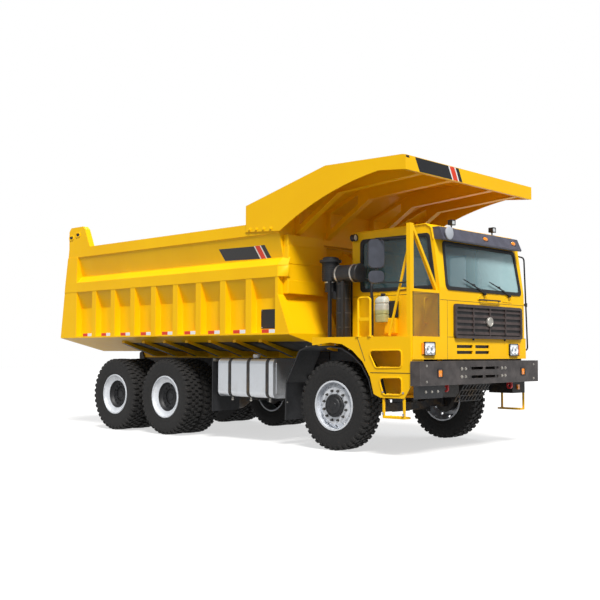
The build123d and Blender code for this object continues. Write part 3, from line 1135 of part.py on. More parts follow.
# columns: half width, front and rear y, low and top z over the cab's floor
SEAT_BASE = (170, -620, -260, 0, 280)
SEAT_CUSHION = (240, -720, -200, 280, 420)
# columns: y, z over the cab's floor
SEAT_BACK = ((-300, 420), (-180, 420), (-60, 1080), (-150, 1100))
SEAT_BACK_HALF = 230
DASH_TOP_Z = SCREEN_LOW_Z - 40
# columns: distance behind the front wall's inside, z
DASH_FRONT = ((170, CAB_LOW_Z + CAB_WALL), (330, DASH_TOP_Z - 80), (300, DASH_TOP_Z))
COLUMN_FOOT = (250, 2200)
COLUMN_HEAD = (470, 2480)
COLUMN_RADIUS = 32
WHEEL_RADIUS = 215
WHEEL_RIM_RADIUS = 17
WHEEL_HUB_RADIUS = 60
WHEEL_SPOKE = (190, 30, 12)


def make_cab_interior():
    """Two seats, the dashboard, and the steering wheel on its column."""
    floor_z = CAB_LOW_Z + CAB_WALL
    items = []
    for x in SEAT_X:
        seat = None
        for half, y0, y1, z0, z1 in (SEAT_BASE, SEAT_CUSHION):
            piece = block((x - half, x + half), (y0, y1), (floor_z + z0, floor_z + z1))
            seat = piece if seat is None else seat + piece
        back = [(y, floor_z + z) for y, z in SEAT_BACK]
        items.append(seat + side_plate(back, x - SEAT_BACK_HALF, x + SEAT_BACK_HALF))
    inside_front = CAB_FRONT_Y + CAB_WALL
    outline = [(inside_front, DASH_TOP_Z), (inside_front, floor_z)] + [(inside_front + y, z) for y, z in DASH_FRONT]
    dash = side_plate(outline, CAB_RIGHT_X + CAB_WALL, CAB_LEFT_X - CAB_WALL - 10)
    driver_x = SEAT_X[1]
    foot = Vector(driver_x, inside_front + COLUMN_FOOT[0], COLUMN_FOOT[1])
    head = Vector(driver_x, inside_front + COLUMN_HEAD[0], COLUMN_HEAD[1])
    plane = Plane(origin=head, z_dir=head - foot)
    wheel = plane * Torus(WHEEL_RADIUS, WHEEL_RIM_RADIUS) + extrude(plane * Circle(WHEEL_HUB_RADIUS), amount=20)
    for turn in (90, 210, 330):
        wheel += plane * (Rot(0, 0, turn) * (Pos(125, 0, WHEEL_SPOKE[2] / 2) * Box(*WHEEL_SPOKE)))
    items.append(dash + rod(tuple(foot), tuple(head), COLUMN_RADIUS) + wheel)
    save("cab_interior", Compound(children=items))


# Cab front

GRILLE_X = (-640, 1310)
GRILLE_Z = (1740, 2240)
GRILLE_DEPTH = 36
GRILLE_FRAME = 30
GRILLE_BACK = 8
GRILLE_CORNER = 50
GRILLE_COLUMNS = 4
GRILLE_ROWS = 5
GRILLE_BAR_HALF = 14
LOUVRE_PLATE = 12
LOUVRE_RISE = 46
VISOR_LOW_Z = SCREEN_TOP_Z + 15
VISOR_TOP_Z = CAB_TOP_Z - 60
VISOR_OUT = 50
VISOR_EDGE = 20
VISOR_LEFT_X = 1290


def rounded_panel(x, z, y0, y1, radius):
    """Upright panel with rounded corners, between two edges in X and in Z."""
    centre = Pos((x[0] + x[1]) / 2, (z[0] + z[1]) / 2)
    face = centre * RectangleRounded(x[1] - x[0], z[1] - z[0], radius)
    return extrude(Plane.XZ.offset(-max(y0, y1)) * face, amount=abs(y1 - y0), dir=(0, -1, 0))


def make_grille():
    """Framed grille with rounded corners and four columns of sloping louvres on the cab's front."""
    front, back = CAB_FRONT_Y - GRILLE_DEPTH, CAB_FRONT_Y
    inner_x = (GRILLE_X[0] + GRILLE_FRAME, GRILLE_X[1] - GRILLE_FRAME)
    inner_z = (GRILLE_Z[0] + GRILLE_FRAME, GRILLE_Z[1] - GRILLE_FRAME)
    part = rounded_panel(GRILLE_X, GRILLE_Z, front, back, GRILLE_CORNER)
    part -= rounded_panel(inner_x, inner_z, front, back - GRILLE_BACK, GRILLE_CORNER - GRILLE_FRAME / 2)
    for i in range(1, GRILLE_COLUMNS):
        x = inner_x[0] + (inner_x[1] - inner_x[0]) / GRILLE_COLUMNS * i
        part += block((x - GRILLE_BAR_HALF, x + GRILLE_BAR_HALF), (front, back - GRILLE_BACK), inner_z)
    for i in range(GRILLE_ROWS):
        z = inner_z[0] + (inner_z[1] - inner_z[0]) / GRILLE_ROWS * (i + 0.5)
        top_z, low_z = z + LOUVRE_RISE / 2, z - LOUVRE_RISE / 2
        louvre = [(back - GRILLE_BACK, top_z + LOUVRE_PLATE), (back - GRILLE_BACK, top_z), (front + 4, low_z),
                  (front + 4, low_z + LOUVRE_PLATE)]
        part += side_plate(louvre, inner_x[0], inner_x[1])
    save("grille", part)


def visor_solid():
    """Sun visor across the top of the windscreen, seated on the cab."""
    back_y = CAB_FRONT_Y + SCREEN_LEAN + CAB_WALL
    outline = [(back_y, VISOR_LOW_Z + 30), (CAB_FRONT_Y - VISOR_OUT, VISOR_LOW_Z),
               (CAB_FRONT_Y - VISOR_OUT - 12, VISOR_LOW_Z + VISOR_EDGE), (CAB_FRONT_Y + 20, VISOR_TOP_Z),
               (back_y, VISOR_TOP_Z)]
    return side_plate(outline, CAB_RIGHT_X + 20, VISOR_LEFT_X) - cab_outline()


STEP_FRONT_Y = -1450
STEP_LOW_Z = 840
LAMP_DEPTH = 22
# columns of the lamp tables: x of the middle, z of the middle, half width, half height
HEADLAMPS = ((-1295, 1568, 125, 92), (1075, 1560, 125, 92))
TURN_LAMPS = ((-1450, 1568, 26, 80), (1240, 1560, 34, 80))
BUMPER_LAMPS = ((-1180, 1210), (1180, 1210))
BUMPER_LAMP_HALF = 52
BUMPER_LAMP_DEPTH = 30
STEP_LAMP_X = (1380, 1440)
WORK_LAMP_X = (-330, 860)
WORK_LAMP_HALF = 48
WORK_LAMP_DEPTH = 70
WORK_LAMP_STEM = 40
WORK_LAMP_HEIGHT = 80
SIDE_LAMP_Y = CAB_REAR_Y - 70
SIDE_LAMP_Z = CAB_TOP_Z - 110
SIDE_LAMP_OUT = 60
SIDE_LAMP_RADIUS = 55
STEM_RADIUS = 12
TAIL_LAMP_X = (470, 700)
TAIL_LAMP_Z = (1150, 1260)
TAIL_LAMP_DEPTH = 60
TAIL_BRACKET = 30


def lamp_block(x, z, half_x, half_z, y0, y1):
    """Lamp as a block about its middle."""
    return block((x - half_x, x + half_x), (y0, y1), (z - half_z, z + half_z))


def make_lamps():
    """Headlamps, amber lamps, work lamps and tail lamps."""
    lamps = [lamp_block(*lamp, CAB_FRONT_Y - LAMP_DEPTH, CAB_FRONT_Y) for lamp in HEADLAMPS]
    save("headlamps", Compound(children=lamps))
    amber = [lamp_block(*lamp, CAB_FRONT_Y - LAMP_DEPTH + 4, CAB_FRONT_Y) for lamp in TURN_LAMPS]
    for x, z in BUMPER_LAMPS:
        amber.append(lamp_block(x, z, BUMPER_LAMP_HALF, BUMPER_LAMP_HALF,
                                BUMPER_FACE_Y, BUMPER_FACE_Y + BUMPER_LAMP_DEPTH))
    amber.append(block(STEP_LAMP_X, (STEP_FRONT_Y - LAMP_DEPTH, STEP_FRONT_Y), (STEP_LOW_Z + 60, STEP_LOW_Z + 140)))
    save("amber_lamps", Compound(children=amber))
    work = []
    y, foot_z = CAB_FRONT_Y + 240, CAB_TOP_Z + WORK_LAMP_STEM
    for x in WORK_LAMP_X:
        head = block((x - WORK_LAMP_HALF, x + WORK_LAMP_HALF), (y - WORK_LAMP_DEPTH / 2, y + WORK_LAMP_DEPTH / 2),
                     (foot_z, foot_z + WORK_LAMP_HEIGHT))
        work.append(head + rod((x, y, CAB_TOP_Z), (x, y, foot_z), STEM_RADIUS))
    side_x = CAB_RIGHT_X - SIDE_LAMP_OUT
    lamp = rod((CAB_RIGHT_X, SIDE_LAMP_Y, SIDE_LAMP_Z), (side_x, SIDE_LAMP_Y, SIDE_LAMP_Z), STEM_RADIUS)
    work.append(lamp + rod((side_x, SIDE_LAMP_Y - 40, SIDE_LAMP_Z), (side_x, SIDE_LAMP_Y + 30, SIDE_LAMP_Z),
                           SIDE_LAMP_RADIUS))
    save("work_lamps", Compound(children=work))
    tail = []
    for side in (-1, 1):
        lamp_x = [side * x for x in TAIL_LAMP_X]
        lamp = block(lamp_x, (FRAME_REAR_Y - TAIL_LAMP_DEPTH, FRAME_REAR_Y), TAIL_LAMP_Z)
        bracket = block((side * (RAIL_OUTER_X + EAR_PLATE), lamp_x[0]),
                        (FRAME_REAR_Y - 50, FRAME_REAR_Y - 20), (TAIL_LAMP_Z[0] + TAIL_BRACKET, TAIL_LAMP_Z[1] - TAIL_BRACKET))
        tail.append(lamp + bracket)
    save("tail_lamps", Compound(children=tail))


BRACE_X = POST_X + 55
BRACE_Z = 2440
HOOP_X = POST_X + 18
HOOP_Y = (-550, -780)
HOOP_TOP_Z = 2330
HOOP_RADIUS = 18
HOOP_BEND = 50
HOOP_BAR_Z = 2010
GRAB_X = CAB_LEFT_X + 125
GRAB_RADIUS = 13
GRAB_BEND = 60


def post_solid():
    """Corner post of the platform."""
    return block((POST_X, POST_X + POST_WIDTH), (POST_Y - POST_DEPTH / 2, POST_Y + POST_DEPTH / 2),
                 (DECK_TOP_Z, POST_TOP_Z))


def make_platform_rails():
    """Corner post with its braces, the hoop handrail and the left grab tube."""
    post_back_y = POST_Y + 20
    part = post_solid()
    part += bar((POST_X + 60, POST_Y - 10, POST_TOP_Z - 30), (CAB_RIGHT_X - 26, POST_Y - 10, BRACE_Z), 48)
    part += bar((BRACE_X, post_back_y, POST_TOP_Z - 260), (BRACE_X, -1110, DECK_TOP_Z + 14), 28)
    part += block((BRACE_X - 13, BRACE_X + 13), (post_back_y, -1290), (BRACE_Z - 15, BRACE_Z + 15))
    part += block((POST_X + POST_WIDTH / 2, CAB_RIGHT_X - SEAT_GAP), (CAB_FRONT_Y + 8, CAB_FRONT_Y + 48),
                  (SMOKED_TOP_Z + 2, SMOKED_TOP_Z + 42))
    hoop = bent_tube([(HOOP_X, HOOP_Y[0], DECK_TOP_Z), (HOOP_X, HOOP_Y[0], HOOP_TOP_Z),
                      (HOOP_X, HOOP_Y[1], HOOP_TOP_Z), (HOOP_X, HOOP_Y[1], DECK_TOP_Z)], HOOP_RADIUS, HOOP_BEND)
    hoop += block((HOOP_X - 12, HOOP_X + 12), (HOOP_Y[1] + 10, HOOP_Y[0] - 10), (HOOP_BAR_Z - 25, HOOP_BAR_Z + 25))
    grab = bent_tube([(CAB_LEFT_X - 20, CAB_FRONT_Y + 110, 3140), (GRAB_X, CAB_FRONT_Y + 60, 3120),
                      (GRAB_X, CAB_FRONT_Y + 10, 1560), (SKIRT_LEFT_X - 30, CAB_FRONT_Y + 40, 1545)],
                     GRAB_RADIUS, GRAB_BEND)
    save("platform_rails", Compound(children=[part, hoop, grab - cab_outline() - skirt_solid()]))


def make_mirrors():
    """Right mirrors on rods from the corner post, and the round mirror before the windscreen."""
    right = mirror_head(RIGHT_MIRROR_X, RIGHT_MIRROR_Y, 45)
    low_z, top_z = mirror_stem()
    for z in (low_z + 5, top_z - 3):
        right += rod((RIGHT_MIRROR_X, RIGHT_MIRROR_Y, z), (POST_X + 20, POST_Y + 25, z - 20), STEM_RADIUS)
    right -= post_solid()
    z, front_y = VISOR_LOW_Z + 105, CAB_FRONT_Y - ROUND_MIRROR_OUT
    back_y = front_y + ROUND_MIRROR_DEPTH
    disc = rod((ROUND_MIRROR_X, front_y, z), (ROUND_MIRROR_X, back_y, z), ROUND_MIRROR_RADIUS)
    disc += rod((ROUND_MIRROR_X, back_y, z), (ROUND_MIRROR_X, CAB_FRONT_Y, z), STEM_RADIUS)
    save("mirrors", Compound(children=[right, disc - visor_solid()]))


WIPER_PIVOT_Z = SCREEN_LOW_Z - 40
WIPER_RISE = 80
# columns: x of the pivot, x of the blade's middle
WIPERS = ((200, -120), (950, 620))
WIPER_HALF = 240
WIPER_LEAN = 70
GRIP_X = (60, 640)
GRIP_Z = SCREEN_LOW_Z - 140
GRIP_OUT = 45
GRIP_RADIUS = 11


def make_wipers():
    """Two wipers with their arms, and the grab bar under the windscreen."""
    items = []
    y, blade_z = CAB_FRONT_Y, SCREEN_LOW_Z + WIPER_RISE
    blade_y = y - 26 + WIPER_RISE * SCREEN_LEAN / (SCREEN_TOP_Z - SCREEN_LOW_Z)
    for pivot_x, blade_x in WIPERS:
        arm = rod((pivot_x, y, WIPER_PIVOT_Z), (pivot_x, y - 30, WIPER_PIVOT_Z), 20)
        arm += bar((pivot_x, y - 24, WIPER_PIVOT_Z), (blade_x, blade_y, blade_z), 14)
        arm += bar((blade_x - WIPER_HALF, blade_y + 3, blade_z + WIPER_LEAN),
                   (blade_x + WIPER_HALF, blade_y - 3, blade_z - WIPER_LEAN), 12)
        items.append(arm)
    grip = bent_tube([(GRIP_X[0], y, GRIP_Z), (GRIP_X[0], y - GRIP_OUT, GRIP_Z), (GRIP_X[1], y - GRIP_OUT, GRIP_Z),
                      (GRIP_X[1], y, GRIP_Z)], GRIP_RADIUS, 25)
    save("wipers", Compound(children=items + [grip]))


# Bumper, decks, steps and mudguards

TOW_EYE_RADIUS = 25
TOW_EYE_Y = BUMPER_FACE_Y + 95
TOW_EYE_Z = BUMPER_LOW_Z - 62
TOW_HOOK_X = 910
TOW_HOOK_PLATE = 28
# columns: distance behind and below the tow eye
TOW_HOOK = ((-50, -62), (45, -62), (45, 25), (25, 45), (-25, 45), (-50, 20))
BUMPER_DEPTH = 140
BUMPER_CHAMFER = 125
BUMPER_SLOT_X = ((-420, -30), (30, 420))
BUMPER_SLOT_Z = (1145, 1275)
LAMP_SEAT_WALL = 18
BUMPER_STRUT_X = RAIL_OUTER_X - 50
BUMPER_STRUT_HALF = 45


def bumper_outline(wall, rear_y):
    """Outline of the bumper in X and Y, moved inwards by a wall, open to rear_y."""
    end_y = BUMPER_FACE_Y + BUMPER_CHAMFER
    half = [(BUMPER_HALF - wall * 0.75, BUMPER_FACE_Y + wall), (BUMPER_END_X - wall, end_y + wall / 3),
            (BUMPER_END_X - wall, rear_y)]
    return [(-x, y) for x, y in half[::-1]] + half


def make_bumper():
    """Hollow bumper beam with chamfered ends, cooling slots, lamp seats, struts and tow hooks."""
    rear_y = BUMPER_FACE_Y + BUMPER_DEPTH
    inner_z = (BUMPER_LOW_Z + PLATE, BUMPER_TOP_Z - PLATE)
    part = flat_plate(bumper_outline(0, rear_y), BUMPER_LOW_Z, BUMPER_TOP_Z)
    part -= flat_plate(bumper_outline(PLATE, rear_y + CUT_REACH), *inner_z)
    for x in BUMPER_SLOT_X:
        for z in BUMPER_SLOT_Z:
            part -= block(x, (BUMPER_FACE_Y, BUMPER_FACE_Y + PLATE), (z - SLOT_HALF, z + SLOT_HALF))
    seat, hole = BUMPER_LAMP_HALF + LAMP_SEAT_WALL, BUMPER_LAMP_HALF + SEAT_GAP
    for x, z in BUMPER_LAMPS:
        part += lamp_block(x, z, seat, seat, BUMPER_FACE_Y + PLATE, BUMPER_FACE_Y + BUMPER_LAMP_DEPTH + PLATE)
        part -= lamp_block(x, z, hole, hole, BUMPER_FACE_Y, BUMPER_FACE_Y + BUMPER_LAMP_DEPTH)
    hook = side_plate([(TOW_EYE_Y + behind, TOW_EYE_Z - below) for behind, below in TOW_HOOK],
                      TOW_HOOK_X - TOW_HOOK_PLATE / 2, TOW_HOOK_X + TOW_HOOK_PLATE / 2)
    hook -= rod((TOW_HOOK_X - TOW_HOOK_PLATE, TOW_EYE_Y, TOW_EYE_Z), (TOW_HOOK_X + TOW_HOOK_PLATE, TOW_EYE_Y, TOW_EYE_Z),
                TOW_EYE_RADIUS)
    strut = block((BUMPER_STRUT_X - BUMPER_STRUT_HALF, BUMPER_STRUT_X + BUMPER_STRUT_HALF),
                  (BUMPER_FACE_Y + PLATE, FRAME_FRONT_Y), inner_z)
    save("bumper", part + both_sides(hook + strut))


GUARD_TOP = (-1560, 1024)
GUARD_LOW = (-1370, 760)
GUARD_BARS = 9
GUARD_PITCH = 90
GUARD_BAR = 16
GUARD_CROSS_BARS = 4
GUARD_CROSS_BAR = 18
GUARD_LUG = 32


def make_guard():
    """Lattice guard that slopes back under the bumper."""
    half = GUARD_PITCH * (GUARD_BARS - 1) / 2 + 12
    cross = GUARD_CROSS_BAR / 2
    items = None
    for i in range(GUARD_CROSS_BARS):
        share = i / (GUARD_CROSS_BARS - 1)
        y, z = (top + (low - top) * share for top, low in zip(GUARD_TOP, GUARD_LOW))
        one = block((-half, half), (y - cross, y + cross), (z - cross, z + cross))
        items = one if items is None else items + one
    for i in range(GUARD_BARS):
        x = GUARD_PITCH * (i - (GUARD_BARS - 1) / 2)
        items += bar((x, *GUARD_TOP), (x, *GUARD_LOW), GUARD_BAR)
    lug = block((half - GUARD_LUG, half), (GUARD_TOP[0] - 12, FRAME_FRONT_Y), (GUARD_TOP[1] - 12, BUMPER_LOW_Z))
    save("radiator_guard", items + both_sides(lug))


# y and z of the wheel arch, from behind the cab down to the front
ARCH = ((370, 1640), (0, 1640), (-230, 1610), (-430, 1510), (-620, 1360), (-760, 1150), (-830, 900))
# y and z of the mudguard behind the front wheel, from its foot up
ARCH_REAR = ((990, 420), (975, 1020), (680, 1540), (480, 1600))
ARCH_DROP = 40
ARCH_PLATE = 14
GUARD_OUTER_X = 1660
GUARD_INNER_X = 1150
# columns: y and z of the two stays of each wheel arch, front and rear or low and top edge
ARCH_STAYS = (((880, 960), (1070, 1110)), ((-670, -600), (1250, 1290)))
FLAP_X = (1000, 1640)
FLAP_Y = (2800, 2815)
FLAP_Z = (480, 1400)
FLAP_STAY_Z = (1250, 1330)


def make_mudguards():
    """Front wheel arches on stays from the rails, and the flaps before the rear wheels."""
    arch = list(ARCH_REAR) + [(y + 20, z - ARCH_DROP) for y, z in ARCH[1:]]
    part = strip(arch, -ARCH_PLATE, GUARD_INNER_X, GUARD_OUTER_X)
    for y, z in ARCH_STAYS:
        part += block((RAIL_OUTER_X, GUARD_INNER_X + 40), y, z)
    flap = block(FLAP_X, FLAP_Y, FLAP_Z) + block((RAIL_OUTER_X, FLAP_X[0]), FLAP_Y, FLAP_STAY_Z)
    save("mudguards", both_sides(part) + both_sides(flap))


PANEL_FRONT_Y = CAB_FRONT_Y + 20
PANEL_LOW_Z = 1030
PANEL_FOOT_Z = 850
# y and z of the ladder box's lower outline, from the front foot to the wheel arch
PANEL_FOOT = ((PANEL_FRONT_Y, PANEL_LOW_Z), (-1420, PANEL_FOOT_Z), (-985, PANEL_FOOT_Z), (-860, 900), (-790, 1150),
              (-650, 1372))
PANEL_ARCH = ((-450, 1540), (-240, 1638), (0, 1662))
PANEL_REAR_Z = 1620
# corners of the two foot openings
FOOT_OPENINGS = (((-760, 1535), (-1370, 1540), (-1370, 1300), (-900, 1290)),
                 ((-960, 1135), (-1370, 1145), (-1370, 905), (-1040, 900)))
FOOT_CORNER = 40
# columns: rear edge and top of each tread
TREADS = ((-900, 1290), (-1030, 898))
TREAD_FRONT_Y = -1380
LADDER_DEPTH = 300
LADDER_INNER_X = -DECK_OUTER_X + LADDER_DEPTH
LADDER_BACK_Y = -560
LADDER_BACK_Z = 1450
STAY_Y = (-1200, -1140)
STAY_Z = (1480, 1540)
STAY_FOOT_Z = 1340
HANGER_LOW_Z = 580
HANGER_PLATE = 30
HANGER_EDGE = 28
RUNG_DEPTH = 160


def make_deck_right():
    """Platform beside the cab, its outer panel with the foot openings, treads and the front panel."""
    outer, inside = -DECK_OUTER_X, -DECK_OUTER_X + PLATE
    top_z, foot = DECK_TOP_Z, list(PANEL_FOOT)
    panel = [(DECK_REAR_Y, PANEL_REAR_Z), (DECK_REAR_Y, top_z), (PANEL_FRONT_Y, top_z)] + foot + list(PANEL_ARCH)
    part = side_plate(panel, outer, inside)
    for corners in FOOT_OPENINGS:
        part -= side_plate(rounded_face(corners, FOOT_CORNER), outer, inside)
    for rear_y, tread_z in TREADS:
        part += block((inside, LADDER_INNER_X), (TREAD_FRONT_Y, rear_y), (tread_z - PLATE, tread_z))
    back = [(PANEL_FRONT_Y, top_z)] + foot + [(LADDER_BACK_Y, LADDER_BACK_Z), (LADDER_BACK_Y, top_z)]
    part += side_plate(back, LADDER_INNER_X, LADDER_INNER_X + PLATE)
    part += block((inside, LADDER_INNER_X), (PANEL_FRONT_Y, PANEL_FRONT_Y + PLATE), (PANEL_LOW_Z, top_z))
    deck = block((outer, -RAIL_OUTER_X - 180), (PANEL_FRONT_Y, DECK_REAR_Y), (top_z - PLATE, top_z))
    part += deck - block((CAB_RIGHT_X, 0), (CAB_FRONT_Y, DECK_REAR_Y), (top_z - PLATE, top_z))
    part += block((outer + 20, SKIRT_RIGHT_X - 4), (CAB_FRONT_Y, PANEL_FRONT_Y), (SKIRT_LOW_Z, top_z))
    part += block((LADDER_INNER_X + PLATE, -RAIL_OUTER_X), STAY_Y, STAY_Z)
    part += block((-RAIL_OUTER_X - 40, -RAIL_OUTER_X), STAY_Y, (STAY_FOOT_Z, STAY_Z[1]))
    tread_rear, tread_z = TREADS[1]
    for y in (TREAD_FRONT_Y - 20, tread_rear):
        part += block((inside, inside + HANGER_PLATE), (y - HANGER_EDGE / 2, y + HANGER_EDGE / 2),
                      (HANGER_LOW_Z, tread_z - PLATE))
    part += block((inside, outer + RUNG_DEPTH), (TREAD_FRONT_Y - 20 - HANGER_EDGE / 2, tread_rear + HANGER_EDGE / 2),
                  (HANGER_LOW_Z - HANGER_EDGE, HANGER_LOW_Z))
    save("deck_right", part)


WING_X = (1200, DECK_OUTER_X - 60)
STEP_X = (1240, 1640)
STEP_REAR_Y = -1000
STEP_TOP_Z = 1030


def make_deck_left():
    """Left wing beside the cab's foot, the step box and the hanging step."""
    wing = block(WING_X, (-540, DECK_REAR_Y), (DECK_TOP_Z - PLATE, DECK_TOP_Z))
    box = block(STEP_X, (STEP_FRONT_Y, STEP_REAR_Y), (STEP_LOW_Z, STEP_TOP_Z))
    box -= block((STEP_X[0] + PLATE, STEP_X[1] - PLATE), (STEP_FRONT_Y + PLATE, STEP_REAR_Y - PLATE),
                 (STEP_LOW_Z + PLATE, STEP_TOP_Z))
    for y in (STEP_FRONT_Y + 20, STEP_REAR_Y - 20):
        box += block((STEP_X[1] - HANGER_EDGE, STEP_X[1]), (y - HANGER_EDGE / 2, y + HANGER_EDGE / 2),
                     (HANGER_LOW_Z, STEP_LOW_Z))
    box += block((STEP_X[1] - 140, STEP_X[1]), (STEP_FRONT_Y + 6, STEP_REAR_Y - 6), (HANGER_LOW_Z - HANGER_EDGE, HANGER_LOW_Z))
    box += block((RAIL_OUTER_X, STEP_X[0]), STAY_Y, (STEP_TOP_Z - 50, STEP_TOP_Z))
    box += block((RAIL_OUTER_X, RAIL_OUTER_X + 40), STAY_Y, (STEP_TOP_Z - 50, STEP_TOP_Z + 220))
    save("deck_left", Compound(children=[wing, box]))


# Air intake, tanks

INTAKE_X = -1230
INTAKE_Y = 400
# columns: low z, top z, radius of each step of the intake's cap
INTAKE_STEPS = ((2480, 2660, 95), (2660, 2960, 140), (2960, 3000, 175), (3000, 3035, 130))
CANISTER_Y = (-210, 245)
CANISTER_Z = 2760
CANISTER_RADIUS = 140
PIPE_OFFSET = (60, -220)
PIPE_RADIUS = 120
PIPE_TOP_Z = 2640
INTAKE_POST_X = INTAKE_X - 90
INTAKE_POST_HALF = 22
# columns: y and top z of each post
INTAKE_POSTS = ((340, 2700), (60, 2640))
BOTTLE_DEPTH = 150
BOTTLE_Y = (-640, -430)
BOTTLE_Z = (1980, 2380)


def make_air_cleaner():
    """Intake cap, canister, outlet pipe and their posts."""
    pipe_x, pipe_y = INTAKE_X + PIPE_OFFSET[0], INTAKE_Y + PIPE_OFFSET[1]
    part = rod((INTAKE_X, CANISTER_Y[0], CANISTER_Z), (INTAKE_X, CANISTER_Y[1], CANISTER_Z), CANISTER_RADIUS)
    for z0, z1, radius in INTAKE_STEPS:
        part += rod((INTAKE_X, INTAKE_Y, z0), (INTAKE_X, INTAKE_Y, z1), radius)
    part += rod((pipe_x, pipe_y, DECK_TOP_Z), (pipe_x, pipe_y, PIPE_TOP_Z), PIPE_RADIUS)
    part += bar((INTAKE_X, INTAKE_Y, INTAKE_STEPS[0][0] - 10), (pipe_x, pipe_y, INTAKE_STEPS[0][0] - 100), 120)
    for y, top_z in INTAKE_POSTS:
        part += block((INTAKE_POST_X - INTAKE_POST_HALF, INTAKE_POST_X + INTAKE_POST_HALF),
                      (y - INTAKE_POST_HALF, y + INTAKE_POST_HALF), (DECK_TOP_Z, top_z))
    save("air_cleaner", part)


def make_coolant_bottle():
    """Coolant bottle on the cab's right wall."""
    save("coolant_bottle", block((CAB_RIGHT_X - BOTTLE_DEPTH, CAB_RIGHT_X), BOTTLE_Y, BOTTLE_Z))


TANK_X = (-1600, -980)
TANK_Y = (1340, 2690)
TANK_Z = (750, 1405)
TANK_EDGE = 90
FILLER_RADIUS = 55
FILLER_TOP_Z = 1440
FILLER_Y = 1990
STRAP_Y = (1480, 1940, 2400)
BRACKET_HALF = 35
BRACKET_DEPTH = 50
BRACKET_PLATE = 60
HYDRAULIC_X = (980, 1560)
HYDRAULIC_Y = (1340, 2100)
HYDRAULIC_TOP_Z = 1380
HYDRAULIC_EDGE = 40
BATTERY_Y = (2180, 2680)
BATTERY_TOP_Z = 1180


def make_fuel_tank():
    """Aluminium tank with rounded edges, its filler, and the brackets that carry the tanks."""
    tank = block(TANK_X, TANK_Y, TANK_Z)
    tank = fillet(tank.edges().filter_by(Axis.Y), radius=TANK_EDGE)
    filler_x = (TANK_X[0] + TANK_X[1]) / 2 - 60
    tank += rod((filler_x, FILLER_Y, TANK_Z[1] - 5), (filler_x, FILLER_Y, FILLER_TOP_Z), FILLER_RADIUS)
    save("fuel_tank", tank)
    brackets = None
    for y in STRAP_Y:
        across = (y - BRACKET_HALF, y + BRACKET_HALF)
        one = block((-RAIL_OUTER_X, TANK_X[0] + 100), across, (TANK_Z[0] - BRACKET_DEPTH, TANK_Z[0]))
        one += block((-RAIL_OUTER_X, -RAIL_OUTER_X - BRACKET_PLATE), across, (TANK_Z[0], RAIL_TOP_Z - 60))
        brackets = one if brackets is None else brackets + one
    save("tank_brackets", both_sides(brackets))


def make_hydraulic_tank():
    """Hydraulic tank with rounded edges and the battery box behind it."""
    tank = fillet(block(HYDRAULIC_X, HYDRAULIC_Y, (TANK_Z[0], HYDRAULIC_TOP_Z)).edges(), radius=HYDRAULIC_EDGE)
    battery = block(HYDRAULIC_X, BATTERY_Y, (TANK_Z[0], BATTERY_TOP_Z))
    save("hydraulic_tank", Compound(children=[tank, battery]))


make_wheels()
make_front_axle()
make_front_springs()
make_knuckle(1)
make_knuckle(-1)
make_tie_rod()
make_rear_axles()
make_rear_suspension()
make_frame()
make_rear_member()
make_driveline()
make_radiator()
make_bumper()
make_guard()
make_cab_shell()
make_cab_glass()
make_door()
make_cab_interior()
make_grille()
save("visor", visor_solid())
make_lamps()
make_platform_rails()
make_mirrors()
make_wipers()
make_mudguards()
make_deck_right()
make_deck_left()
make_air_cleaner()
make_coolant_bottle()
make_fuel_tank()
make_hydraulic_tank()
make_bed_shell()
make_bed_ribs()
make_canopy()
make_tailgate()
make_hoist()
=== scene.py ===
"""Mining dump truck: finishes, fitted pieces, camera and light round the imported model.

Metres; the truck's front is at -Y and its left at +X.
"""
import math
from functools import partialmethod

import bmesh
import bpy
from mathutils import Matrix, Vector, geometry


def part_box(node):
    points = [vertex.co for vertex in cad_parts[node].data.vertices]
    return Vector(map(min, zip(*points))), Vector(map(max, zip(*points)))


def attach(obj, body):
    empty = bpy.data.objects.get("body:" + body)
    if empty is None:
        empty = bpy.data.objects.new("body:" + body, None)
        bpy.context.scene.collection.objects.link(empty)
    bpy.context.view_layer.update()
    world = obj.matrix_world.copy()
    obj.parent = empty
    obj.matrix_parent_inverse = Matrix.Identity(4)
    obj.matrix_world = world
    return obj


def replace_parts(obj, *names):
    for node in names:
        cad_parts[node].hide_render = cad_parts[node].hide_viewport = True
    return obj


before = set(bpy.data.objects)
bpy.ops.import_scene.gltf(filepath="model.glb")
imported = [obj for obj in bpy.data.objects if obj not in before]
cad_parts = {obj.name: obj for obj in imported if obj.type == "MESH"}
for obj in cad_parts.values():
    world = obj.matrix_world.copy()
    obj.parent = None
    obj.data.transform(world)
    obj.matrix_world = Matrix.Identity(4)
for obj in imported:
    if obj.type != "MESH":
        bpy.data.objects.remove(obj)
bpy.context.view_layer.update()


def middle_of(node):
    """Middle of a node's box."""
    low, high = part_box(node)
    return (low + high) / 2


# Driving places, read from the frame or given as real sizes

AXLE_Z = middle_of("tyre_front_left").z
FRONT_AXLE_Y = middle_of("tyre_front_left").y
FRONT_WHEEL_X = middle_of("tyre_front_left").x
AXLE_2_Y = middle_of("tyres_axle2_left").y
AXLE_3_Y = middle_of("tyres_axle3_left").y
TYRE_RADIUS = 0.69
REAR_OUTER_X = 1.588
REAR_INNER_X = 1.158
FRONT_HUB_RADIUS = 0.178
REAR_DISH_RADIUS = 0.352

CAB_RIGHT_X = -1.0
CAB_LEFT_X = 1.45
CAB_FRONT_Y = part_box("headlamps")[1].y
CAB_REAR_Y = CAB_FRONT_Y + 1.69
CAB_WALL = 0.05
CAB_ROOF_Z = 3.46
SCREEN_LOW_Z = 2.48
SCREEN_TOP_Z = 3.18
SCREEN_LEAN = 0.1
DECK_TOP_Z = 1.745
DECK_RIGHT_X = -1.7
BUMPER_FACE_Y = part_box("bumper")[0].y

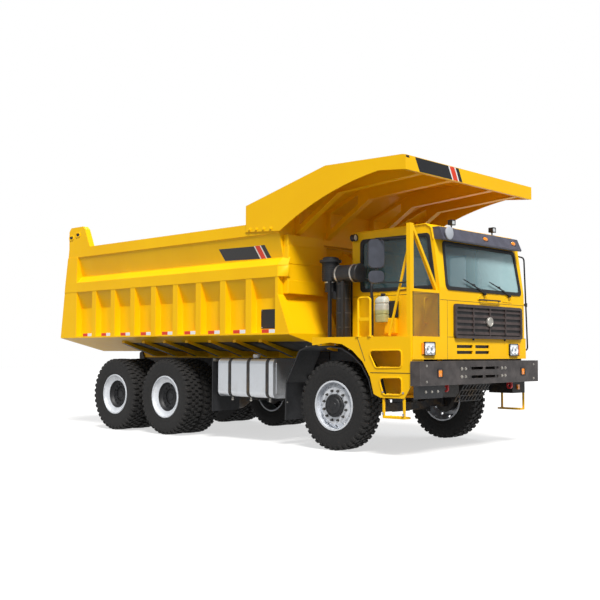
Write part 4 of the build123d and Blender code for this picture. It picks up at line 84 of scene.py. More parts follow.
BED_HALF = 1.795
BED_WALL_X = 1.665
BED_LOW_Z = 1.814
BED_REAR_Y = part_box("bed_shell")[1].y
RUB_LOW_Z = 2.74
RUB_TOP_Z = 2.93
RIB_PITCH = 0.646
RIB_WIDTH = 0.14
RIB_COUNT = 8


def from_axle(y):
    """Place along the truck of a distance behind the front axle."""
    return FRONT_AXLE_Y + y


def at(x, y, z):
    """Place whose y is a distance behind the front axle."""
    return Vector((x, from_axle(y), z))


LAST_RIB_Y = from_axle(6.26)
CANOPY_FRONT_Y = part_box("canopy")[0].y
REAR_AXLES = ((2, AXLE_2_Y), (3, AXLE_3_Y))
SIDES = (-1, 1)
HANDS = (("left", 1), ("right", -1))
LEFT, RIGHT = Vector((1, 0, 0)), Vector((-1, 0, 0))
BACK, AHEAD = Vector((0, 1, 0)), Vector((0, -1, 0))
UP, DOWN = Vector((0, 0, 1)), Vector((0, 0, -1))


# Finishes

class Value:
    """A socket of a finish, on which plain arithmetic adds Math nodes."""

    def __init__(self, finish, socket):
        self.finish = finish
        self.socket = socket

    def math(self, operation, *others):
        values = {i: other for i, other in enumerate((self, *others))}
        return self.finish.node("ShaderNodeMath", {"operation": operation}, values)

    def swapped(self, operation, other):
        return self.finish.node("ShaderNodeMath", {"operation": operation}, {0: other, 1: self})

    __add__ = partialmethod(math, "ADD")
    __radd__ = partialmethod(swapped, "ADD")
    __sub__ = partialmethod(math, "SUBTRACT")
    __rsub__ = partialmethod(swapped, "SUBTRACT")
    __mul__ = partialmethod(math, "MULTIPLY")
    __gt__ = partialmethod(math, "GREATER_THAN")
    __lt__ = partialmethod(math, "LESS_THAN")
    power = partialmethod(math, "POWER")
    low_of = partialmethod(math, "MINIMUM")
    high_of = partialmethod(math, "MAXIMUM")

    def between(self, low, high):
        """0 below the low value, 1 above the high one, smooth in the stretch between them."""
        inputs = {"Value": self, "From Min": low, "From Max": high}
        return self.finish.node("ShaderNodeMapRange", {"interpolation_type": "SMOOTHSTEP"}, inputs)


class Finish:
    """One material, built from nodes on Object coordinates."""

    def __init__(self, name):
        self.material = bpy.data.materials.new(name)
        self.material.use_nodes = True
        self.tree = self.material.node_tree
        self.tree.nodes.clear()
        self.place = self.node("ShaderNodeTexCoord", output="Object")

    def node(self, kind, settings=None, inputs=None, output=0):
        """Adds a node: its settings first, then the values or links of its sockets."""
        made = self.tree.nodes.new(kind)
        for key, value in (settings or {}).items():
            setattr(made, key, value)
        for key, value in (inputs or {}).items():
            if isinstance(value, Value):
                self.tree.links.new(value.socket, made.inputs[key])
            else:
                made.inputs[key].default_value = value
        return Value(self, made.outputs[output])

    def axis(self, name):
        """Place along one axis of the truck."""
        return self.node("ShaderNodeSeparateXYZ", inputs={0: self.place}, output=name)

    def noise(self, scale, detail=3, rough=0.5, stretch=(1, 1, 1)):
        """Cloudy pattern, as many spots to the metre as its scale says."""
        moved = self.node("ShaderNodeMapping", inputs={"Vector": self.place, "Scale": stretch})
        inputs = {"Vector": moved, "Scale": scale, "Detail": detail, "Roughness": rough}
        return self.node("ShaderNodeTexNoise", inputs=inputs)

    def mix(self, share, first, second):
        """Blend of two colours."""
        colours = {0: share, 6: first, 7: second}
        return self.node("ShaderNodeMix", {"data_type": "RGBA"}, colours, output=2)

    def edges(self, radius):
        """1 on the outside and inside edges, 0 on flat faces."""
        rounded = self.node("ShaderNodeBevel", {"samples": 4}, {"Radius": radius})
        flat = self.node("ShaderNodeNewGeometry", output="Normal")
        pair = {0: rounded, 1: flat}
        along = self.node("ShaderNodeVectorMath", {"operation": "DOT_PRODUCT"}, pair, output="Value")
        return (1 - along).between(0.02, 0.25)

    def bump(self, height, strength, distance=0.001):
        inputs = {"Height": height, "Strength": strength, "Distance": distance}
        return self.node("ShaderNodeBump", inputs=inputs)

    def surface(self, **sockets):
        """Closes the material with a Principled surface. Socket names are written with underscores."""
        inputs = {key.replace("_", " "): value for key, value in sockets.items()}
        return self.close(self.node("ShaderNodeBsdfPrincipled", inputs=inputs))

    def close(self, shader):
        """Ends the material in a shader."""
        out = self.tree.nodes.new("ShaderNodeOutputMaterial")
        self.tree.links.new(shader.socket, out.inputs["Surface"])
        return self.material


def tone(red, green, blue):
    """Linear colour of a screen colour given from 0 to 255."""
    def linear(c):
        c /= 255
        return c / 12.92 if c <= 0.04045 else ((c + 0.055) / 1.055) ** 2.4
    return (linear(red), linear(green), linear(blue), 1)


YELLOW = tone(254, 198, 0)
YELLOW_WORN = tone(255, 214, 40)
YELLOW_DEEP = tone(238, 170, 0)
DUST = tone(150, 122, 84)
BLACK_PAINT = tone(24, 24, 27)
BROWN_GREY = tone(40, 34, 33)
SILVER = tone(222, 225, 230)
RUBBER = tone(18, 17, 17)


def dust_near_ground(finish, top, share):
    """Thin road dust that fades out at a height, broken up by noise."""
    fade = 1 - finish.axis("Z").between(top * 0.3, top)
    cloud = finish.noise(5, 5, 0.65).between(0.42, 0.72)
    return fade * cloud * share


def painted(name, black=None):
    """Yellow gloss paint over steel plate: slow colour drift, paler edges, faint streaks and orange peel.

    black is a function that says where the piece is black instead: black paint on the steps and the grab
    tube, painted shade on the bed's underside.
    """
    finish = Finish(name)
    drift = finish.noise(0.7, 4)
    streaks = finish.noise(6, 4, 0.6, (1, 1, 0.06)).between(0.5, 0.8)
    colour = finish.mix(drift.between(0.3, 0.7) * 0.35, YELLOW, YELLOW_DEEP)
    colour = finish.mix(streaks * 0.12, colour, YELLOW_DEEP)
    colour = finish.mix(finish.edges(0.006) * 0.55, colour, YELLOW_WORN)
    if black:
        colour = finish.mix(black(finish), colour, BLACK_PAINT)
    ground = dust_near_ground(finish, 1.5, 0.2)
    colour = finish.mix(ground, colour, DUST)
    height = finish.noise(420, 2) * 0.12 + finish.noise(3.5, 2)
    return finish.surface(
        Base_Color=colour,
        Roughness=finish.noise(9, 4).between(0.2, 0.9) * 0.14 + ground * 0.4 + 0.42,
        Coat_Weight=0.06 - ground * 0.4,
        Coat_Roughness=0.15,
        Specular_IOR_Level=0.2,
        Normal=finish.bump(height, 0.25, 0.002),
    )


def steel_black():
    """Chassis paint: satin black, greyer on its edges and dusty low down."""
    finish = Finish("dark_paint")
    drift = finish.noise(4, 5)
    grey = tuple(c * 2.6 + 0.01 for c in BLACK_PAINT[:3]) + (1,)
    shade = finish.mix(drift.between(0.35, 0.75) * 0.5, BLACK_PAINT, grey)
    shade = finish.mix(finish.edges(0.005) * 0.5, shade, tone(112, 110, 108))
    ground = dust_near_ground(finish, 1.7, 0.45)
    shade = finish.mix(ground, shade, DUST)
    return finish.surface(
        Base_Color=shade,
        Roughness=finish.noise(30, 3).between(0.2, 0.8) * 0.2 + ground * 0.2 + 0.5,
        Normal=finish.bump(finish.noise(260, 3), 0.3, 0.0008),
    )


def moulded(name, colour, grain=700, roughness=0.5, lift=1.9):
    """Moulded plastic with a fine leather grain and paler worn edges."""
    finish = Finish(name)
    pale = tuple(min(1, c * lift + 0.012) for c in colour[:3]) + (1,)
    shade = finish.mix(finish.noise(7, 4).between(0.35, 0.75) * 0.4, colour, pale)
    shade = finish.mix(finish.edges(0.004) * 0.45, shade, pale)
    return finish.surface(
        Base_Color=shade,
        Roughness=finish.noise(40, 3).between(0.25, 0.8) * 0.16 + roughness,
        Normal=finish.bump(finish.noise(grain, 2, 0.6), 0.35, 0.0006),
    )


def level_plastic():
    """Milky blow-moulded plastic with the coolant showing through below its level."""
    finish = Finish("bottle_plastic")
    below = 1 - finish.axis("Z").between(2.15, 2.19)
    shade = finish.mix(below * 0.75, tone(196, 200, 190), tone(168, 172, 92))
    shade = finish.mix(finish.noise(18, 4).between(0.4, 0.75) * 0.25, shade, tone(150, 146, 124))
    return finish.surface(
        Base_Color=shade,
        Roughness=finish.noise(60, 3).between(0.2, 0.8) * 0.12 + 0.36,
        Normal=finish.bump(finish.noise(420, 2), 0.2, 0.0006),
    )


def rim_paint(name, centre_y, dark_radius):
    """Silver rim paint, black on the disc and hub inside a radius round the wheel's axis."""
    finish = Finish(name)
    away_y = finish.axis("Y") - centre_y
    away_z = finish.axis("Z") - AXLE_Z
    radius = (away_y * away_y + away_z * away_z).power(0.5)
    hub = radius < dark_radius
    silver = finish.mix(finish.noise(8, 5).between(0.35, 0.75) * 0.35, SILVER, tone(168, 172, 180))
    silver = finish.mix(finish.edges(0.004) * 0.4, silver, tone(236, 238, 240))
    black = finish.mix(finish.noise(14, 5).between(0.4, 0.7) * 0.5, BLACK_PAINT, tone(66, 62, 58))
    colour = finish.mix(hub, silver, black)
    grime = finish.noise(22, 6, 0.7).between(0.52, 0.74) * 0.35
    colour = finish.mix(grime, colour, tone(104, 92, 78))
    return finish.surface(
        Base_Color=colour,
        Metallic=0.35 - hub * 0.25,
        Roughness=finish.noise(50, 3).between(0.2, 0.8) * 0.15 + 0.34 + hub * 0.1,
        Normal=finish.bump(finish.noise(300, 2), 0.2, 0.0006),
    )


def rubber():
    """Tyre rubber: nearly black, matt, dusty brown on the tread and in rings on the wall."""
    finish = Finish("tyre_rubber")
    cloud = finish.noise(11, 6, 0.68).between(0.44, 0.72)
    colour = finish.mix(cloud * 0.35, RUBBER, tone(36, 33, 31))
    fine = finish.noise(90, 5, 0.7).between(0.5, 0.75)
    colour = finish.mix(fine * 0.18, colour, tone(58, 52, 46))
    colour = finish.mix(finish.edges(0.006) * 0.35, colour, tone(92, 88, 84))
    height = finish.noise(150, 5, 0.65) + finish.noise(900, 2) * 0.3
    return finish.surface(
        Base_Color=colour,
        Roughness=finish.noise(35, 4).between(0.2, 0.8) * 0.16 + 0.72,
        Normal=finish.bump(height, 0.45, 0.0015),
    )


def cast_metal(name, colour, metallic=0.6, roughness=0.45):
    """Bare or thinly painted cast metal, with a sandy skin and oily patches."""
    finish = Finish(name)
    dark = tuple(c * 0.45 for c in colour[:3]) + (1,)
    shade = finish.mix(finish.noise(9, 5, 0.6).between(0.4, 0.7) * 0.6, colour, dark)
    shade = finish.mix(finish.edges(0.003) * 0.4, shade, tone(150, 148, 145))
    return finish.surface(
        Base_Color=shade,
        Metallic=metallic,
        Roughness=finish.noise(45, 4).between(0.2, 0.8) * 0.25 + roughness,
        Normal=finish.bump(finish.noise(320, 4, 0.6), 0.4, 0.0008),
    )


def brushed_aluminium():
    """Tank sheet: long polishing marks round its girth, and faint dents."""
    finish = Finish("tank_aluminium")
    marks = finish.noise(60, 4, 0.7, (1, 24, 1))
    colour = finish.mix(marks.between(0.3, 0.7) * 0.4, tone(216, 219, 223), tone(176, 180, 186))
    colour = finish.mix(dust_near_ground(finish, 1.3, 0.35), colour, tone(150, 142, 130))
    return finish.surface(
        Base_Color=colour,
        Metallic=0.75,
        Roughness=marks.between(0.3, 0.8) * 0.16 + 0.27,
        Normal=finish.bump(marks * 0.4 + finish.noise(2.2, 2) * 2.5, 0.3, 0.001),
    )


def polished(name, colour, roughness=0.08, metallic=1.0):
    """Chrome, mirror face or lamp reflector, with faint smears."""
    finish = Finish(name)
    smears = finish.noise(25, 5, 0.6, (1, 1, 0.3)).between(0.45, 0.75)
    shade = finish.mix(smears * 0.25, colour, tuple(c * 0.8 for c in colour[:3]) + (1,))
    return finish.surface(
        Base_Color=shade,
        Metallic=metallic,
        Roughness=smears * 0.1 + roughness,
        Normal=finish.bump(finish.noise(5, 2), 0.05, 0.0005),
    )


def pane(name, colour, clear, pale=None, side_colour=None, panel_colour=None):
    """Tinted glass with a film of dust.

    With a pale colour it grows paler towards the truck's left, as a painted reflection and painted light seen
    through the cab. The cab's right window and the smoked panel before it have their own tints.
    """
    finish = Finish(name)
    film = finish.noise(3, 5, 0.6).between(0.4, 0.8)
    shade = finish.mix(film * 0.25, colour, tone(150, 160, 160))
    # painted reflection: the pane's colour turns pale towards the truck's left
    if pale:
        shade = finish.mix(finish.axis("X").between(-0.7, 1.3), colour, pale)
    alpha = 1 - clear + film * 0.06
    if side_colour:
        side = finish.axis("X") < CAB_RIGHT_X + 0.05
        panel = finish.axis("X") < CAB_RIGHT_X - 0.02
        shade = finish.mix(panel, finish.mix(side, shade, side_colour), panel_colour)
        alpha = alpha + side * 0.12 - panel * 0.24
    return finish.surface(
        Base_Color=shade,
        Roughness=film * 0.05 + 0.03,
        Alpha=alpha,
        IOR=1.5,
        Specular_IOR_Level=0.8,
        Normal=finish.bump(finish.noise(1.6, 2), 0.04, 0.002),
    )


def lens(name, colour, dark, glow=0.0, fluting=140):
    """Coloured lamp lens: ribbed inside, glossy outside."""
    finish = Finish(name)
    ribs = finish.noise(fluting, 2, 0.4, (1, 1, 0.15))
    shade = finish.mix(ribs.between(0.4, 0.65) * 0.6, colour, dark)
    return finish.surface(
        Base_Color=shade,
        Roughness=ribs * 0.06 + 0.08,
        Coat_Weight=0.6,
        Emission_Color=shade,
        Emission_Strength=glow,
        Normal=finish.bump(ribs, 0.4, 0.0015),
    )


def flat_marking(name, colour):
    """Stuck-on marking film, nearly flat, a little scuffed."""
    finish = Finish(name)
    scuffs = finish.noise(40, 6, 0.7).between(0.55, 0.75)
    shade = finish.mix(scuffs * 0.25, colour, tuple(min(1, c + 0.12) for c in colour[:3]) + (1,))
    return finish.surface(
        Base_Color=shade,
        Roughness=scuffs * 0.2 + 0.38,
        Normal=finish.bump(finish.noise(200, 2), 0.1, 0.0004),
    )


def seat_cloth():
    """Woven seat cover."""
    finish = Finish("seat_fabric")
    weave_x = finish.noise(900, 1, 0.5, (1, 0.1, 1))
    weave_y = finish.noise(900, 1, 0.5, (0.1, 1, 1))
    threads = weave_x.high_of(weave_y)
    shade = finish.mix(threads.between(0.4, 0.7), tone(44, 46, 52), tone(82, 86, 96))
    return finish.surface(
        Base_Color=shade,
        Roughness=threads * 0.1 + 0.82,
        Sheen_Weight=0.3,
        Normal=finish.bump(threads, 0.6, 0.001),
    )


def bumper_paint():
    """Brown-grey bumper paint, with the towing hooks under it in red."""
    finish = Finish("brown_grey_paint")
    shade = finish.mix(finish.noise(5, 5).between(0.35, 0.7) * 0.4, BROWN_GREY, tone(92, 84, 82))
    shade = finish.mix(finish.edges(0.006) * 0.5, shade, tone(150, 144, 140))
    hook = finish.axis("Z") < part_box("bumper")[0].z + 0.105
    red = finish.mix(finish.noise(30, 4).between(0.4, 0.7) * 0.5, tone(190, 18, 24), tone(120, 8, 12))
    shade = finish.mix(hook, shade, red)
    return finish.surface(
        Base_Color=shade,
        Roughness=finish.noise(26, 3).between(0.2, 0.8) * 0.16 + 0.4,
        Coat_Weight=0.1,
        Normal=finish.bump(finish.noise(380, 3), 0.3, 0.0006),
    )


def lower_steps(finish):
    """The step frames below the platform."""
    return (finish.axis("Z") > 0.839) * (finish.axis("Z") < 1.4)


def underside_painted_shade(finish):
    """Painted shade: black on the bed's faces that look down, low down and ahead of its tail."""
    facing = finish.node("ShaderNodeTexCoord", output="Normal")
    down = finish.node("ShaderNodeSeparateXYZ", inputs={0: facing}, output="Z") < -0.1
    return down * (finish.axis("Z") < 1.69) * (finish.axis("Y") < from_axle(5.9))


def left_grab_tube(finish):
    """The tube at the left front of the cab."""
    return finish.axis("X") > 1.0


yellow = painted("yellow_paint")
step_paint = painted("step_paint", lower_steps)
# the bed's faces that look down are painted black as painted shade
bed_paint_and_painted_shade = painted("bed_paint_and_painted_shade", underside_painted_shade)
rail_paint = painted("rail_paint", left_grab_tube)
chassis_black = steel_black()
bumper_grey = bumper_paint()
visor_grey = moulded("visor_plastic", tone(70, 70, 82), 500, 0.42)
plastic_black = moulded("black_plastic", tone(20, 21, 24))
trim_rubber = moulded("trim_rubber", tone(20, 20, 22), 900, 0.62)
grille_brown = moulded("grille_plastic", tone(52, 42, 40), 600, 0.42, 2.6)
plastic_white = moulded("white_plastic", tone(214, 210, 196), 500, 0.4, 1.05)
tyre_finish = rubber()
iron = cast_metal("cast_iron", tone(78, 76, 74))
zinc = cast_metal("zinc_bolts", tone(196, 192, 184), 0.85, 0.32)
aluminium = brushed_aluminium()
chrome = polished("hoist_chrome", tone(225, 227, 230))
mirror_face = polished("mirror_glass", tone(150, 160, 170), 0.05)
# the pale tone paints the windscreen's reflection and the light seen through the cab
screen_glass = pane("window_glass", tone(92, 122, 130), 0.5, tone(196, 232, 236), tone(70, 94, 98),
                    tone(112, 94, 52))
door_pane = pane("door_pane", tone(38, 50, 54), 0.38)
lamp_clear = lens("lamp_glass", tone(226, 230, 232), tone(150, 156, 160), 0.0, 90)
lamp_body = polished("lamp_reflector", tone(236, 239, 243), 0.3, 0.2)
amber = lens("amber_plastic", tone(255, 150, 10), tone(190, 84, 0), 0.12)
red_lens = lens("red_plastic", tone(205, 16, 18), tone(120, 4, 8), 0.08)
white_film = flat_marking("white_marking", tone(235, 235, 232))
red_film = flat_marking("red_marking", tone(222, 58, 20))
black_film = flat_marking("black_marking", tone(18, 18, 20))
cloth = seat_cloth()
bottle_plastic = level_plastic()
interior_grey = moulded("interior_grey", tone(74, 78, 82), 600, 0.6, 1.5)
front_rim = rim_paint("rim_paint", FRONT_AXLE_Y, FRONT_HUB_RADIUS)
rear_rim_2 = rim_paint("rim_paint_axle2", AXLE_2_Y, REAR_DISH_RADIUS)
rear_rim_3 = rim_paint("rim_paint_axle3", AXLE_3_Y, REAR_DISH_RADIUS)
mirror_back = moulded("mirror_housing", tone(52, 55, 64), 500, 0.34)
mirror_silver = moulded("round_mirror_paint", tone(176, 180, 188), 500, 0.3, 1.05)

NODE_FINISHES = (
    (yellow, ("cab_shell", "door_left", "deck_right", "canopy", "tailgate")),
    (rail_paint, ("platform_rails",)),
    (bed_paint_and_painted_shade, ("bed_shell", "bed_ribs")),
    (step_paint, ("deck_left",)),
    (chassis_black, ("frame", "rear_member", "front_axle", "front_springs", "rear_axles", "rear_suspension",
                     "radiator_guard", "tank_brackets", "hydraulic_tank", "knuckle_left", "knuckle_right",
                     "tie_rod", "radiator", "hoist_barrel")),
    (iron, ("driveline",)),
    (bumper_grey, ("bumper",)),
    (visor_grey, ("visor",)),
    (grille_brown, ("grille",)),
    (plastic_black, ("mudguards", "air_cleaner", "mirrors", "mirror_left", "wipers", "work_lamps",
                     "cab_interior")),
    (plastic_white, ("coolant_bottle",)),
    (aluminium, ("fuel_tank",)),
    (chrome, ("hoist_stage1", "hoist_stage2", "hoist_stage3")),
    (screen_glass, ("cab_glass",)),
    (door_pane, ("door_glass",)),
    (lamp_body, ("headlamps",)),
    (amber, ("amber_lamps",)),
    (red_lens, ("tail_lamps",)),
    (tyre_finish, ("tyre_front_left", "tyre_front_right", "tyres_axle2_left", "tyres_axle2_right",
                   "tyres_axle3_left", "tyres_axle3_right")),
    (front_rim, ("rim_front_left", "rim_front_right")),
    (rear_rim_2, ("rims_axle2_left", "rims_axle2_right")),
    (rear_rim_3, ("rims_axle3_left", "rims_axle3_right")),
)


def dress_nodes():
    """Gives every node of the frame its finish."""
    for finish, names in NODE_FINISHES:
        for name in names:
            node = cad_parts[name]
            if not node.material_slots:
                node.data.materials.append(finish)
            for slot in node.material_slots:
                slot.material = finish


# Shapes

class Shape:
    """A mesh under construction."""

    def __init__(self):
        self.mesh = bmesh.new()

    def bevel(self, edges, width, segments):
        """Rounds the given edges."""
        bmesh.ops.bevel(self.mesh, geom=list(edges), offset=width, offset_type="OFFSET", segments=segments,
                        profile=0.5, affect="EDGES", material=-1, clamp_overlap=True)

    def bevel_between(self, verts, width):
        """Breaks every edge between the given corners."""
        if width > 0:
            inside = set(verts)
            self.bevel({e for v in verts for e in v.link_edges if inside.issuperset(e.verts)}, width, 1)

    def block(self, start, end, bevel=0.003, turn=None):
        """Block between two opposite corners, turned about its middle if a rotation is given."""
        low, high = (Vector(map(pick, start, end)) for pick in (min, max))
        place = Matrix.Translation((low + high) / 2) @ (turn or Matrix.Identity(4))
        place = place @ Matrix.Diagonal((*(high - low), 1))
        made = bmesh.ops.create_cube(self.mesh, size=1, matrix=place)
        self.bevel_between(made["verts"], bevel)

    def round_bar(self, start, end, radius, segments=16, end_radius=None, bevel=0.0):
        """Round bar or cone between two points."""
        start, end = Vector(start), Vector(end)
        along = end - start
        turn = along.to_track_quat("Z", "Y").to_matrix().to_4x4()
        place = Matrix.Translation((start + end) / 2) @ turn
        made = bmesh.ops.create_cone(self.mesh, cap_ends=True, segments=segments, radius1=radius,
                                     radius2=radius if end_radius is None else end_radius,
                                     depth=along.length, matrix=place)
        if bevel:
            rims = {e for v in made["verts"] for e in v.link_edges
                    if any(len(f.verts) > 4 for f in e.link_faces)}
            self.bevel(rims, bevel, 2)

    def bolt(self, place, outward, radius):
        """Hexagon head on a washer."""
        place, outward = Vector(place), Vector(outward).normalized()
        self.round_bar(place - outward * radius * 0.3, place + outward * radius * 0.25, radius * 1.5, 14)
        self.round_bar(place, place + outward * radius, radius, 6, radius * 0.93)

    def bolts(self, places, outward, radius):
        """A bolt at each place."""
        for place in places:
            self.bolt(place, outward, radius)

    def bolt_ring(self, centre, axis, count, radius, lift, size):
        """Bolts on a circle round an axis, lifted along it."""
        for d in directions(axis, count):
            self.bolt(Vector(centre) + d * radius + axis * lift, axis, size)

    def lathe(self, profile, centre, axis, steps=48):
        """Turned piece: (along, radius) points spun about an axis through the centre."""
        centre, axis = Vector(centre), Vector(axis).normalized()
        side = axis.orthogonal().normalized()
        corners = [self.mesh.verts.new(centre + axis * along + side * radius) for along, radius in profile]
        edges = [self.mesh.edges.new(pair) for pair in zip(corners, corners[1:])]
        bmesh.ops.spin(self.mesh, geom=corners + edges, cent=centre, axis=axis, dvec=(0, 0, 0),
                       angle=2 * math.pi, steps=steps, use_merge=True, use_duplicate=False)

    def band(self, centre, axis, inner, outer, width, steps):
        """Flat ring round an axis."""
        self.lathe(((0, inner), (0, outer), (width, outer), (width, inner), (0, inner)), centre, axis, steps)

    def raised(self, outline, lift):
        """Plate between an outline and its copy moved by a lift; returns the corners of both."""
        corners = [self.mesh.verts.new(p) for p in outline]
        face = self.mesh.faces.new(corners)
        made = bmesh.ops.extrude_face_region(self.mesh, geom=[face])["geom"]
        moved = [v for v in made if isinstance(v, bmesh.types.BMVert)]
        bmesh.ops.translate(self.mesh, verts=moved, vec=lift)
        return corners, moved

    def prism(self, outline, direction, depth, bevel=0.0):
        """Plate: corners of one face, and how far it goes along a direction."""
        corners, moved = self.raised(outline, Vector(direction).normalized() * depth)
        self.bevel_between(corners + moved, bevel)

    def ring_plate(self, outer, inner, direction, depth, bevel=0.0):
        """Flat ring between two outlines of as many points each, its front edges rounded."""
        lift = Vector(direction).normalized() * depth
        loops = [[self.mesh.verts.new(Vector(p) + shift) for p in outline]
                 for outline, shift in ((outer, Vector()), (outer, lift), (inner, lift), (inner, Vector()))]
        for first, second in zip(loops, loops[1:] + loops[:1]):
            for a, b, c, d in zip(first, first[1:] + first[:1], second[1:] + second[:1], second):
                self.mesh.faces.new((a, b, c, d))
        if bevel:
            rims = [self.mesh.edges.get((a, b)) for loop in loops[1:3] for a,
                    b in zip(loop, loop[1:] + loop[:1])]
            self.bevel(rims, bevel, 2)

    def border(self, corners, outer, inner, direction, depth, bevel):
        """Ring plate round an opening; outer and inner are each a margin from it and a corner radius."""
        loops = [rounded_loop(grown(corners, margin), radius) for margin, radius in (outer, inner)]
        self.ring_plate(*loops, direction, depth, bevel)

    def pipe(self, points, radius, segments=12):
        """Round pipe along a line of points, its ends closed."""
        points = [Vector(p) for p in points]
        heading = (points[1] - points[0]).normalized()
        place = Matrix.Translation(points[0]) @ heading.to_track_quat("Z", "Y").to_matrix().to_4x4()
        made = bmesh.ops.create_circle(self.mesh, cap_ends=True, radius=radius, segments=segments,
                                       matrix=place)
        face = made["verts"][0].link_faces[0]
        for i, (last, here) in enumerate(zip(points, points[1:])):
            before = (here - last).normalized()
            after = (points[i + 2] - here).normalized() if i + 2 < len(points) else before
            aim = (before + after).normalized()
            made = bmesh.ops.extrude_face_region(self.mesh, geom=[face])["geom"]
            face = next(f for f in made if isinstance(f, bmesh.types.BMFace))
            moved = [v for v in made if isinstance(v, bmesh.types.BMVert)]
            bmesh.ops.translate(self.mesh, verts=moved, vec=here - last)
            turn = heading.rotation_difference(aim).to_matrix()
            bmesh.ops.rotate(self.mesh, cent=here, matrix=turn, verts=moved)
            heading = aim

    def bead(self, *points, radius=0.006):
        """Weld bead along a line."""
        self.pipe(points, radius, 6)

    def piece(self, name, finish, body="chassis", slot=None, smooth=35):
        """Closes the mesh and hangs it on its body."""
        bmesh.ops.remove_doubles(self.mesh, verts=self.mesh.verts, dist=1e-5)
        bmesh.ops.dissolve_degenerate(self.mesh, edges=self.mesh.edges, dist=1e-6)
        bmesh.ops.recalc_face_normals(self.mesh, faces=self.mesh.faces)
        data = bpy.data.meshes.new(name)
        self.mesh.to_mesh(data)
        self.mesh.free()
        data.shade_smooth()
        data.set_sharp_from_angle(angle=math.radians(smooth))
        data.materials.append(finish)
        made = bpy.data.objects.new(name, data)
        bpy.context.scene.collection.objects.link(made)
        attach(made, body)
        return made


def directions(axis, count):
    """Directions at equal steps round an axis."""
    axis = Vector(axis).normalized()
    side = axis.orthogonal().normalized()
    return [Matrix.Rotation(2 * math.pi * i / count, 3, axis) @ side for i in range(count)]


def rectangle(low, high):
    """Corners of an upright rectangle between two opposite corners."""
    (x0, y0, z0), (x1, y1, z1) = low, high
    return [Vector(p) for p in ((x0, y0, z0), (x1, y1, z0), (x1, y1, z1), (x0, y0, z1))]


def corner_arc(before, corner, after, radius, steps):
    """Points of the arc that rounds one corner."""
    into, out = (before - corner).normalized(), (after - corner).normalized()
    half = into.angle(out) / 2
    room = 0.48 * min((before - corner).length, (after - corner).length)
    reach = min(radius / math.tan(half), room)
    radius = reach * math.tan(half)
    centre = corner + (into + out).normalized() * (radius / math.sin(half))
    first, last = corner + into * reach - centre, corner + out * reach - centre
    turn = first.rotation_difference(last)
    return [centre + Matrix.Rotation(turn.angle * i / steps, 3, turn.axis) @ first for i in range(steps + 1)]


def rounded(points, radius, steps=6):
    """Line of points with each inner corner turned into an arc."""
    points = [Vector(p) for p in points]
    line = [points[0]]
    for before, corner, after in zip(points, points[1:], points[2:]):
        line += corner_arc(before, corner, after, radius, steps)
    return line + [points[-1]]


def rounded_loop(points, radius, steps=5):
    """Closed outline with every corner turned into an arc."""
    points = [Vector(p) for p in points]
    loop = []
    for before, corner, after in zip(points[-1:] + points[:-1], points, points[1:] + points[:1]):
        loop += corner_arc(before, corner, after, radius, steps)
    return loop


def grown(points, margin):
    """Flat outline with its edges moved outwards by a margin."""
    points = [Vector(p) for p in points]
    across = geometry.normal(points)
    moved = []
    for before, corner, after in zip(points[-1:] + points[:-1], points, points[1:] + points[:1]):
        first = (corner - before).cross(across).normalized()
        second = (after - corner).cross(across).normalized()
        moved.append(corner + (first + second) * (margin / (1 + first.dot(second))))
    return moved


# Wheels

LUG_PITCHES = 40
LUG_STEP = 2 * math.pi / LUG_PITCHES
# columns: distance across from the tyre's middle plane, radius
TYRE_WALL = ((0.128, 0.378), (0.15, 0.378), (0.158, 0.392), (0.163, 0.408), (0.168, 0.428),
             (0.1715, 0.434), (0.1725, 0.442), (0.171, 0.45), (0.179, 0.478), (0.1855, 0.52),
             (0.1875, 0.56), (0.1862, 0.596), (0.184, 0.606), (0.185, 0.612), (0.182, 0.62),
             (0.176, 0.638), (0.164, 0.652), (0.13, 0.66), (0.07, 0.664), (0.0, 0.665))
# columns: distance across and along the tread of each corner, seen from above
SHOULDER_LUG = ((0.078, -0.03), (0.12, -0.036), (0.168, -0.034), (0.168, 0.03), (0.126, 0.034), (0.086, 0.03))
MIDDLE_LUG = ((0.006, -0.022), (0.04, -0.032), (0.07, -0.03), (0.07, 0.026), (0.046, 0.032), (0.006, 0.026))
BUTTRESS = ((0.16, -0.026), (0.1895, -0.022), (0.1895, 0.018), (0.16, 0.022))


def joined_to(corner):
    """All corners joined to one corner."""
    found, waiting = {corner}, [corner]
    while waiting:
        for edge in waiting.pop().link_edges:
            new = [v for v in edge.verts if v not in found]
            found.update(new)
            waiting.extend(new)
    return list(found)


def carry_round(shape, corner, shift):
    """Turns one lug about the X axis by a shift, then repeats it round the tread."""
    lug = joined_to(corner)
    bmesh.ops.rotate(shape.mesh, cent=(0, 0, 0), matrix=Matrix.Rotation(shift, 3, "X"), verts=lug)
    faces = list({f for v in lug for f in v.link_faces})
    edges = list({e for v in lug for e in v.link_edges})
    bmesh.ops.spin(shape.mesh, geom=lug + edges + faces, cent=(0, 0, 0), axis=(1, 0, 0), dvec=(0, 0, 0),
                   angle=LUG_STEP * (LUG_PITCHES - 1), steps=LUG_PITCHES - 1, use_duplicate=True)


def add_lugs(shape, outline, side, shift, top, depth):
    """One row of lugs with tapered, bevelled tops."""
    low = TYRE_RADIUS - depth
    corners, tops = shape.raised([(side * across, along, low) for across, along in outline],
                                 (0, 0, top - low))
    middle = sum((v.co for v in tops), Vector()) / len(tops)
    bmesh.ops.scale(shape.mesh, verts=tops, vec=(0.93, 0.88, 1), space=Matrix.Translation(-middle))
    upper = {e for v in tops for e in v.link_edges if all(w in tops for w in e.verts)}
    shape.bevel(upper, 0.003, 1)
    carry_round(shape, corners[0], shift)


def add_buttresses(shape, side, shift):
    """Blocks on the shoulder, below each outer lug."""
    corners, tops = shape.raised([(side * across, along, 0.612) for across, along in BUTTRESS], (0, 0, 0.06))
    outer = [v for v in tops if abs(v.co.x) > 0.18]
    bmesh.ops.translate(shape.mesh, verts=outer, vec=(-side * 0.012, 0, 0))
    carry_round(shape, corners[0], shift)


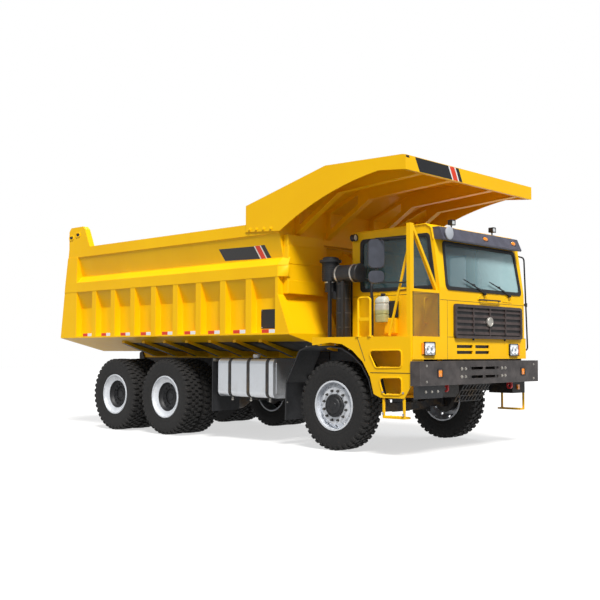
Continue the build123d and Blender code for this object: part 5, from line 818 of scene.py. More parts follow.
def tyre_mesh():
    """One tyre round the X axis at the origin: carcass, four rows of staggered lugs and shoulder blocks."""
    shape = Shape()
    profile = [(-across, radius) for across, radius in TYRE_WALL]
    profile += [(across, radius) for across, radius in TYRE_WALL[-2::-1]]
    shape.lathe(profile, (0, 0, 0), (1, 0, 0), steps=96)
    for side in SIDES:
        start = 0 if side > 0 else LUG_STEP / 2
        add_lugs(shape, SHOULDER_LUG, side, start, TYRE_RADIUS - 0.004, 0.036)
        add_lugs(shape, MIDDLE_LUG, side, start + LUG_STEP / 2, TYRE_RADIUS, 0.03)
        add_buttresses(shape, side, start)
    bmesh.ops.remove_doubles(shape.mesh, verts=shape.mesh.verts, dist=1e-5)
    bmesh.ops.recalc_face_normals(shape.mesh, faces=shape.mesh.faces)
    data = bpy.data.meshes.new("tyre")
    shape.mesh.to_mesh(data)
    shape.mesh.free()
    return data


def fit_tyres():
    """Lugged tyres in place of the plain ones."""
    single = tyre_mesh()
    twins = (REAR_OUTER_X, REAR_INNER_X)
    for axle, places, y in (("front", (FRONT_WHEEL_X,), FRONT_AXLE_Y), ("axle2", twins, AXLE_2_Y),
                            ("axle3", twins, AXLE_3_Y)):
        plural = "" if axle == "front" else "s"
        for hand, side in HANDS:
            shape = Shape()
            for x in places:
                before = set(shape.mesh.verts)
                shape.mesh.from_mesh(single)
                added = [v for v in shape.mesh.verts if v not in before]
                bmesh.ops.translate(shape.mesh, verts=added, vec=(side * x, y, AXLE_Z))
            node = f"tyre{plural}_{axle}_{hand}"
            made = shape.piece("lugged_" + node, tyre_finish, f"wheel{plural}_{axle}_{hand}", smooth=32)
            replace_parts(made, node)
    bpy.data.meshes.remove(single)


def add_wheel_nuts(shape, face, out, count, radius, washer, nut):
    """Washers and nuts round a wheel; each is height, radius, facets and outer radius."""
    for height, size, facets, end in (washer, nut):
        for d in directions(out, count):
            shape.round_bar(face + d * radius, face + d * radius + out * height, size, facets, end)


def fit_front_hubs():
    """Wheel nuts, hub cover and its bolts on the front wheels."""
    for hand, side in HANDS:
        out = Vector((side, 0, 0))
        face = Vector((side * (FRONT_WHEEL_X + 0.118), FRONT_AXLE_Y, AXLE_Z))
        body = f"wheel_front_{hand}"
        nuts = Shape()
        add_wheel_nuts(nuts, face, out, 12, 0.231, (0.016, 0.022, 16, 0.019), (0.04, 0.015, 6, 0.0145))
        nuts.piece(f"wheel_nuts_front_{hand}", iron, body)
        hub = Shape()
        hub.lathe(((0.0, 0.0), (0.0, FRONT_HUB_RADIUS), (0.034, FRONT_HUB_RADIUS), (0.04, 0.172),
                   (0.04, 0.128), (0.052, 0.122), (0.06, 0.11), (0.06, 0.06), (0.066, 0.055), (0.066, 0.0)),
                  face, out, 48)
        hub.bolt_ring(face, out, 14, 0.152, 0.04, 0.009)
        hub.bolt_ring(face, out, 6, 0.086, 0.06, 0.007)
        hub.piece(f"hub_cover_front_{hand}", plastic_black, body, "dark_paint")


# Turned parts of a rear wheel: name, finish, slot, place from the truck's middle, steps, profile
# (columns: along the axle, radius)
REAR_TURNINGS = (
    ("lock_ring", "rim", None, REAR_OUTER_X + 0.165, 72,
     ((-0.006, 0.3605), (0.002, 0.3605), (0.006, 0.366), (0.006, 0.378), (0.002, 0.384), (-0.006, 0.384),
      (-0.006, 0.3605))),
    ("rim_cone", "rim", None, REAR_OUTER_X, 72,
     ((0.158, 0.358), (0.142, 0.345), (0.124, 0.33), (0.108, 0.294), (0.1, 0.264), (0.094, 0.266),
      (0.102, 0.298), (0.118, 0.336), (0.136, 0.352), (0.152, 0.362), (0.158, 0.358))),
    ("hub_cover", "black", "dark_paint", 1.453, 48,
     ((0.0, 0.0), (0.0, 0.162), (0.09, 0.158), (0.096, 0.15), (0.132, 0.146), (0.14, 0.132), (0.14, 0.07),
      (0.15, 0.062), (0.15, 0.0))),
    ("dish", "black", "dark_paint", REAR_OUTER_X, 60,
     ((0.101, 0.265), (0.08, 0.258), (0.05, 0.25), (0.026, 0.232), (0.016, 0.2), (0.016, 0.15),
      (0.006, 0.15), (0.006, 0.206), (0.018, 0.24), (0.044, 0.258), (0.078, 0.266), (0.095, 0.268),
      (0.101, 0.265))),
)
# columns: count, radius of the circle, distance outwards, size
REAR_BOLTS = {"hub_cover": (12, 0.116, 0.14, 0.009), "dish": (14, 0.196, 0.018, 0.018)}


def fit_rear_hubs():
    """Wheel nuts, planetary hub covers, dishes, rim cones and lock rings of the rear wheels."""
    for number, y in REAR_AXLES:
        for hand, side in HANDS:
            out = Vector((side, 0, 0))
            wheel = f"axle{number}_{hand}"
            nuts = Shape()
            disc = Vector((side * 1.453, y, AXLE_Z))
            add_wheel_nuts(nuts, disc, out, 14, 0.196, (0.038, 0.015, 6, 0.014), (0.012, 0.022, 14, 0.022))
            nuts.piece(f"wheel_nuts_{wheel}", iron, "wheels_" + wheel)
            for name, look, slot, x, steps, profile in REAR_TURNINGS:
                shape = Shape()
                centre = Vector((side * x, y, AXLE_Z))
                shape.lathe(profile, centre, out, steps)
                if name in REAR_BOLTS:
                    shape.bolt_ring(centre, out, *REAR_BOLTS[name])
                finish = front_rim if look == "rim" else plastic_black
                shape.piece(f"{name}_{wheel}", finish, "wheels_" + wheel, slot)


# Cab

# columns: name, body, outward, corners (place along the wall, height) from the sill's front end
SIDE_SEALS = (
    ("right_window_seal", "chassis", -1, ((-1.47, 2.49), (-0.06, 2.49), (-0.06, 3.29), (-1.36, 3.29))),
    ("left_window_seal", "chassis", 1, ((-0.47, 2.49), (-0.06, 2.49), (-0.06, 3.23), (-0.47, 3.23))),
    ("door_window_seal", "door_left", 1, ((-1.33, 2.49), (-0.63, 2.49), (-0.63, 3.19), (-1.29, 3.19))),
)
SCREEN_CORNERS = ((-0.82, SCREEN_LOW_Z), (1.34, SCREEN_LOW_Z), (1.29, SCREEN_TOP_Z), (-0.77, SCREEN_TOP_Z))
REAR_WINDOW = ((-0.7, 2.55), (1.15, 2.55), (1.15, 3.2), (-0.7, 3.2))


def screen_y(z):
    """Place of the leaning front wall at a height."""
    return CAB_FRONT_Y + (z - SCREEN_LOW_Z) * SCREEN_LEAN / (SCREEN_TOP_Z - SCREEN_LOW_Z)


def fit_windows():
    """Rubber seals that lap the sheet metal outside and the panes inside."""
    across_screen = (0, -(SCREEN_TOP_Z - SCREEN_LOW_Z), SCREEN_LEAN)
    seals = [("windscreen_seal", "chassis", [(x, screen_y(z), z) for x, z in SCREEN_CORNERS], across_screen),
             ("rear_window_seal", "chassis", [(x, CAB_REAR_Y, z) for x, z in REAR_WINDOW], BACK)]
    for name, body, side, corners in SIDE_SEALS:
        x = CAB_RIGHT_X if side < 0 else CAB_LEFT_X
        seals.append((name, body, [at(x, y, z) for y, z in corners], (side, 0, 0)))
    for name, body, corners, outward in seals:
        shape = Shape()
        outward = Vector(outward).normalized()
        sunk = [Vector(c) - outward * 0.024 for c in corners]
        shape.border(sunk, (0.026, 0.075), (-0.03, 0.06), outward, 0.036, 0.005)
        shape.piece(name, trim_rubber, body)


GRILLE_LEFT_X = 1.31
GRILLE_RIGHT_X = -0.64
GRILLE_LOW_Z = 1.74
GRILLE_TOP_Z = 2.24
GRILLE_DEPTH = 0.036


def fit_grille():
    """Moulded surround of the grille, its dark back, the two latch pins and the plain boss."""
    y = CAB_FRONT_Y - GRILLE_DEPTH
    shape = Shape()
    corners = rectangle((GRILLE_RIGHT_X, y + 0.034, GRILLE_LOW_Z), (GRILLE_LEFT_X, y + 0.034, GRILLE_TOP_Z))
    shape.border(corners, (0.012, 0.05), (-0.034, 0.035), AHEAD, 0.042, 0.007)
    shape.piece("grille_surround", grille_brown)
    back = Shape()
    back.block((GRILLE_RIGHT_X + 0.03, y + 0.021, GRILLE_LOW_Z + 0.03),
               (GRILLE_LEFT_X - 0.03, y + 0.027, GRILLE_TOP_Z - 0.03), 0)
    back.piece("grille_mesh", trim_rubber)
    pins = Shape()
    for x in (-0.134, 0.793):
        pins.round_bar((x, y - 0.012, 1.79), (x, y + 0.02, 1.79), 0.019, 20, bevel=0.004)
        pins.round_bar((x, y - 0.022, 1.79), (x, y - 0.01, 1.79), 0.01, 16)
        pins.block((x - 0.006, y - 0.002, 1.7), (x + 0.006, y + 0.03, 1.775), 0.002)
    pins.piece("grille_latches", plastic_black)
    boss = Shape()
    boss.lathe(((0.0, 0.0), (0.01, 0.0), (0.012, 0.05), (0.012, 0.056), (0.02, 0.06), (0.02, 0.07),
                (0.006, 0.078), (-0.02, 0.078), (-0.02, 0.0)), (0.318, y - 0.004, 1.997), AHEAD, 40)
    boss.piece("grille_boss", zinc)


def fit_headlamps():
    """Bezel, two round lenses and their cups of each headlamp."""
    y = CAB_FRONT_Y - 0.022
    for hand, x, z in (("right", -1.295, 1.568), ("left", 1.075, 1.56)):
        bezel = Shape()
        corners = rectangle((x - 0.125, y + 0.02, z - 0.092), (x + 0.125, y + 0.02, z + 0.092))
        bezel.border(corners, (0.008, 0.026), (-0.003, 0.022), AHEAD, 0.03, 0.004)
        bezel.piece(f"headlamp_bezel_{hand}", plastic_black)
        lenses, cups = Shape(), Shape()
        for side in SIDES:
            place = (x + side * 0.052, y, z - 0.012)
            lenses.lathe(((0.002, 0.0), (0.01, 0.0), (0.009, 0.01), (0.004, 0.018), (0.002, 0.021),
                          (0.002, 0.0)),
                         place, AHEAD, 28)
            cups.lathe(((0.0, 0.022), (0.004, 0.03), (0.012, 0.05), (0.016, 0.052), (0.016, 0.058),
                        (0.0, 0.058), (0.0, 0.022)), place, AHEAD, 32)
        lenses.piece(f"headlamp_lenses_{hand}", mirror_face)
        cups.piece(f"headlamp_cups_{hand}", lamp_body)


def fit_marker_lamps():
    """Amber domes on the visor, and the lenses and frames of the roof and work lamps."""
    domes, bases = Shape(), Shape()
    ahead = Vector((0, -0.914, 0.405))
    turn = ahead.to_track_quat("Z", "Y").to_matrix().to_4x4()
    for x in (0.23, 1.08):
        face = Vector((x, CAB_FRONT_Y - 0.022, 3.307))
        place = Matrix.Translation(face) @ turn @ Matrix.Diagonal((0.062, 0.036, 0.03, 1))
        verts = bmesh.ops.create_uvsphere(domes.mesh, u_segments=20, v_segments=12, radius=1,
                                          matrix=place)["verts"]
        edges = {e for v in verts for e in v.link_edges}
        faces = {f for v in verts for f in v.link_faces}
        cut = [*verts, *edges, *faces]
        bmesh.ops.bisect_plane(domes.mesh, geom=cut, plane_co=face - ahead * 0.004, plane_no=ahead,
                               clear_inner=True)
        bmesh.ops.contextual_create(domes.mesh, geom=[e for e in domes.mesh.edges if e.is_boundary])
        bases.block((x - 0.07, CAB_FRONT_Y - 0.027, 3.266), (x + 0.07, CAB_FRONT_Y - 0.007, 3.346), 0.006,
                    Matrix.Rotation(math.radians(-24), 4, "X"))
    domes.piece("visor_markers", amber)
    bases.piece("visor_marker_bases", plastic_black)
    faces, frames = Shape(), Shape()
    y, z = CAB_FRONT_Y + 0.205, CAB_ROOF_Z + 0.08
    for x in (-0.33, 0.86):
        corners = rectangle((x - 0.048, y, z - 0.04), (x + 0.048, y, z + 0.04))
        frames.border(corners, (0.004, 0.012), (-0.01, 0.008), AHEAD, 0.012, 0.002)
        faces.block((x - 0.04, y - 0.006, z - 0.03), (x + 0.04, y + 0.002, z + 0.03), 0.002)
        for rib in range(-2, 3):
            left = x + rib * 0.016
            frames.block((left - 0.003, y + 0.068, z - 0.034), (left + 0.003, y + 0.082, z + 0.034), 0.001)
    lamp = at(CAB_RIGHT_X - 0.06, 0.02, 3.35)
    faces.lathe(((0.0, 0.0), (0.01, 0.0), (0.006, 0.03), (0.0, 0.048), (0.0, 0.0)), lamp, AHEAD, 28)
    frames.lathe(((0.0, 0.048), (0.012, 0.05), (0.012, 0.057), (-0.012, 0.058), (-0.012, 0.048),
                  (0.0, 0.048)),
                 lamp, AHEAD, 28)
    faces.piece("work_lamp_lenses", lamp_clear)
    frames.piece("work_lamp_frames", plastic_black)


WIPER_PIVOTS = (0.2, 0.95)


def fit_cab_trim():
    """Roof gutter, panel seams, wiper caps and the raised panels round them."""
    y = CAB_FRONT_Y
    gutter = Shape()
    for x in (CAB_RIGHT_X - 0.006, CAB_LEFT_X + 0.006):
        line = ((y + 0.11, 3.215), (y + 0.148, 3.392), (y + 0.24, 3.452), (CAB_REAR_Y - 0.08, 3.43),
                (CAB_REAR_Y - 0.006, 3.384))
        gutter.pipe(rounded([(x, along, z) for along, z in line], 0.03), 0.01, 10)
    gutter.piece("roof_gutters", yellow)
    seams = Shape()
    for x0, z0, x1, z1 in ((-0.812, 1.412, -0.806, 2.3),
                           (CAB_RIGHT_X + 0.01, 2.296, CAB_LEFT_X - 0.01, 2.302), (1.394, 1.745, 1.4, 2.296),
                           (-0.806, 1.742, -0.64, 1.748), (1.31, 1.742, 1.49, 1.748)):
        seams.block((x0, y - 0.0012, z0), (x1, y + 0.004, z1), 0)
    seams.piece("front_seams", black_film)
    panels, caps = Shape(), Shape()
    for x in WIPER_PIVOTS:
        outline = ((x - 0.23, y - 0.001, 2.33), (x + 0.12, y - 0.001, 2.33), (x + 0.06, y - 0.001, 2.44),
                   (x - 0.05, y - 0.001, 2.44))
        panels.border(outline, (0, 0.02), (-0.014, 0.014), AHEAD, 0.005, 0.002)
        caps.round_bar((x, y - 0.044, 2.44), (x, y, 2.44), 0.026, 20, 0.03, 0.004)
        caps.bolt((x, y - 0.044, 2.44), AHEAD, 0.009)
    panels.piece("wiper_panels", yellow)
    caps.piece("wiper_pivot_caps", plastic_black)


# Bumper, steps and platform

def fit_bumper():
    """Bolts beside the cooling slots, the lamps' surrounds and domes, and the slots' rims."""
    y = BUMPER_FACE_Y
    bolts = Shape()
    bolts.bolts([(x, y - 0.001, z) for x in (-0.52, -0.62, 0.52, 0.62) for z in (1.15, 1.27)], AHEAD, 0.017)
    bolts.bolts([(x, y - 0.001, z) for z in (1.09, 1.32) for x in (-1.52, 1.52)], AHEAD, 0.013)
    bolts.piece("bumper_bolts", zinc)
    rims, lens, slot = Shape(), Shape(), Shape()
    for x in (-1.18, 1.18):
        corners = rectangle((x - 0.052, y + 0.002, 1.158), (x + 0.052, y + 0.002, 1.262))
        rims.border(corners, (0.016, 0.016), (-0.002, 0.006), AHEAD, 0.012, 0.003)
        lens.lathe(((0.0, 0.0), (0.006, 0.0), (0.005, 0.03), (0.0, 0.04), (0.0, 0.0)), (x, y - 0.0005, 1.21),
                   AHEAD, 28)
    rims.piece("bumper_lamp_rims", plastic_black)
    lens.piece("bumper_lamp_domes", amber)
    for x0, x1 in ((-0.42, -0.03), (0.03, 0.42)):
        for z in (1.145, 1.275):
            corners = rectangle((x0, y + 0.002, z - 0.024), (x1, y + 0.002, z + 0.024))
            slot.border(corners, (0.009, 0.018), (-0.002, 0.012), AHEAD, 0.007, 0.002)
    slot.piece("bumper_slot_rims", bumper_grey)


# corners of the two foot openings, from the front axle and in height
FOOT_OPENINGS = (((-0.76, 1.535), (-1.37, 1.54), (-1.37, 1.3), (-0.9, 1.29)),
                 ((-0.96, 1.135), (-1.37, 1.145), (-1.37, 0.905), (-1.04, 0.9)))
# columns: front end, rear end, top, width, rows of punched cups
TREADS = ((-1.37, -0.905, 1.29, 0.29, 4), (-1.37, -1.035, 0.898, 0.29, 4), (-1.405, -1.025, 0.58, 0.15, 2))
CUP_PITCH = 0.062


def fit_ladder():
    """Folded flanges round the foot openings, punched treads and the seams of the outer panel."""
    x = DECK_RIGHT_X
    flanges = Shape()
    for corners in FOOT_OPENINGS:
        flanges.border([at(x + 0.01, y, z) for y, z in corners], (0.016, 0.06), (-0.004, 0.045), RIGHT, 0.02,
                       0.005)
    flanges.piece("ladder_flanges", yellow)
    treads = Shape()
    for y0, y1, z, width, rows in TREADS:
        treads.block(at(x + 0.013, y0, z), at(x + width, y1, z + 0.006), 0.002)
        for row in range(rows):
            for i in range(round((y1 - y0) / CUP_PITCH)):
                y = y0 + 0.04 + i * CUP_PITCH + (row % 2) * 0.02
                if y < y1 - 0.02:
                    treads.lathe(((0.005, 0.021), (0.012, 0.017), (0.012, 0.013), (0.006, 0.011),
                                  (0.004, 0.021), (0.005, 0.021)), at(x + 0.045 + row * 0.06, y, z), UP, 12)
    treads.piece("ladder_treads", yellow)
    seams = Shape()
    for y0, z0, y1, z1 in ((-1.545, 1.215, -0.8, 1.215), (-0.545, 1.745, -0.7, 1.38)):
        seams.round_bar(at(x - 0.0012, y0, z0), at(x - 0.0012, y1, z1), 0.004, 6)
    seams.piece("ladder_seams", black_film)
    bolts = Shape()
    bolts.bolts([at(x - 0.001, y, z) for y in (-1.4, -1.03) for z in (0.62, 0.93)], RIGHT, 0.012)
    bolts.piece("hanging_step_bolts", zinc)


def fit_rails():
    """Bolted foot plates of the handrail, and the clip of the tube at the cab's left."""
    shape = Shape()
    x, z = DECK_RIGHT_X + 0.023, DECK_TOP_Z + 0.012
    for y in (-0.55, -0.78):
        shape.round_bar(at(x, y, DECK_TOP_Z), at(x, y, z), 0.045, 24, bevel=0.004)
        for turn in (1, 3, 5, 7):
            angle = turn * math.pi / 4
            shape.bolt(at(x + 0.033 * math.cos(angle), y + 0.033 * math.sin(angle), z), UP, 0.006)
    shape.piece("handrail_feet", yellow)
    clip = Shape()
    y = CAB_FRONT_Y
    clip.block((1.52, y + 0.02, 2.3), (1.6, y + 0.062, 2.336), 0.006)
    clip.round_bar((1.575, y + 0.03, 2.286), (1.575, y + 0.03, 2.35), 0.021, 16, bevel=0.003)
    clip.piece("grab_tube_clip", plastic_black)


# Mirrors

# columns: hand, body, node, x, y from the front axle, turn in degrees, x and y of the rods' far ends
SIDE_MIRRORS = (("right", "chassis", "mirrors", -1.7, -0.915, 45, -1.66, -1.48),
                ("left", "door_left", "mirror_left", 1.6, -1.15, -45, 1.449, -1.25))
MIRROR_STEM_LOW = 2.535
MIRROR_STEM_TOP = 3.21


def fit_mirrors():
    """Rounded housings with glass of the side mirrors, and the domed round mirror before the windscreen."""
    for hand, body, node, x, y, degrees, far_x, far_y in SIDE_MIRRORS:
        turn = Matrix.Translation(at(x, y, 0)) @ Matrix.Rotation(math.radians(degrees), 4, "Z")
        facing = turn.to_3x3() @ Vector((-1 if x < 0 else 1, 0, 0))
        glass, housing, rods = Shape(), Shape(), Shape()
        # columns: middle height, half width, half height, half depth
        for z, half_y, half_z, half_x in ((2.97, 0.12, 0.215, 0.034), (2.625, 0.118, 0.092, 0.032)):
            corners = [turn @ Vector(c) for c in rectangle((0, -half_y, z - half_z), (0, half_y, z + half_z))]
            outline = [p - facing * half_x for p in rounded_loop(corners, 0.07, 6)]
            housing.prism(outline, facing, 2 * half_x, 0.02)
            face = [p - facing * (half_x + 0.001) for p in rounded_loop(grown(corners, -0.026), 0.05)]
            glass.prism(face, -facing, 0.005, 0.001)
        glass.piece(f"mirror_glass_{hand}", mirror_face, body)
        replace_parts(housing.piece(f"mirror_housings_{hand}", mirror_back, body), node)
        knob = Vector((0, 0, 0.022))
        for z in (MIRROR_STEM_LOW + 0.01, MIRROR_STEM_TOP - 0.01):
            end = at(far_x, far_y, z - 0.025)
            rods.round_bar(at(x, y, z), end, 0.011, 14)
            rods.round_bar(end - knob, end + knob, 0.02, 18, bevel=0.003)
        rods.round_bar(at(x, y, MIRROR_STEM_LOW), at(x, y, MIRROR_STEM_TOP), 0.012, 16)
        rods.piece(f"mirror_rods_{hand}", plastic_black, body)
    disc = Vector((-0.85, CAB_FRONT_Y - 0.08, 3.3))
    dome, stem = Shape(), Shape()
    dome.lathe(((-0.038, 0.0), (-0.038, 0.06), (-0.026, 0.09), (-0.01, 0.1), (0.002, 0.1), (0.006, 0.094),
                (0.008, 0.07), (0.014, 0.04), (0.017, 0.0)), disc, AHEAD, 44)
    dome.piece("round_mirror_face", mirror_silver)
    stem.round_bar(disc + Vector((0, 0.036, 0)), (disc.x, CAB_FRONT_Y, disc.z), 0.011, 14)
    stem.piece("round_mirror_stem", plastic_black)


# Air intake, bottle and tanks

AIR_X = -1.23
AIR_Y = 0.4
CANISTER_Z = 2.76
CAP_RING_RADIUS = 0.118


def fit_air_cleaner():
    """Ribbed pre-cleaner bowl, pipe clamps, the canister's end cap and the muffler's bands."""
    ribs = Shape()
    for i in range(9):
        ribs.lathe(((0.0, 0.139), (0.0, 0.146), (0.012, 0.146), (0.016, 0.139)),
                   at(AIR_X, AIR_Y, 2.69 + i * 0.03), UP, 36)
    ribs.lathe(((0.0, 0.02), (0.0, 0.177), (0.012, 0.18), (0.03, 0.178), (0.042, 0.16), (0.052, 0.132),
                (0.08, 0.126), (0.088, 0.1), (0.088, 0.02)), at(AIR_X, AIR_Y, 2.958), UP, 40)
    ribs.piece("air_intake_ribs", plastic_black)
    clamps = Shape()
    for centre, axis, radius, width in ((at(AIR_X, AIR_Y, 2.625), UP, 0.097, 0.022),
                                        (at(AIR_X, 0.18, CANISTER_Z), BACK, 0.142, 0.028),
                                        (at(AIR_X, -0.13, CANISTER_Z), BACK, 0.142, 0.028)):
        clamps.band(centre, axis, radius - 0.002, radius + 0.004, width, 40)
        screw = centre + axis.orthogonal().normalized() * radius
        clamps.block(screw - Vector((0.014, 0.014, 0.014)), screw + Vector((0.014, 0.02, 0.02)), 0.003)
    clamps.piece("air_pipe_clamps", zinc)
    cap = Shape()
    cap.lathe(((0.0, 0.0), (0.0, 0.15), (0.02, 0.152), (0.03, 0.142), (0.036, 0.1), (0.03, 0.06),
               (0.03, 0.0)),
              at(AIR_X, -0.2, CANISTER_Z), AHEAD, 40)
    for i in range(8):
        angle = 2 * math.pi * i / 8
        x, z = AIR_X + CAP_RING_RADIUS * math.cos(angle), CANISTER_Z + CAP_RING_RADIUS * math.sin(angle)
        cap.block(at(x - 0.008, -0.236, z - 0.008), at(x + 0.008, -0.222, z + 0.008), 0.002)
    cap.piece("air_canister_cap", plastic_black)
    bands = Shape()
    for z in (1.9, 2.13, 2.36, 2.59):
        bands.band(at(AIR_X + 0.06, 0.18, z), UP, 0.119, 0.126, 0.02, 36)
    bands.piece("muffler_bands", iron)


# columns: height, inset of the outline, corner radius
JUG_LEVELS = ((1.978, 0.02, 0.03), (1.986, 0.006, 0.045), (2.085, 0.0, 0.05), (2.092, 0.007, 0.05),
              (2.106, 0.007, 0.05), (2.113, 0.0, 0.05), (2.255, 0.0, 0.05), (2.262, 0.007, 0.05),
              (2.276, 0.007, 0.05), (2.283, 0.0, 0.05), (2.325, 0.004, 0.05), (2.362, 0.024, 0.045),
              (2.384, 0.058, 0.018))


def fit_bottle():
    """Blow-moulded coolant jug with rounded shoulders and belts, and its cap."""
    x0, x1 = CAB_RIGHT_X - 0.158, CAB_RIGHT_X - 0.001
    y0, y1 = from_axle(-0.645), from_axle(-0.425)
    jug = Shape()
    rings = []
    for z, inset, radius in JUG_LEVELS:
        corners = ((x0 + inset, y0 + inset, z), (x1, y0 + inset, z), (x1, y1 - inset, z),
                   (x0 + inset, y1 - inset, z))
        rings.append([jug.mesh.verts.new(p) for p in rounded_loop(corners, radius)])
    for low, top in zip(rings, rings[1:]):
        edges = [jug.mesh.edges.get((a, b)) or jug.mesh.edges.new((a, b)) for ring in (low, top)
                 for a, b in zip(ring, ring[1:] + ring[:1])]
        bmesh.ops.bridge_loops(jug.mesh, edges=edges)
    for ring in (rings[0], rings[-1]):
        jug.mesh.faces.new(ring)
    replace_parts(jug.piece("coolant_jug", bottle_plastic), "coolant_bottle")
    cap = Shape()
    cap.lathe(((0.0, 0.0), (0.0, 0.03), (0.012, 0.03), (0.012, 0.04), (0.044, 0.038), (0.048, 0.032),
               (0.048, 0.0)),
              ((x0 + x1) / 2, (y0 + y1) / 2 - 0.02, 2.38), UP, 28)
    cap.piece("coolant_bottle_cap", trim_rubber)


TANK_RIGHT_X = -1.6
TANK_LEFT_X = -0.98
TANK_FRONT_Y = 1.34
TANK_REAR_Y = 2.69
TANK_LOW_Z = 0.75
TANK_TOP_Z = 1.405
TANK_CORNER = 0.09
STRAP_Y = (1.48, 1.94, 2.4)


def tank_section(margin, y):
    """The tank's rounded section at a place along it, moved outwards by a margin."""
    corners = rectangle(at(TANK_RIGHT_X, y, TANK_LOW_Z), at(TANK_LEFT_X, y, TANK_TOP_Z))
    return rounded_loop(grown(corners, margin), TANK_CORNER + margin, 8)


def fit_tank():
    """Straps on rubber pads, their hooks, the pressed ends and the filler of the fuel tank."""
    straps, pads, hooks = Shape(), Shape(), Shape()
    x = TANK_RIGHT_X + 0.075
    for y in STRAP_Y:
        for shape, margin, half in ((pads, 0.004, 0.036), (straps, 0.008, 0.027)):
            shape.ring_plate(tank_section(margin, y - half), tank_section(-0.002, y - half), BACK, 2 * half,
                             0.001)
        for shift in (-0.012, 0.012):
            hooks.round_bar(at(x, y + shift, TANK_LOW_Z - 0.055), at(x, y + shift, TANK_LOW_Z - 0.004), 0.007,
                            10)
        hooks.bolt(at(x, y, TANK_LOW_Z - 0.052), DOWN, 0.016)
    straps.piece("tank_straps", chassis_black)
    pads.piece("tank_strap_pads", trim_rubber)
    hooks.piece("tank_strap_hooks", zinc)
    ends = Shape()
    for y, out in ((TANK_FRONT_Y, -1), (TANK_REAR_Y, 1)):
        ends.ring_plate(tank_section(0.005, y - 0.006), tank_section(-0.012, y - 0.006), BACK, 0.012, 0.004)
        ends.prism(tank_section(-0.07, y - out * 0.002), (0, out, 0), 0.01, 0.004)
    ends.piece("tank_ends", aluminium)
    filler = Shape()
    filler.lathe(((0.0, 0.056), (0.026, 0.056), (0.026, 0.066), (0.052, 0.066), (0.06, 0.06), (0.062, 0.0)),
                 at(-1.35, 1.99, TANK_TOP_Z + 0.006), UP, 36)
    filler.block(at(-1.412, 1.982, TANK_TOP_Z + 0.064), at(-1.288, 1.998, TANK_TOP_Z + 0.076), 0.003)
    filler.piece("tank_filler_cap", lamp_body, slot="tank_aluminium")


# Bed and canopy

PANEL_FOOT_Z = 3.06
PANEL_LEAN = 0.095 / 0.4
FRONT_WALL_Y = from_axle(1.05)
FRONT_POST_REAR = 1.11
LEDGE_Z = 1.822
GATE_PIN_Y = 7.14
GATE_PIN_Z = 3.88
# columns: film, then the corners on the upper side panel (from the front axle, height)
SIDE_STRIPES = (
    ("white", ((1.692, 3.287), (1.517, 3.288), (1.412, 3.07), (1.59, 3.07))),
    ("black", ((2.57, 3.3), (1.688, 3.285), (1.585, 3.071), (2.454, 3.094))),
    ("red", ((1.66, 3.286), (1.55, 3.287), (1.446, 3.071), (1.556, 3.071))),
    ("black", ((1.522, 3.288), (1.431, 3.29), (1.322, 3.072), (1.417, 3.071))),
)
# columns: film, then the corners on the canopy's lip (across, height)
LIP_STRIPES = (
    ("white", ((-0.722, 4.351), (-0.525, 4.351), (-0.421, 4.149), (-0.612, 4.149))),
    ("black", ((-1.567, 4.35), (-0.723, 4.35), (-0.61, 4.15), (-1.456, 4.15))),
    ("red", ((-0.685, 4.35), (-0.56, 4.35), (-0.455, 4.15), (-0.58, 4.15))),
    ("black", ((-0.524, 4.349), (-0.44, 4.349), (-0.335, 4.15), (-0.422, 4.15))),
    ("black", ((-1.79, 4.35), (-1.715, 4.35), (-1.7, 4.318), (-1.79, 4.318))),
)


def upper_panel_x(z):
    """Outside of the bed's leaning upper side panel at a height."""
    return BED_WALL_X + (z - PANEL_FOOT_Z) * PANEL_LEAN


def fit_stripes():
    """Plain slanting stripes on both upper panels and on the canopy's lip."""
    for colour, film, slot, depth in (("white", white_film, "white_plastic", 0.0008),
                                      ("black", black_film, "black_plastic", 0.0016),
                                      ("red", red_film, "black_plastic", 0.0016)):
        shape = Shape()
        for side in SIDES:
            outward = Vector((side, 0, -PANEL_LEAN)).normalized()
            for corners in [corners for name, corners in SIDE_STRIPES if name == colour]:
                place = [at(side * upper_panel_x(z), y, z) - outward * 0.0004 for y, z in corners]
                shape.prism(place, outward, depth)
        for corners in [corners for name, corners in LIP_STRIPES if name == colour]:
            shape.prism([(x, CANOPY_FRONT_Y + 0.0004, z) for x, z in corners], AHEAD, depth)
        shape.piece("stripes_" + colour, film, "bed", slot)


def fit_reflectors():
    """White and red reflectors on the ledge of every bay, and the blank plate in the front bay."""
    fronts = [LAST_RIB_Y - RIB_PITCH * i + RIB_WIDTH / 2
              for i in range(RIB_COUNT)] + [from_axle(FRONT_POST_REAR)]
    for name, film, near, far in (("white", white_film, 0.008, 0.142), ("red", red_film, 0.142, 0.308)):
        shape = Shape()
        for side in SIDES:
            for front in fronts:
                shape.block((side * (BED_HALF - 0.01), front + near, LEDGE_Z),
                            (side * (BED_HALF - 0.0055), front + far, LEDGE_Z + 0.062), 0.001)
        shape.piece("reflectors_" + name, film, "bed")
    plate, rivets = Shape(), Shape()
    corners = rectangle(at(-BED_WALL_X, 1.205, 1.9), at(-BED_WALL_X, 1.556, 2.22))
    plate.prism(rounded_loop(corners, 0.02), RIGHT, 0.005, 0.001)
    plate.piece("blank_plate", black_film, "bed")
    for y in (1.225, 1.536):
        for z in (1.92, 2.2):
            rivets.lathe(((0.0, 0.0), (0.0, 0.008), (0.002, 0.007), (0.004, 0.004), (0.0045, 0.0)),
                         at(-BED_WALL_X - 0.005, y, z), RIGHT, 12)
    rivets.piece("blank_plate_rivets", zinc, "bed")


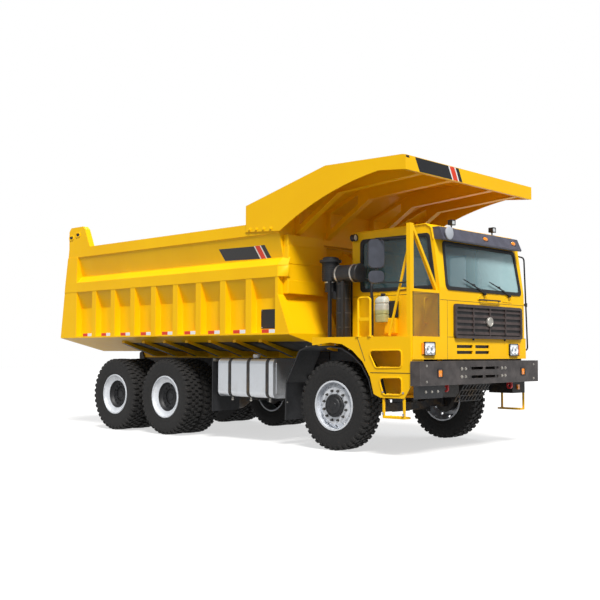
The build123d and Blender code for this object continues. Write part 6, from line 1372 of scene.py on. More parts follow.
def fit_bed_welds():
    """Weld beads along the rails, the ribs and the corner posts."""
    shape = Shape()
    rear_y = from_axle(6.885)
    front_y = FRONT_WALL_Y + 0.004
    for side in SIDES:
        wall = side * (BED_WALL_X + 0.001)
        for x, z in ((side * (BED_HALF - 0.036), 3.461), (wall, PANEL_FOOT_Z),
                     (side * (BED_HALF - 0.01), RUB_LOW_Z)):
            shape.bead((x, front_y, z), (x, rear_y, z))
        for i in range(RIB_COUNT):
            for edge in SIDES:
                y = LAST_RIB_Y - RIB_PITCH * i + edge * RIB_WIDTH / 2
                shape.bead((wall, y, 1.83), (wall, y, 2.4), (side * (BED_HALF - 0.014), y, RUB_LOW_Z - 0.004),
                           radius=0.005)
        shape.bead((wall, rear_y + 0.004, PANEL_FOOT_Z), (side * (BED_HALF - 0.037), rear_y + 0.004, 3.458))
    y = FRONT_WALL_Y - 0.001
    for x in [side * x for side in SIDES for x in (0.78, 0.91, 1.235, 1.365)]:
        shape.bead((x, y, 2.47), (x, y, 3.32))
    for z, end in ((2.92, -0.64), (2.98, -0.64), (3.33, 1.62), (3.41, 1.62)):
        shape.bead((-1.62, y, z), (end, y, z))
    shape.piece("bed_weld_beads", yellow, "bed")


def fit_front_covers():
    """Lapped cover plates over the corners of the bed's front wall."""
    shape = Shape()
    for side in SIDES:
        for lap, low, top in ((0, 2.464, 2.686), (0.006, 2.684, 2.951), (0, 2.949, 3.251),
                              (0.006, 3.249, 3.431)):
            shape.block((side * 0.912, FRONT_WALL_Y - 0.114 + lap, low),
                        (side * 1.666, FRONT_WALL_Y - 0.001, top), 0.006)
    shape.piece("front_wall_covers", yellow, "bed")


def fit_rub_ends():
    """Bevelled closing plates at the front ends of the rub rails, and the gussets above them."""
    shape = Shape()
    front, rear = FRONT_WALL_Y - 0.13, FRONT_WALL_Y + 0.002
    for side in SIDES:
        inner = side * (BED_WALL_X - 0.03)
        edge = [(side * BED_HALF, rear), (side * (BED_HALF - 0.115), front)]
        outline = [(x, y, RUB_LOW_Z) for x, y in edge + [(inner, front), (inner, rear)]]
        shape.prism(outline, UP, RUB_TOP_Z - RUB_LOW_Z, 0.003)
        gusset = [(x, y, RUB_TOP_Z - 0.002) for x, y in edge]
        gusset += [(inner, front, PANEL_FOOT_Z), (side * BED_WALL_X, rear, PANEL_FOOT_Z)]
        shape.prism(gusset, DOWN, 0.012)
    shape.piece("rub_rail_ends", yellow, "bed")


def fit_canopy():
    """Bolts that hold the cheeks, flanges under the trussed ribs, and weld beads on the lip."""
    bolts = Shape()
    for side in SIDES:
        places = ((1.708, 3.562), (1.549, 3.554), (1.381, 3.545), (1.211, 3.536))
        bolts.bolts([at(side * (BED_HALF + 0.001), y, z) for y, z in places], (side, 0, 0), 0.02)
    bolts.piece("canopy_cheek_bolts", yellow, "bed")
    flanges = Shape()
    line = ((1.048, 3.441), (0.08, 4.05), (-1.476, 4.15))
    under = [(y - 0.006, z - 0.012) for y, z in line[::-1]]
    for x in (-1.36, -0.59, 0.59, 1.36):
        flanges.prism([at(x - 0.062, y, z) for y, z in (*line, *under)], LEFT, 0.124, 0.002)
        flanges.block((x - 0.085, FRONT_WALL_Y - 0.014, 3.415), (x + 0.085, FRONT_WALL_Y - 0.001, 3.56),
                      0.002)
        places = [(x + dx, FRONT_WALL_Y - 0.014, z) for dx in (-0.065, 0.065) for z in (3.44, 3.53)]
        flanges.bolts(places, AHEAD, 0.01)
    flanges.piece("canopy_rib_flanges", yellow, "bed")
    beads = Shape()
    y = CANOPY_FRONT_Y + 0.061
    beads.bead((-1.77, y, 4.282), (1.77, y, 4.282))
    for x in (-1.774, 1.774):
        beads.bead(at(x, 1.05, 3.889), at(x, 0.02, 4.314), (x, y, 4.284))
    beads.piece("canopy_weld_beads", yellow, "bed")


def fit_gate_ears():
    """Keeper plates and pin ends on the tailgate's ears, with the slotted eye ahead of each pin."""
    plates, ends, dark = Shape(), Shape(), Shape()
    for side in SIDES:
        x, out = side * (BED_HALF - 0.022), (side, 0, 0)
        for y, z in ((GATE_PIN_Y, GATE_PIN_Z), (GATE_PIN_Y - 0.24, GATE_PIN_Z + 0.046)):
            outer = rounded_loop(rectangle(at(x, y - 0.085, z - 0.052), at(x, y + 0.085, z + 0.052)), 0.045)
            inner = rounded_loop(rectangle(at(x, y - 0.06, z - 0.03), at(x, y + 0.06, z + 0.03)), 0.027)
            plates.ring_plate(outer, inner, out, 0.012, 0.002)
            dark.prism(inner, out, 0.003)
        face = at(side * (BED_HALF - 0.01), GATE_PIN_Y, GATE_PIN_Z)
        ends.round_bar(face - Vector(out) * 0.014, face, 0.026, 24, bevel=0.003)
        ends.bolt(face, out, 0.008)
    plates.piece("gate_keeper_plates", yellow, "bed")
    dark.piece("gate_eye_shadows", trim_rubber, "bed", "dark_paint")
    ends.piece("gate_pin_ends", iron, "bed")


GATE_LEAN = 0.249 / 1.841
GATE_FOOT_Z = 1.583
GATE_FOOT_HALF = 0.93
GATE_FOOT_SPREAD = 2.9
GATE_SKIN_INSET = 0.103
GATE_BEAM_INSET = 0.025


def gate_face_y(z, inset):
    """Rear face of the tailgate at a height, from the beams' back inwards."""
    return BED_REAR_Y - (z - BED_LOW_Z) * GATE_LEAN - inset


def fit_tailgate():
    """Weld beads along the tailgate's beams, and its lifting eyes."""
    beads = Shape()
    for low in (1.583, 2.18, 2.85, 3.52):
        for z in (low, low + 0.12):
            y = gate_face_y(z, GATE_SKIN_INSET)
            half = min(1.6, GATE_FOOT_HALF + (z - GATE_FOOT_Z) * GATE_FOOT_SPREAD)
            beads.bead((-half, y, z), (half, y, z), radius=0.005)
    for x in [middle + edge for middle in (-1.5, -0.9, -0.3, 0.3, 0.9, 1.5) for edge in (-0.06, 0.06)]:
        low = GATE_FOOT_Z + max(0.017, (abs(x) - GATE_FOOT_HALF) / GATE_FOOT_SPREAD)
        beads.bead(*((x, gate_face_y(z, GATE_SKIN_INSET), z) for z in (low, 3.63)), radius=0.005)
    beads.piece("tailgate_weld_beads", yellow, "tailgate")
    eyes = Shape()
    for x in (-1.2, 1.2):
        y, z = gate_face_y(3.64, GATE_BEAM_INSET) - 0.03, 3.64
        line = [(x - 0.06, y, z), (x - 0.06, y, z + 0.09), (x + 0.06, y, z + 0.09), (x + 0.06, y, z)]
        eyes.pipe(rounded(line, 0.035), 0.011, 12)
    eyes.piece("tailgate_lifting_eyes", yellow, "tailgate")


# Cab's inside

CAB_FLOOR_Z = 1.795
DASH_Y = CAB_FRONT_Y + CAB_WALL


def cushion(low, high, crown, lean=0.0, channels=()):
    """Crowned closed pad in a box: its sides pull in between the corners, and sewn channels run across it."""
    low, high = Vector(low), Vector(high)
    half, middle = (high - low) / 2, (low + high) / 2
    thin = min(range(3), key=lambda i: half[i])
    first, second = [i for i in range(3) if i != thin]
    shape = Shape()
    bmesh.ops.create_cube(shape.mesh, size=2)
    bmesh.ops.subdivide_edges(shape.mesh, edges=shape.mesh.edges, cuts=11, use_grid_fill=True)
    for vert in shape.mesh.verts:
        spot = vert.co.copy()
        edge = max(abs(spot[first]), abs(spot[second]))
        fall = (1 - spot[first] ** 4) * (1 - spot[second] ** 4)
        for i, other in ((first, second), (second, first)):
            spot[i] *= 1 - 0.05 * (1 - spot[other] ** 2) * abs(spot[i]) - 0.06 * abs(spot[thin]) ** 3
        groove = sum(math.exp(-((spot[second] - place) / 0.05) ** 2) for place in channels)
        spot[thin] *= 0.62 + 0.38 * max(fall, 0) ** 0.5 - 0.1 * groove * (1 - edge ** 6)
        place = Vector((spot[0] * half.x, spot[1] * half.y, spot[2] * half.z))
        place[thin] += crown * max(fall, 0) * (0.5 if spot[thin] > 0 else 0.0)
        place.y += lean * (place.z / half.z) if lean else 0
        vert.co = middle + place
    return shape


# columns: part, half width, then y and height over the floor of its two corners, crown, lean, sewn channels
SEAT_PADS = (
    ("cushion", 0.245, (-0.725, 0.275), (-0.205, 0.415), 0.012, 0, (-0.45, 0.0, 0.45)),
    ("back", 0.235, (-0.29, 0.4), (-0.15, 0.98), 0.014, 0.06, (-0.6, -0.2, 0.2, 0.6)),
    ("headrest", 0.13, (-0.185, 0.99), (-0.095, 1.13), 0.008, 0, ()),
)


def fit_seats():
    """Two seats: crowned cushion, back and headrest, on a boxed base with a bellows."""
    floor = CAB_FLOOR_Z
    for hand, x in (("right", -0.48), ("left", 0.9)):
        for part, half, (y0, z0), (y1, z1), crown, lean, channels in SEAT_PADS:
            pad = cushion(at(x - half, y0, floor + z0), at(x + half, y1, floor + z1), crown, lean, channels)
            pad.piece(f"seat_{part}_{hand}", cloth)
        base = Shape()
        base.block(at(x - 0.19, -0.65, floor + 0.001), at(x + 0.19, -0.25, floor + 0.06), 0.008)
        base.block(at(x - 0.2, -0.68, floor + 0.236), at(x + 0.2, -0.23, floor + 0.28), 0.01)
        for i in range(5):
            z = floor + 0.064 + i * 0.036
            base.block(at(x - 0.165, -0.63, z), at(x + 0.165, -0.27, z + 0.03), 0.01)
        for post in (x - 0.06, x + 0.06):
            base.round_bar(at(post, -0.15, floor + 0.94), at(post, -0.14, floor + 1.03), 0.007, 12)
        base.piece(f"seat_base_{hand}", plastic_black)


def fit_dash():
    """Dashboard with its hood, gauges and vents, and the steering wheel on its column."""
    dash, gauges, wheel = Shape(), Shape(), Shape()
    y = DASH_Y
    outline = ((y + 0.001, 2.44), (y + 0.001, CAB_FLOOR_Z + 0.001), (y + 0.168, CAB_FLOOR_Z + 0.001),
               (y + 0.262, 2.14), (y + 0.33, 2.36), (y + 0.32, 2.41), (y + 0.28, 2.44))
    dash.prism([(CAB_RIGHT_X + 0.053, along, z) for along, z in outline], LEFT, 2.338, 0.014)
    hood = ((y + 0.16, 2.43), (y + 0.345, 2.385), (y + 0.335, 2.47), (y + 0.24, 2.496), (y + 0.15, 2.47))
    dash.prism([(0.64, along, z) for along, z in hood], LEFT, 0.52, 0.014)
    for x in (-0.72, -0.2, 0.28, 1.3):
        dash.block((x - 0.06, y + 0.306, 2.3), (x + 0.06, y + 0.334, 2.372), 0.006)
        for z in [2.31 + i * 0.012 for i in range(5)]:
            dash.block((x - 0.052, y + 0.326, z), (x + 0.052, y + 0.34, z + 0.004), 0.001)
    made = dash.piece("dashboard", interior_grey)
    for x in (0.76, 0.9, 1.04):
        gauges.lathe(((0.0, 0.0), (0.0, 0.046), (0.006, 0.048), (0.006, 0.052), (0.0, 0.054), (-0.01, 0.054),
                      (-0.01, 0.0)), (x, y + 0.341, 2.425), (0, 1, 0.12), 24)
    gauges.piece("dash_gauges", lamp_clear)
    foot, head = Vector((0.9, y + 0.25, 2.2)), Vector((0.9, y + 0.47, 2.48))
    axis = (head - foot).normalized()
    ring = [(0.017 * math.sin(math.pi * i / 6), 0.215 + 0.017 * math.cos(math.pi * i / 6)) for i in range(12)]
    wheel.lathe(ring + ring[:1], head, axis, 48)
    wheel.lathe(((0.0, 0.0), (0.0, 0.058), (0.012, 0.06), (0.022, 0.05), (0.026, 0.0)), head - axis * 0.006,
                axis, 28)
    for turn in (90, 210, 330):
        out = Matrix.Rotation(math.radians(turn), 3, axis) @ LEFT
        wheel.pipe([head + out * 0.05 + axis * 0.004, head + out * 0.13 - axis * 0.004, head + out * 0.208],
                   0.011, 8)
    wheel.lathe(((0.0, 0.03), (0.2, 0.032), (0.3, 0.04), (0.345, 0.046), (0.345, 0.0)), foot, axis, 24)
    wheel.piece("steering_wheel", plastic_black)
    for piece in (made, bpy.data.objects["seat_cushion_left"], bpy.data.objects["seat_cushion_right"]):
        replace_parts(piece, "cab_interior")


def fit_cab_right():
    """Boxes, seams and front handle on the cab's right wall, and the breather pipe beside the bottle."""
    x = CAB_RIGHT_X
    box, lid, post, handle, seams = Shape(), Shape(), Shape(), Shape(), Shape()
    box.block(at(x - 0.045, -0.8, 2.05), at(x - 0.0005, -0.56, 2.31), 0.008)
    for y in [-0.78 + i * 0.044 for i in range(5)]:
        box.block(at(x - 0.049, y, 2.075), at(x - 0.042, y + 0.02, 2.285), 0.002)
    box.piece("cab_vent_box", plastic_black)
    lid.block(at(x - 0.065, -0.785, 1.8), at(x - 0.0005, -0.56, 2.044), 0.01)
    lid.block(at(x - 0.069, -0.77, 1.815), at(x - 0.062, -0.575, 2.029), 0.003)
    lid.piece("cab_side_box", yellow)
    foot = at(x - 0.17, -0.4, DECK_TOP_Z)
    line = [foot, at(x - 0.17, -0.4, 2.56), at(x - 0.12, -0.33, 2.64), at(x - 0.09, -0.215, 2.66)]
    post.pipe(rounded(line, 0.06), 0.024, 16)
    post.round_bar(foot, foot + UP * 0.014, 0.045, 24, bevel=0.003)
    post.piece("breather_pipe", plastic_black)
    line = ((x, 2.33), (x - 0.075, 2.33), (x - 0.075, 1.96), (x, 1.96))
    handle.pipe(rounded([at(out, -1.33, z) for out, z in line], 0.04), 0.016, 14)
    handle.piece("cab_front_handle", yellow)
    for y0, z0, y1, z1 in ((-1.55, 2.4, 0.12, 2.4), (-0.3, 1.76, -0.3, 2.395)):
        seams.round_bar(at(x - 0.0005, y0, z0), at(x - 0.0005, y1, z1), 0.003, 6)
    seams.piece("cab_right_seams", black_film)


def fit_door():
    """Handle cup and lever, hinge bolts, pressing and inside trim of the left door, all turning with it."""
    x = CAB_LEFT_X
    lever, caps, panel, trim = Shape(), Shape(), Shape(), Shape()
    lever.lathe(((0.0, 0.0), (0.0, 0.048), (0.005, 0.05), (0.005, 0.04), (0.001, 0.034), (0.001, 0.0)),
                at(x, -0.74, 2.4), LEFT, 28)
    lever.block(at(x + 0.014, -0.775, 2.386), at(x + 0.032, -0.625, 2.414), 0.006)
    lever.round_bar(at(x, -0.74, 2.33), at(x + 0.008, -0.74, 2.33), 0.014, 20, bevel=0.002)
    lever.piece("door_handle_lever", plastic_black, "door_left")
    caps.bolts([at(x + 0.018, -1.377, z) for z in (2.028, 2.072, 2.998, 3.042)], LEFT, 0.007)
    caps.piece("door_hinge_bolts", zinc, "door_left")
    corners = rectangle(at(x - 0.001, -1.33, 1.88), at(x - 0.001, -0.63, 2.29))
    panel.border(corners, (0, 0.05), (-0.016, 0.04), LEFT, 0.006, 0.002)
    panel.piece("door_pressing", yellow, "door_left")
    trim.block(at(x - 0.062, -1.36, 1.83), at(x - 0.0505, -0.6, 2.45), 0.008)
    trim.block(at(x - 0.09, -1.2, 2.24), at(x - 0.058, -0.7, 2.3), 0.012)
    trim.piece("door_inside_trim", interior_grey, "door_left")


def fit_wipers():
    """Rubber blades, their holders and the arms' end caps."""
    shape = Shape()
    y, z = CAB_FRONT_Y - 0.026 + 0.08 * SCREEN_LEAN / 0.7, SCREEN_LOW_Z + 0.08
    for x in (-0.12, 0.62):
        left, right = Vector((x - 0.262, y + 0.007, z + 0.076)), Vector((x + 0.262, y + 0.001, z - 0.076))
        shape.pipe([left, (left + right) / 2, right], 0.006, 8)
        for share in (0.2, 0.4, 0.6, 0.8):
            spot = left.lerp(right, share)
            shape.block(spot - Vector((0.012, 0.016, 0.01)), spot + Vector((0.012, 0.004, 0.01)), 0.003)
        shape.block((x - 0.028, y - 0.022, z - 0.016), (x + 0.028, y + 0.002, z + 0.016), 0.005)
    shape.piece("wiper_blades", trim_rubber)


def fit_front_lower():
    """Black panel under the bumper's right part with three bolts, and the plate behind its slots."""
    panel, bolts = Shape(), Shape()
    y = BUMPER_FACE_Y + 0.045
    outline = ((-1.765, 1.037), (-1.765, 0.85), (-1.06, 0.85), (-1.0, 0.94), (-1.0, 1.037))
    panel.prism([(x, y, z) for x, z in outline], BACK, 0.01, 0.003)
    panel.block((-0.9, CAB_FRONT_Y + 0.03, 1.36), (1.4, CAB_FRONT_Y + 0.042, 1.7), 0.004)
    panel.piece("lower_front_panel", plastic_black)
    bolts.bolts([(x, y, 0.945) for x in (-1.48, -1.33, -1.18)], AHEAD, 0.014)
    bolts.piece("lower_front_bolts", zinc)


# Under the truck

RAIL_X = 0.43
RAIL_TOP_Z = 1.38
SPRING_X = 0.38
REAR_SPRING_X = 0.535
BOGIE_Y = (AXLE_2_Y + AXLE_3_Y) / 2
TWIN_MIDDLE_X = (REAR_OUTER_X + REAR_INNER_X) / 2
SHAFT_Z = 0.73
# the wheel arch from its rear foot to its front foot, from the front axle and in height
ARCH = ((0.99, 0.42), (0.975, 1.02), (0.68, 1.54), (0.48, 1.6), (0.02, 1.6), (-0.21, 1.57),
        (-0.41, 1.47), (-0.6, 1.32), (-0.74, 1.11), (-0.81, 0.862))


def u_bolt(shape, x, y, half, low, top):
    """Round U-bolt over a leaf pack, its nuts below."""
    for leg in (x - half, x + half):
        shape.round_bar((leg, y, low), (leg, y, top), 0.011, 10)
        shape.bolt((leg, y, low + 0.012), DOWN, 0.017)
    line = ((x - half, top - 0.02), (x - half, top + 0.012), (x + half, top + 0.012), (x + half, top - 0.02))
    shape.pipe(rounded([(across, y, z) for across, z in line], 0.02), 0.011, 10)


def fit_springs():
    """U-bolts and clips of the leaf packs, their eye bolts and the dampers of the front axle."""
    bolts, dampers = Shape(), Shape()
    axle = FRONT_AXLE_Y
    for side in SIDES:
        x = side * SPRING_X
        for y in (axle - 0.055, axle + 0.055):
            u_bolt(bolts, x, y, 0.057, 0.64, 0.812)
        bolts.bolts([(side * (SPRING_X + 0.046), y, 0.915) for y in (axle - 0.58, axle + 0.58)], (side, 0, 0),
                    0.022)
        for y in (axle - 0.3, axle + 0.3):
            bolts.block((x - 0.052, y - 0.016, 0.765), (x + 0.052, y + 0.016, 0.842), 0.004)
        for y in (BOGIE_Y - 0.06, BOGIE_Y + 0.06):
            u_bolt(bolts, side * REAR_SPRING_X, y, 0.068, 0.66, 0.88)
        low, top = at(side * 0.56, 0.11, 0.74), at(side * 0.49, 0.26, 1.24)
        middle = low.lerp(top, 0.55)
        dampers.round_bar(low, middle, 0.036, 20, bevel=0.004)
        dampers.round_bar(middle - (top - low) * 0.02, top, 0.043, 20, bevel=0.004)
        for spot, tie in ((low, at(side * 0.56, 0.05, 0.7)), (top, at(side * RAIL_X, 0.26, 1.24))):
            dampers.round_bar(spot - LEFT * 0.03, spot + LEFT * 0.03, 0.03, 18)
            dampers.round_bar(spot, tie, 0.018, 12)
    bolts.piece("spring_bolts", iron)
    dampers.piece("front_dampers", plastic_black)


FRONT_DRUM = ((0.0, 0.153), (0.0, 0.222), (0.01, 0.228), (0.024, 0.218), (0.15, 0.212), (0.16, 0.2),
              (0.16, 0.153), (0.0, 0.153))
REAR_DRUM = ((0.0, 0.14), (0.0, 0.236), (0.012, 0.242), (0.03, 0.23), (0.23, 0.224), (0.245, 0.205),
             (0.245, 0.168), (0.224, 0.168), (0.224, 0.14), (0.0, 0.14))


def fit_brakes():
    """Brake drums inside the wheels and the chambers on the rear axles."""
    chambers = Shape()
    for hand, side in HANDS:
        drums = [(f"front_{hand}", "wheel_", FRONT_WHEEL_X - 0.088, FRONT_AXLE_Y, FRONT_DRUM)]
        drums += [(f"axle{number}_{hand}", "wheels_", TWIN_MIDDLE_X - 0.33, y, REAR_DRUM) for number,
                  y in REAR_AXLES]
        for wheel, body, x, y, profile in drums:
            drum = Shape()
            drum.lathe(profile, (side * x, y, AXLE_Z), (side, 0, 0), 40)
            drum.piece("brake_drum_" + wheel, iron, body + wheel)
    for number, y in REAR_AXLES:
        for side in SIDES:
            x = side * 0.82
            chambers.lathe(((-0.04, 0.0), (-0.04, 0.052), (-0.02, 0.078), (0.03, 0.084), (0.034, 0.092),
                            (0.044, 0.092), (0.048, 0.084), (0.12, 0.08), (0.14, 0.066), (0.146, 0.0)),
                           (x, y + 0.15, 0.8), (side * 0.3, 1.0, 0.15), 28)
            chambers.block((x - 0.04, y + 0.1, 0.72), (x + 0.04, y + 0.15, 0.86), 0.006)
    chambers.piece("brake_chambers", plastic_black)


def fit_driveline():
    """Universal joints and flanges of the propeller shafts, and the axle casings' bolted covers."""
    shape = Shape()
    for place, heading in ((0.602, 1), (3.578, -1), (4.287, 1), (5.138, -1)):
        centre, axis = at(0, place, SHAFT_Z), Vector((0, heading, 0))
        shape.lathe(((0.0, 0.0), (0.0, 0.088), (0.018, 0.088), (0.02, 0.06), (0.07, 0.058), (0.076, 0.0)),
                    centre, axis, 28)
        yoke = centre + axis * 0.08
        shape.block(yoke - Vector((0.062, 0.03, 0.024)), yoke + Vector((0.062, 0.03, 0.024)), 0.008)
        shape.bolt_ring(centre, axis, 8, 0.072, 0.018, 0.007)
    for _, y in REAR_AXLES:
        for side in (1, -1):
            for d in directions(LEFT, 16):
                shape.bolt(Vector((side * 0.126, y, AXLE_Z)) + d * 0.258, (side, 0, 0), 0.01)
    shape.piece("shaft_joints", iron)


def fit_frame():
    """Rows of bolts along the rails, the trunnion brackets' bolts and the tow pin's housing."""
    shape, tow = Shape(), Shape()
    for side in SIDES:
        rows = [at(side * (RAIL_X + 0.001), -1.3 + i * 0.33, z) for i in range(24) for z in (1.11, 1.32)]
        shape.bolts(rows, (side, 0, 0), 0.013)
        brackets = [(side * (RAIL_X + 0.037), BOGIE_Y + dy, z) for dy in (-0.12, 0.0, 0.12)
                    for z in (0.9, 1.0, 1.18, 1.28)]
        shape.bolts(brackets, (side, 0, 0), 0.015)
    shape.piece("frame_bolts", iron)
    tow.lathe(((0.0, 0.031), (0.0, 0.13), (0.014, 0.13), (0.02, 0.1), (0.02, 0.06), (0.07, 0.052),
               (0.07, 0.031), (0.0, 0.031)), at(0, 6.531, 1.215), BACK, 32)
    tow.bolts([at(x, 6.544, z) for x in (-0.08, 0.08) for z in (1.135, 1.295)], BACK, 0.016)
    tow.piece("tow_pin_housing", iron)


def fit_mudguards():
    """Rolled edges and fixing bolts of the front wheel arches, and the rubber flaps' clamping strips."""
    edges, bolts = Shape(), Shape()
    for side in SIDES:
        edges.pipe(rounded([at(side * 1.66, y, z) for y, z in ARCH], 0.12, 5), 0.013, 10)
        places = ((0.985, 0.704), (0.56, 1.604), (0.25, 1.629), (-0.05, 1.629), (-0.33, 1.549))
        bolts.bolts([at(side * 1.63, y, z) for y, z in places], UP, 0.01)
        bolts.block(at(side * 1.32 - 0.31, 2.794, 1.35), at(side * 1.32 + 0.31, 2.801, 1.4), 0.002)
        bolts.bolts([at(side * (1.06 + i * 0.13), 2.794, 1.375) for i in range(5)], AHEAD, 0.01)
    edges.piece("wheel_arch_edges", plastic_black)
    bolts.piece("mudguard_bolts", zinc)


def fit_splash_panels():
    """Inner splash panels beside the front wheels, and the strips on the rails that the bed lies on."""
    shape, strips = Shape(), Shape()
    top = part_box("bed_shell")[0][2] - 0.003
    for side in SIDES:
        inner, outer = side * 0.6, side * 0.608
        shape.block(at(inner, -0.78, 1.09), at(outer, 0.96, 1.64), 0.003)
        for y in (-0.6, 0.1, 0.8):
            shape.block(at(side * RAIL_X, y - 0.02, 1.3), at(inner, y + 0.02, 1.34), 0.004)
        shape.bolts([at(outer, -0.6 + i * 0.28, 1.56) for i in range(6)], (side, 0, 0), 0.01)
        strips.block(at(side * 0.3825 - 0.044, 1.15, RAIL_TOP_Z), at(side * 0.3825 + 0.044, 6.35, top), 0.002)
    shape.piece("inner_splash_panels", plastic_black)
    strips.piece("bed_rest_strips", trim_rubber)


def fit_hydraulics():
    """Filler and bands of the hydraulic tank, the battery box's lid and clamps, the hoist's glands."""
    shape, lid = Shape(), Shape()
    shape.lathe(((0.0, 0.05), (0.03, 0.05), (0.03, 0.062), (0.056, 0.06), (0.062, 0.05), (0.064, 0.0),
                 (0.0, 0.0)), at(1.27, 1.56, 1.38), UP, 32)
    for y in (1.48, 1.94):
        corners = rectangle(at(0.98, y - 0.028, 0.75), at(1.56, y - 0.028, 1.38))
        shape.border(corners, (0.007, 0.047), (-0.001, 0.039), BACK, 0.056, 0.001)
    shape.piece("hydraulic_tank_fittings", plastic_black)
    lid.block(at(0.972, 2.172, 1.15), at(1.568, 2.688, 1.196), 0.008)
    for y in (2.3, 2.56):
        lid.block(at(1.566, y - 0.022, 1.09), at(1.58, y + 0.022, 1.17), 0.003)
    lid.piece("battery_box_lid", chassis_black)
    foot, eye = at(0, 0.75, 0.95), at(0, 0.95, 3.05)
    along = (eye - foot).normalized()
    head = (eye - foot).length - 0.26
    for body, place, outer, inner in (("hoist_barrel", head, 0.142, 0.107),
                                      ("hoist_stage1", head + 0.035, 0.114, 0.082),
                                      ("hoist_stage2", head + 0.07, 0.089, 0.057)):
        gland = Shape()
        gland.lathe(((-0.02, inner), (-0.02, outer), (0.0, outer), (0.008, outer - 0.006), (0.008, inner),
                     (-0.02, inner)), foot + along * place, along, 32)
        gland.piece(body + "_gland", iron, body)


def fit_steering():
    """Ball joints and clamps of the track rod, and the knuckles' kingpin caps."""
    rod = Shape()
    for side in SIDES:
        x = side * 1.188
        rod.lathe(((0.0, 0.0), (0.0, 0.03), (0.012, 0.036), (0.03, 0.036), (0.036, 0.026), (0.036, 0.0)),
                  at(x, 0.215, 0.504), DOWN, 24)
        rod.band(at(x - side * 0.13, 0.215, 0.538), (-side, 0, 0), 0.024, 0.034, 0.03, 20)
    rod.piece("track_rod_joints", iron, "tie_rod")
    for hand, side in HANDS:
        cap = Shape()
        place = Vector((side * 1.25, FRONT_AXLE_Y, 0.8145))
        cap.lathe(((0.0, 0.0), (0.0, 0.054), (0.01, 0.052), (0.014, 0.034), (0.014, 0.0)), place, UP, 24)
        cap.bolt_ring(place, UP, 4, 0.043, 0.01, 0.006)
        cap.piece(f"kingpin_cap_{hand}", iron, f"knuckle_{hand}")


def fit_tail_lamps():
    """Lenses and frames of the tail lamps."""
    red, amber_part, rims = Shape(), Shape(), Shape()
    y = 6.53
    for side in SIDES:
        inner, middle, outer = side * 0.47, side * 0.618, side * 0.7
        red.block(at(min(inner, middle) + 0.006, y - 0.001, 1.158),
                  at(max(inner, middle) - 0.004, y + 0.01, 1.252), 0.004)
        amber_part.block(at(min(middle, outer) + 0.004, y - 0.001, 1.158),
                         at(max(middle, outer) - 0.006, y + 0.01, 1.252), 0.004)
        corners = rectangle(at(min(inner, outer), y - 0.006, 1.15), at(max(inner, outer), y - 0.006, 1.26))
        rims.border(corners, (0.008, 0.012), (-0.006, 0.008), BACK, 0.018, 0.003)
    red.piece("tail_lenses_red", red_lens)
    amber_part.piece("tail_lenses_amber", amber)
    rims.piece("tail_lamp_rims", plastic_black)


# Stage: camera, floor, light

CAMERA_PLACE = Vector((-12.224, -12.2095, 1.508))
CAMERA_YAW = math.radians(46.59)
CAMERA_PITCH = math.radians(3.302)
CAMERA_ROLL = math.radians(0.127)
CAMERA_LENS = 54.58


def set_camera():
    """Camera at the photograph's place: low, off the front right corner, aimed slightly upwards."""
    data = bpy.data.cameras.new("camera")
    data.sensor_fit = "HORIZONTAL"
    data.sensor_width = 36
    data.lens = CAMERA_LENS
    data.clip_end = 200
    camera = bpy.data.objects.new("camera", data)
    bpy.context.scene.collection.objects.link(camera)
    flat = Vector((math.sin(CAMERA_YAW), math.cos(CAMERA_YAW), 0))
    ahead = flat * math.cos(CAMERA_PITCH) + UP * math.sin(CAMERA_PITCH)
    level = Vector((math.cos(CAMERA_YAW), -math.sin(CAMERA_YAW), 0))
    up = level.cross(ahead)
    right = level * math.cos(CAMERA_ROLL) + up * math.sin(CAMERA_ROLL)
    top = up * math.cos(CAMERA_ROLL) - level * math.sin(CAMERA_ROLL)
    turn = Matrix((right, top, -ahead)).transposed().to_4x4()
    camera.matrix_world = Matrix.Translation(CAMERA_PLACE) @ turn
    bpy.context.scene.camera = camera


def seen_directly(finish):
    """1 where the camera, a reflection or a pane looks, 0 for the light that falls on things."""
    path = "ShaderNodeLightPath"
    straight = finish.node(path, output="Is Camera Ray")
    glossy = finish.node(path, output="Is Glossy Ray")
    through = finish.node(path, output="Is Transmission Ray")
    return (straight + glossy + through).low_of(1)


def set_floor():
    """Pale floor that shows white and keeps the truck's shadow."""
    mesh = bmesh.new()
    bmesh.ops.create_grid(mesh, x_segments=1, y_segments=1, size=60)
    data = bpy.data.meshes.new("floor")
    mesh.to_mesh(data)
    mesh.free()
    floor = bpy.data.objects.new("floor", data)
    bpy.context.scene.collection.objects.link(floor)
    finish = Finish("floor")
    pale = finish.node("ShaderNodeBsdfDiffuse", inputs={"Color": (0.86, 0.86, 0.86, 1)})
    dull = finish.node("ShaderNodeBsdfDiffuse", inputs={"Color": (0.2, 0.2, 0.2, 1)})
    white = finish.node("ShaderNodeEmission", inputs={"Color": (1, 1, 1, 1), "Strength": 1.0})
    lit = finish.node("ShaderNodeMixShader", inputs={0: 0.62, 1: pale, 2: white})
    mixed = finish.node("ShaderNodeMixShader", inputs={0: seen_directly(finish), 1: dull, 2: lit})
    data.materials.append(finish.close(mixed))


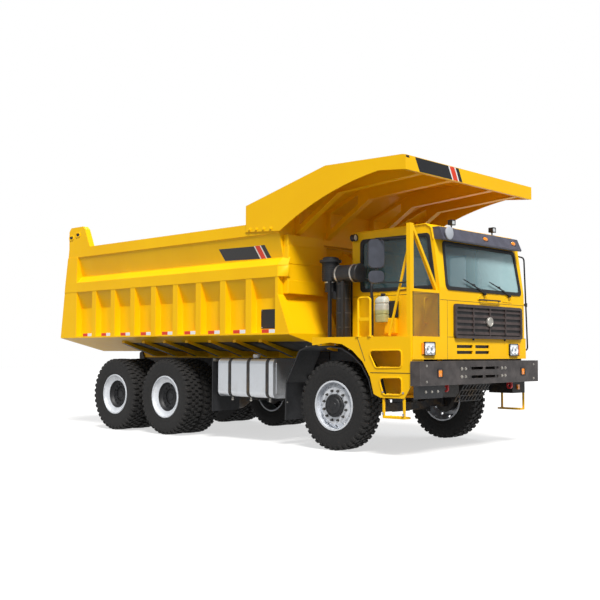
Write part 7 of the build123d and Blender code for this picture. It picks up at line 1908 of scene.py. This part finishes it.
def set_world():
    """White where it is seen, softer where it lights."""
    world = bpy.data.worlds.new("studio")
    bpy.context.scene.world = world
    world.use_nodes = True
    tree = world.node_tree
    tree.nodes.clear()
    path = tree.nodes.new("ShaderNodeLightPath")
    light = tree.nodes.new("ShaderNodeBackground")
    light.inputs["Color"].default_value = (0.92, 0.96, 1.0, 1)
    light.inputs["Strength"].default_value = 0.5
    white = tree.nodes.new("ShaderNodeBackground")
    white.inputs["Color"].default_value = (1, 1, 1, 1)
    white.inputs["Strength"].default_value = 1.0
    seen = tree.nodes.new("ShaderNodeMath")
    seen.operation = "MAXIMUM"
    tree.links.new(path.outputs["Is Camera Ray"], seen.inputs[0])
    tree.links.new(path.outputs["Is Transmission Ray"], seen.inputs[1])
    mixed = tree.nodes.new("ShaderNodeMixShader")
    out = tree.nodes.new("ShaderNodeOutputWorld")
    tree.links.new(seen.outputs[0], mixed.inputs[0])
    tree.links.new(light.outputs[0], mixed.inputs[1])
    tree.links.new(white.outputs[0], mixed.inputs[2])
    tree.links.new(mixed.outputs[0], out.inputs["Surface"])


def set_lamp(name, heading, strength, angle, colour=(1, 1, 1)):
    """Sun lamp that shines along a heading."""
    data = bpy.data.lights.new(name, "SUN")
    data.energy = strength
    data.angle = math.radians(angle)
    data.color = colour
    lamp = bpy.data.objects.new(name, data)
    lamp.rotation_mode = "QUATERNION"
    lamp.rotation_quaternion = Vector(heading).to_track_quat("-Z", "Y")
    bpy.context.scene.collection.objects.link(lamp)


def set_light():
    """High key light from ahead and a little from the truck's right, and a fill from its rear left."""
    set_lamp("key", (0.36, 0.5, -0.79), 4.4, 16, (1.0, 0.98, 0.95))
    set_lamp("fill", (-0.6, -0.5, -0.62), 1.0, 25)


dress_nodes()
fit_tyres()
fit_front_hubs()
fit_rear_hubs()
fit_windows()
fit_grille()
fit_headlamps()
fit_marker_lamps()
fit_cab_trim()
fit_bumper()
fit_ladder()
fit_rails()
fit_mirrors()
fit_air_cleaner()
fit_bottle()
fit_tank()
fit_stripes()
fit_reflectors()
fit_bed_welds()
fit_front_covers()
fit_rub_ends()
fit_canopy()
fit_gate_ears()
fit_tailgate()
fit_seats()
fit_dash()
fit_cab_right()
fit_door()
fit_wipers()
fit_front_lower()
fit_springs()
fit_brakes()
fit_driveline()
fit_frame()
fit_mudguards()
fit_splash_panels()
fit_hydraulics()
fit_steering()
fit_tail_lamps()
set_camera()
set_floor()
set_world()
set_light()

scene = bpy.context.scene
scene.view_settings.view_transform = "Standard"
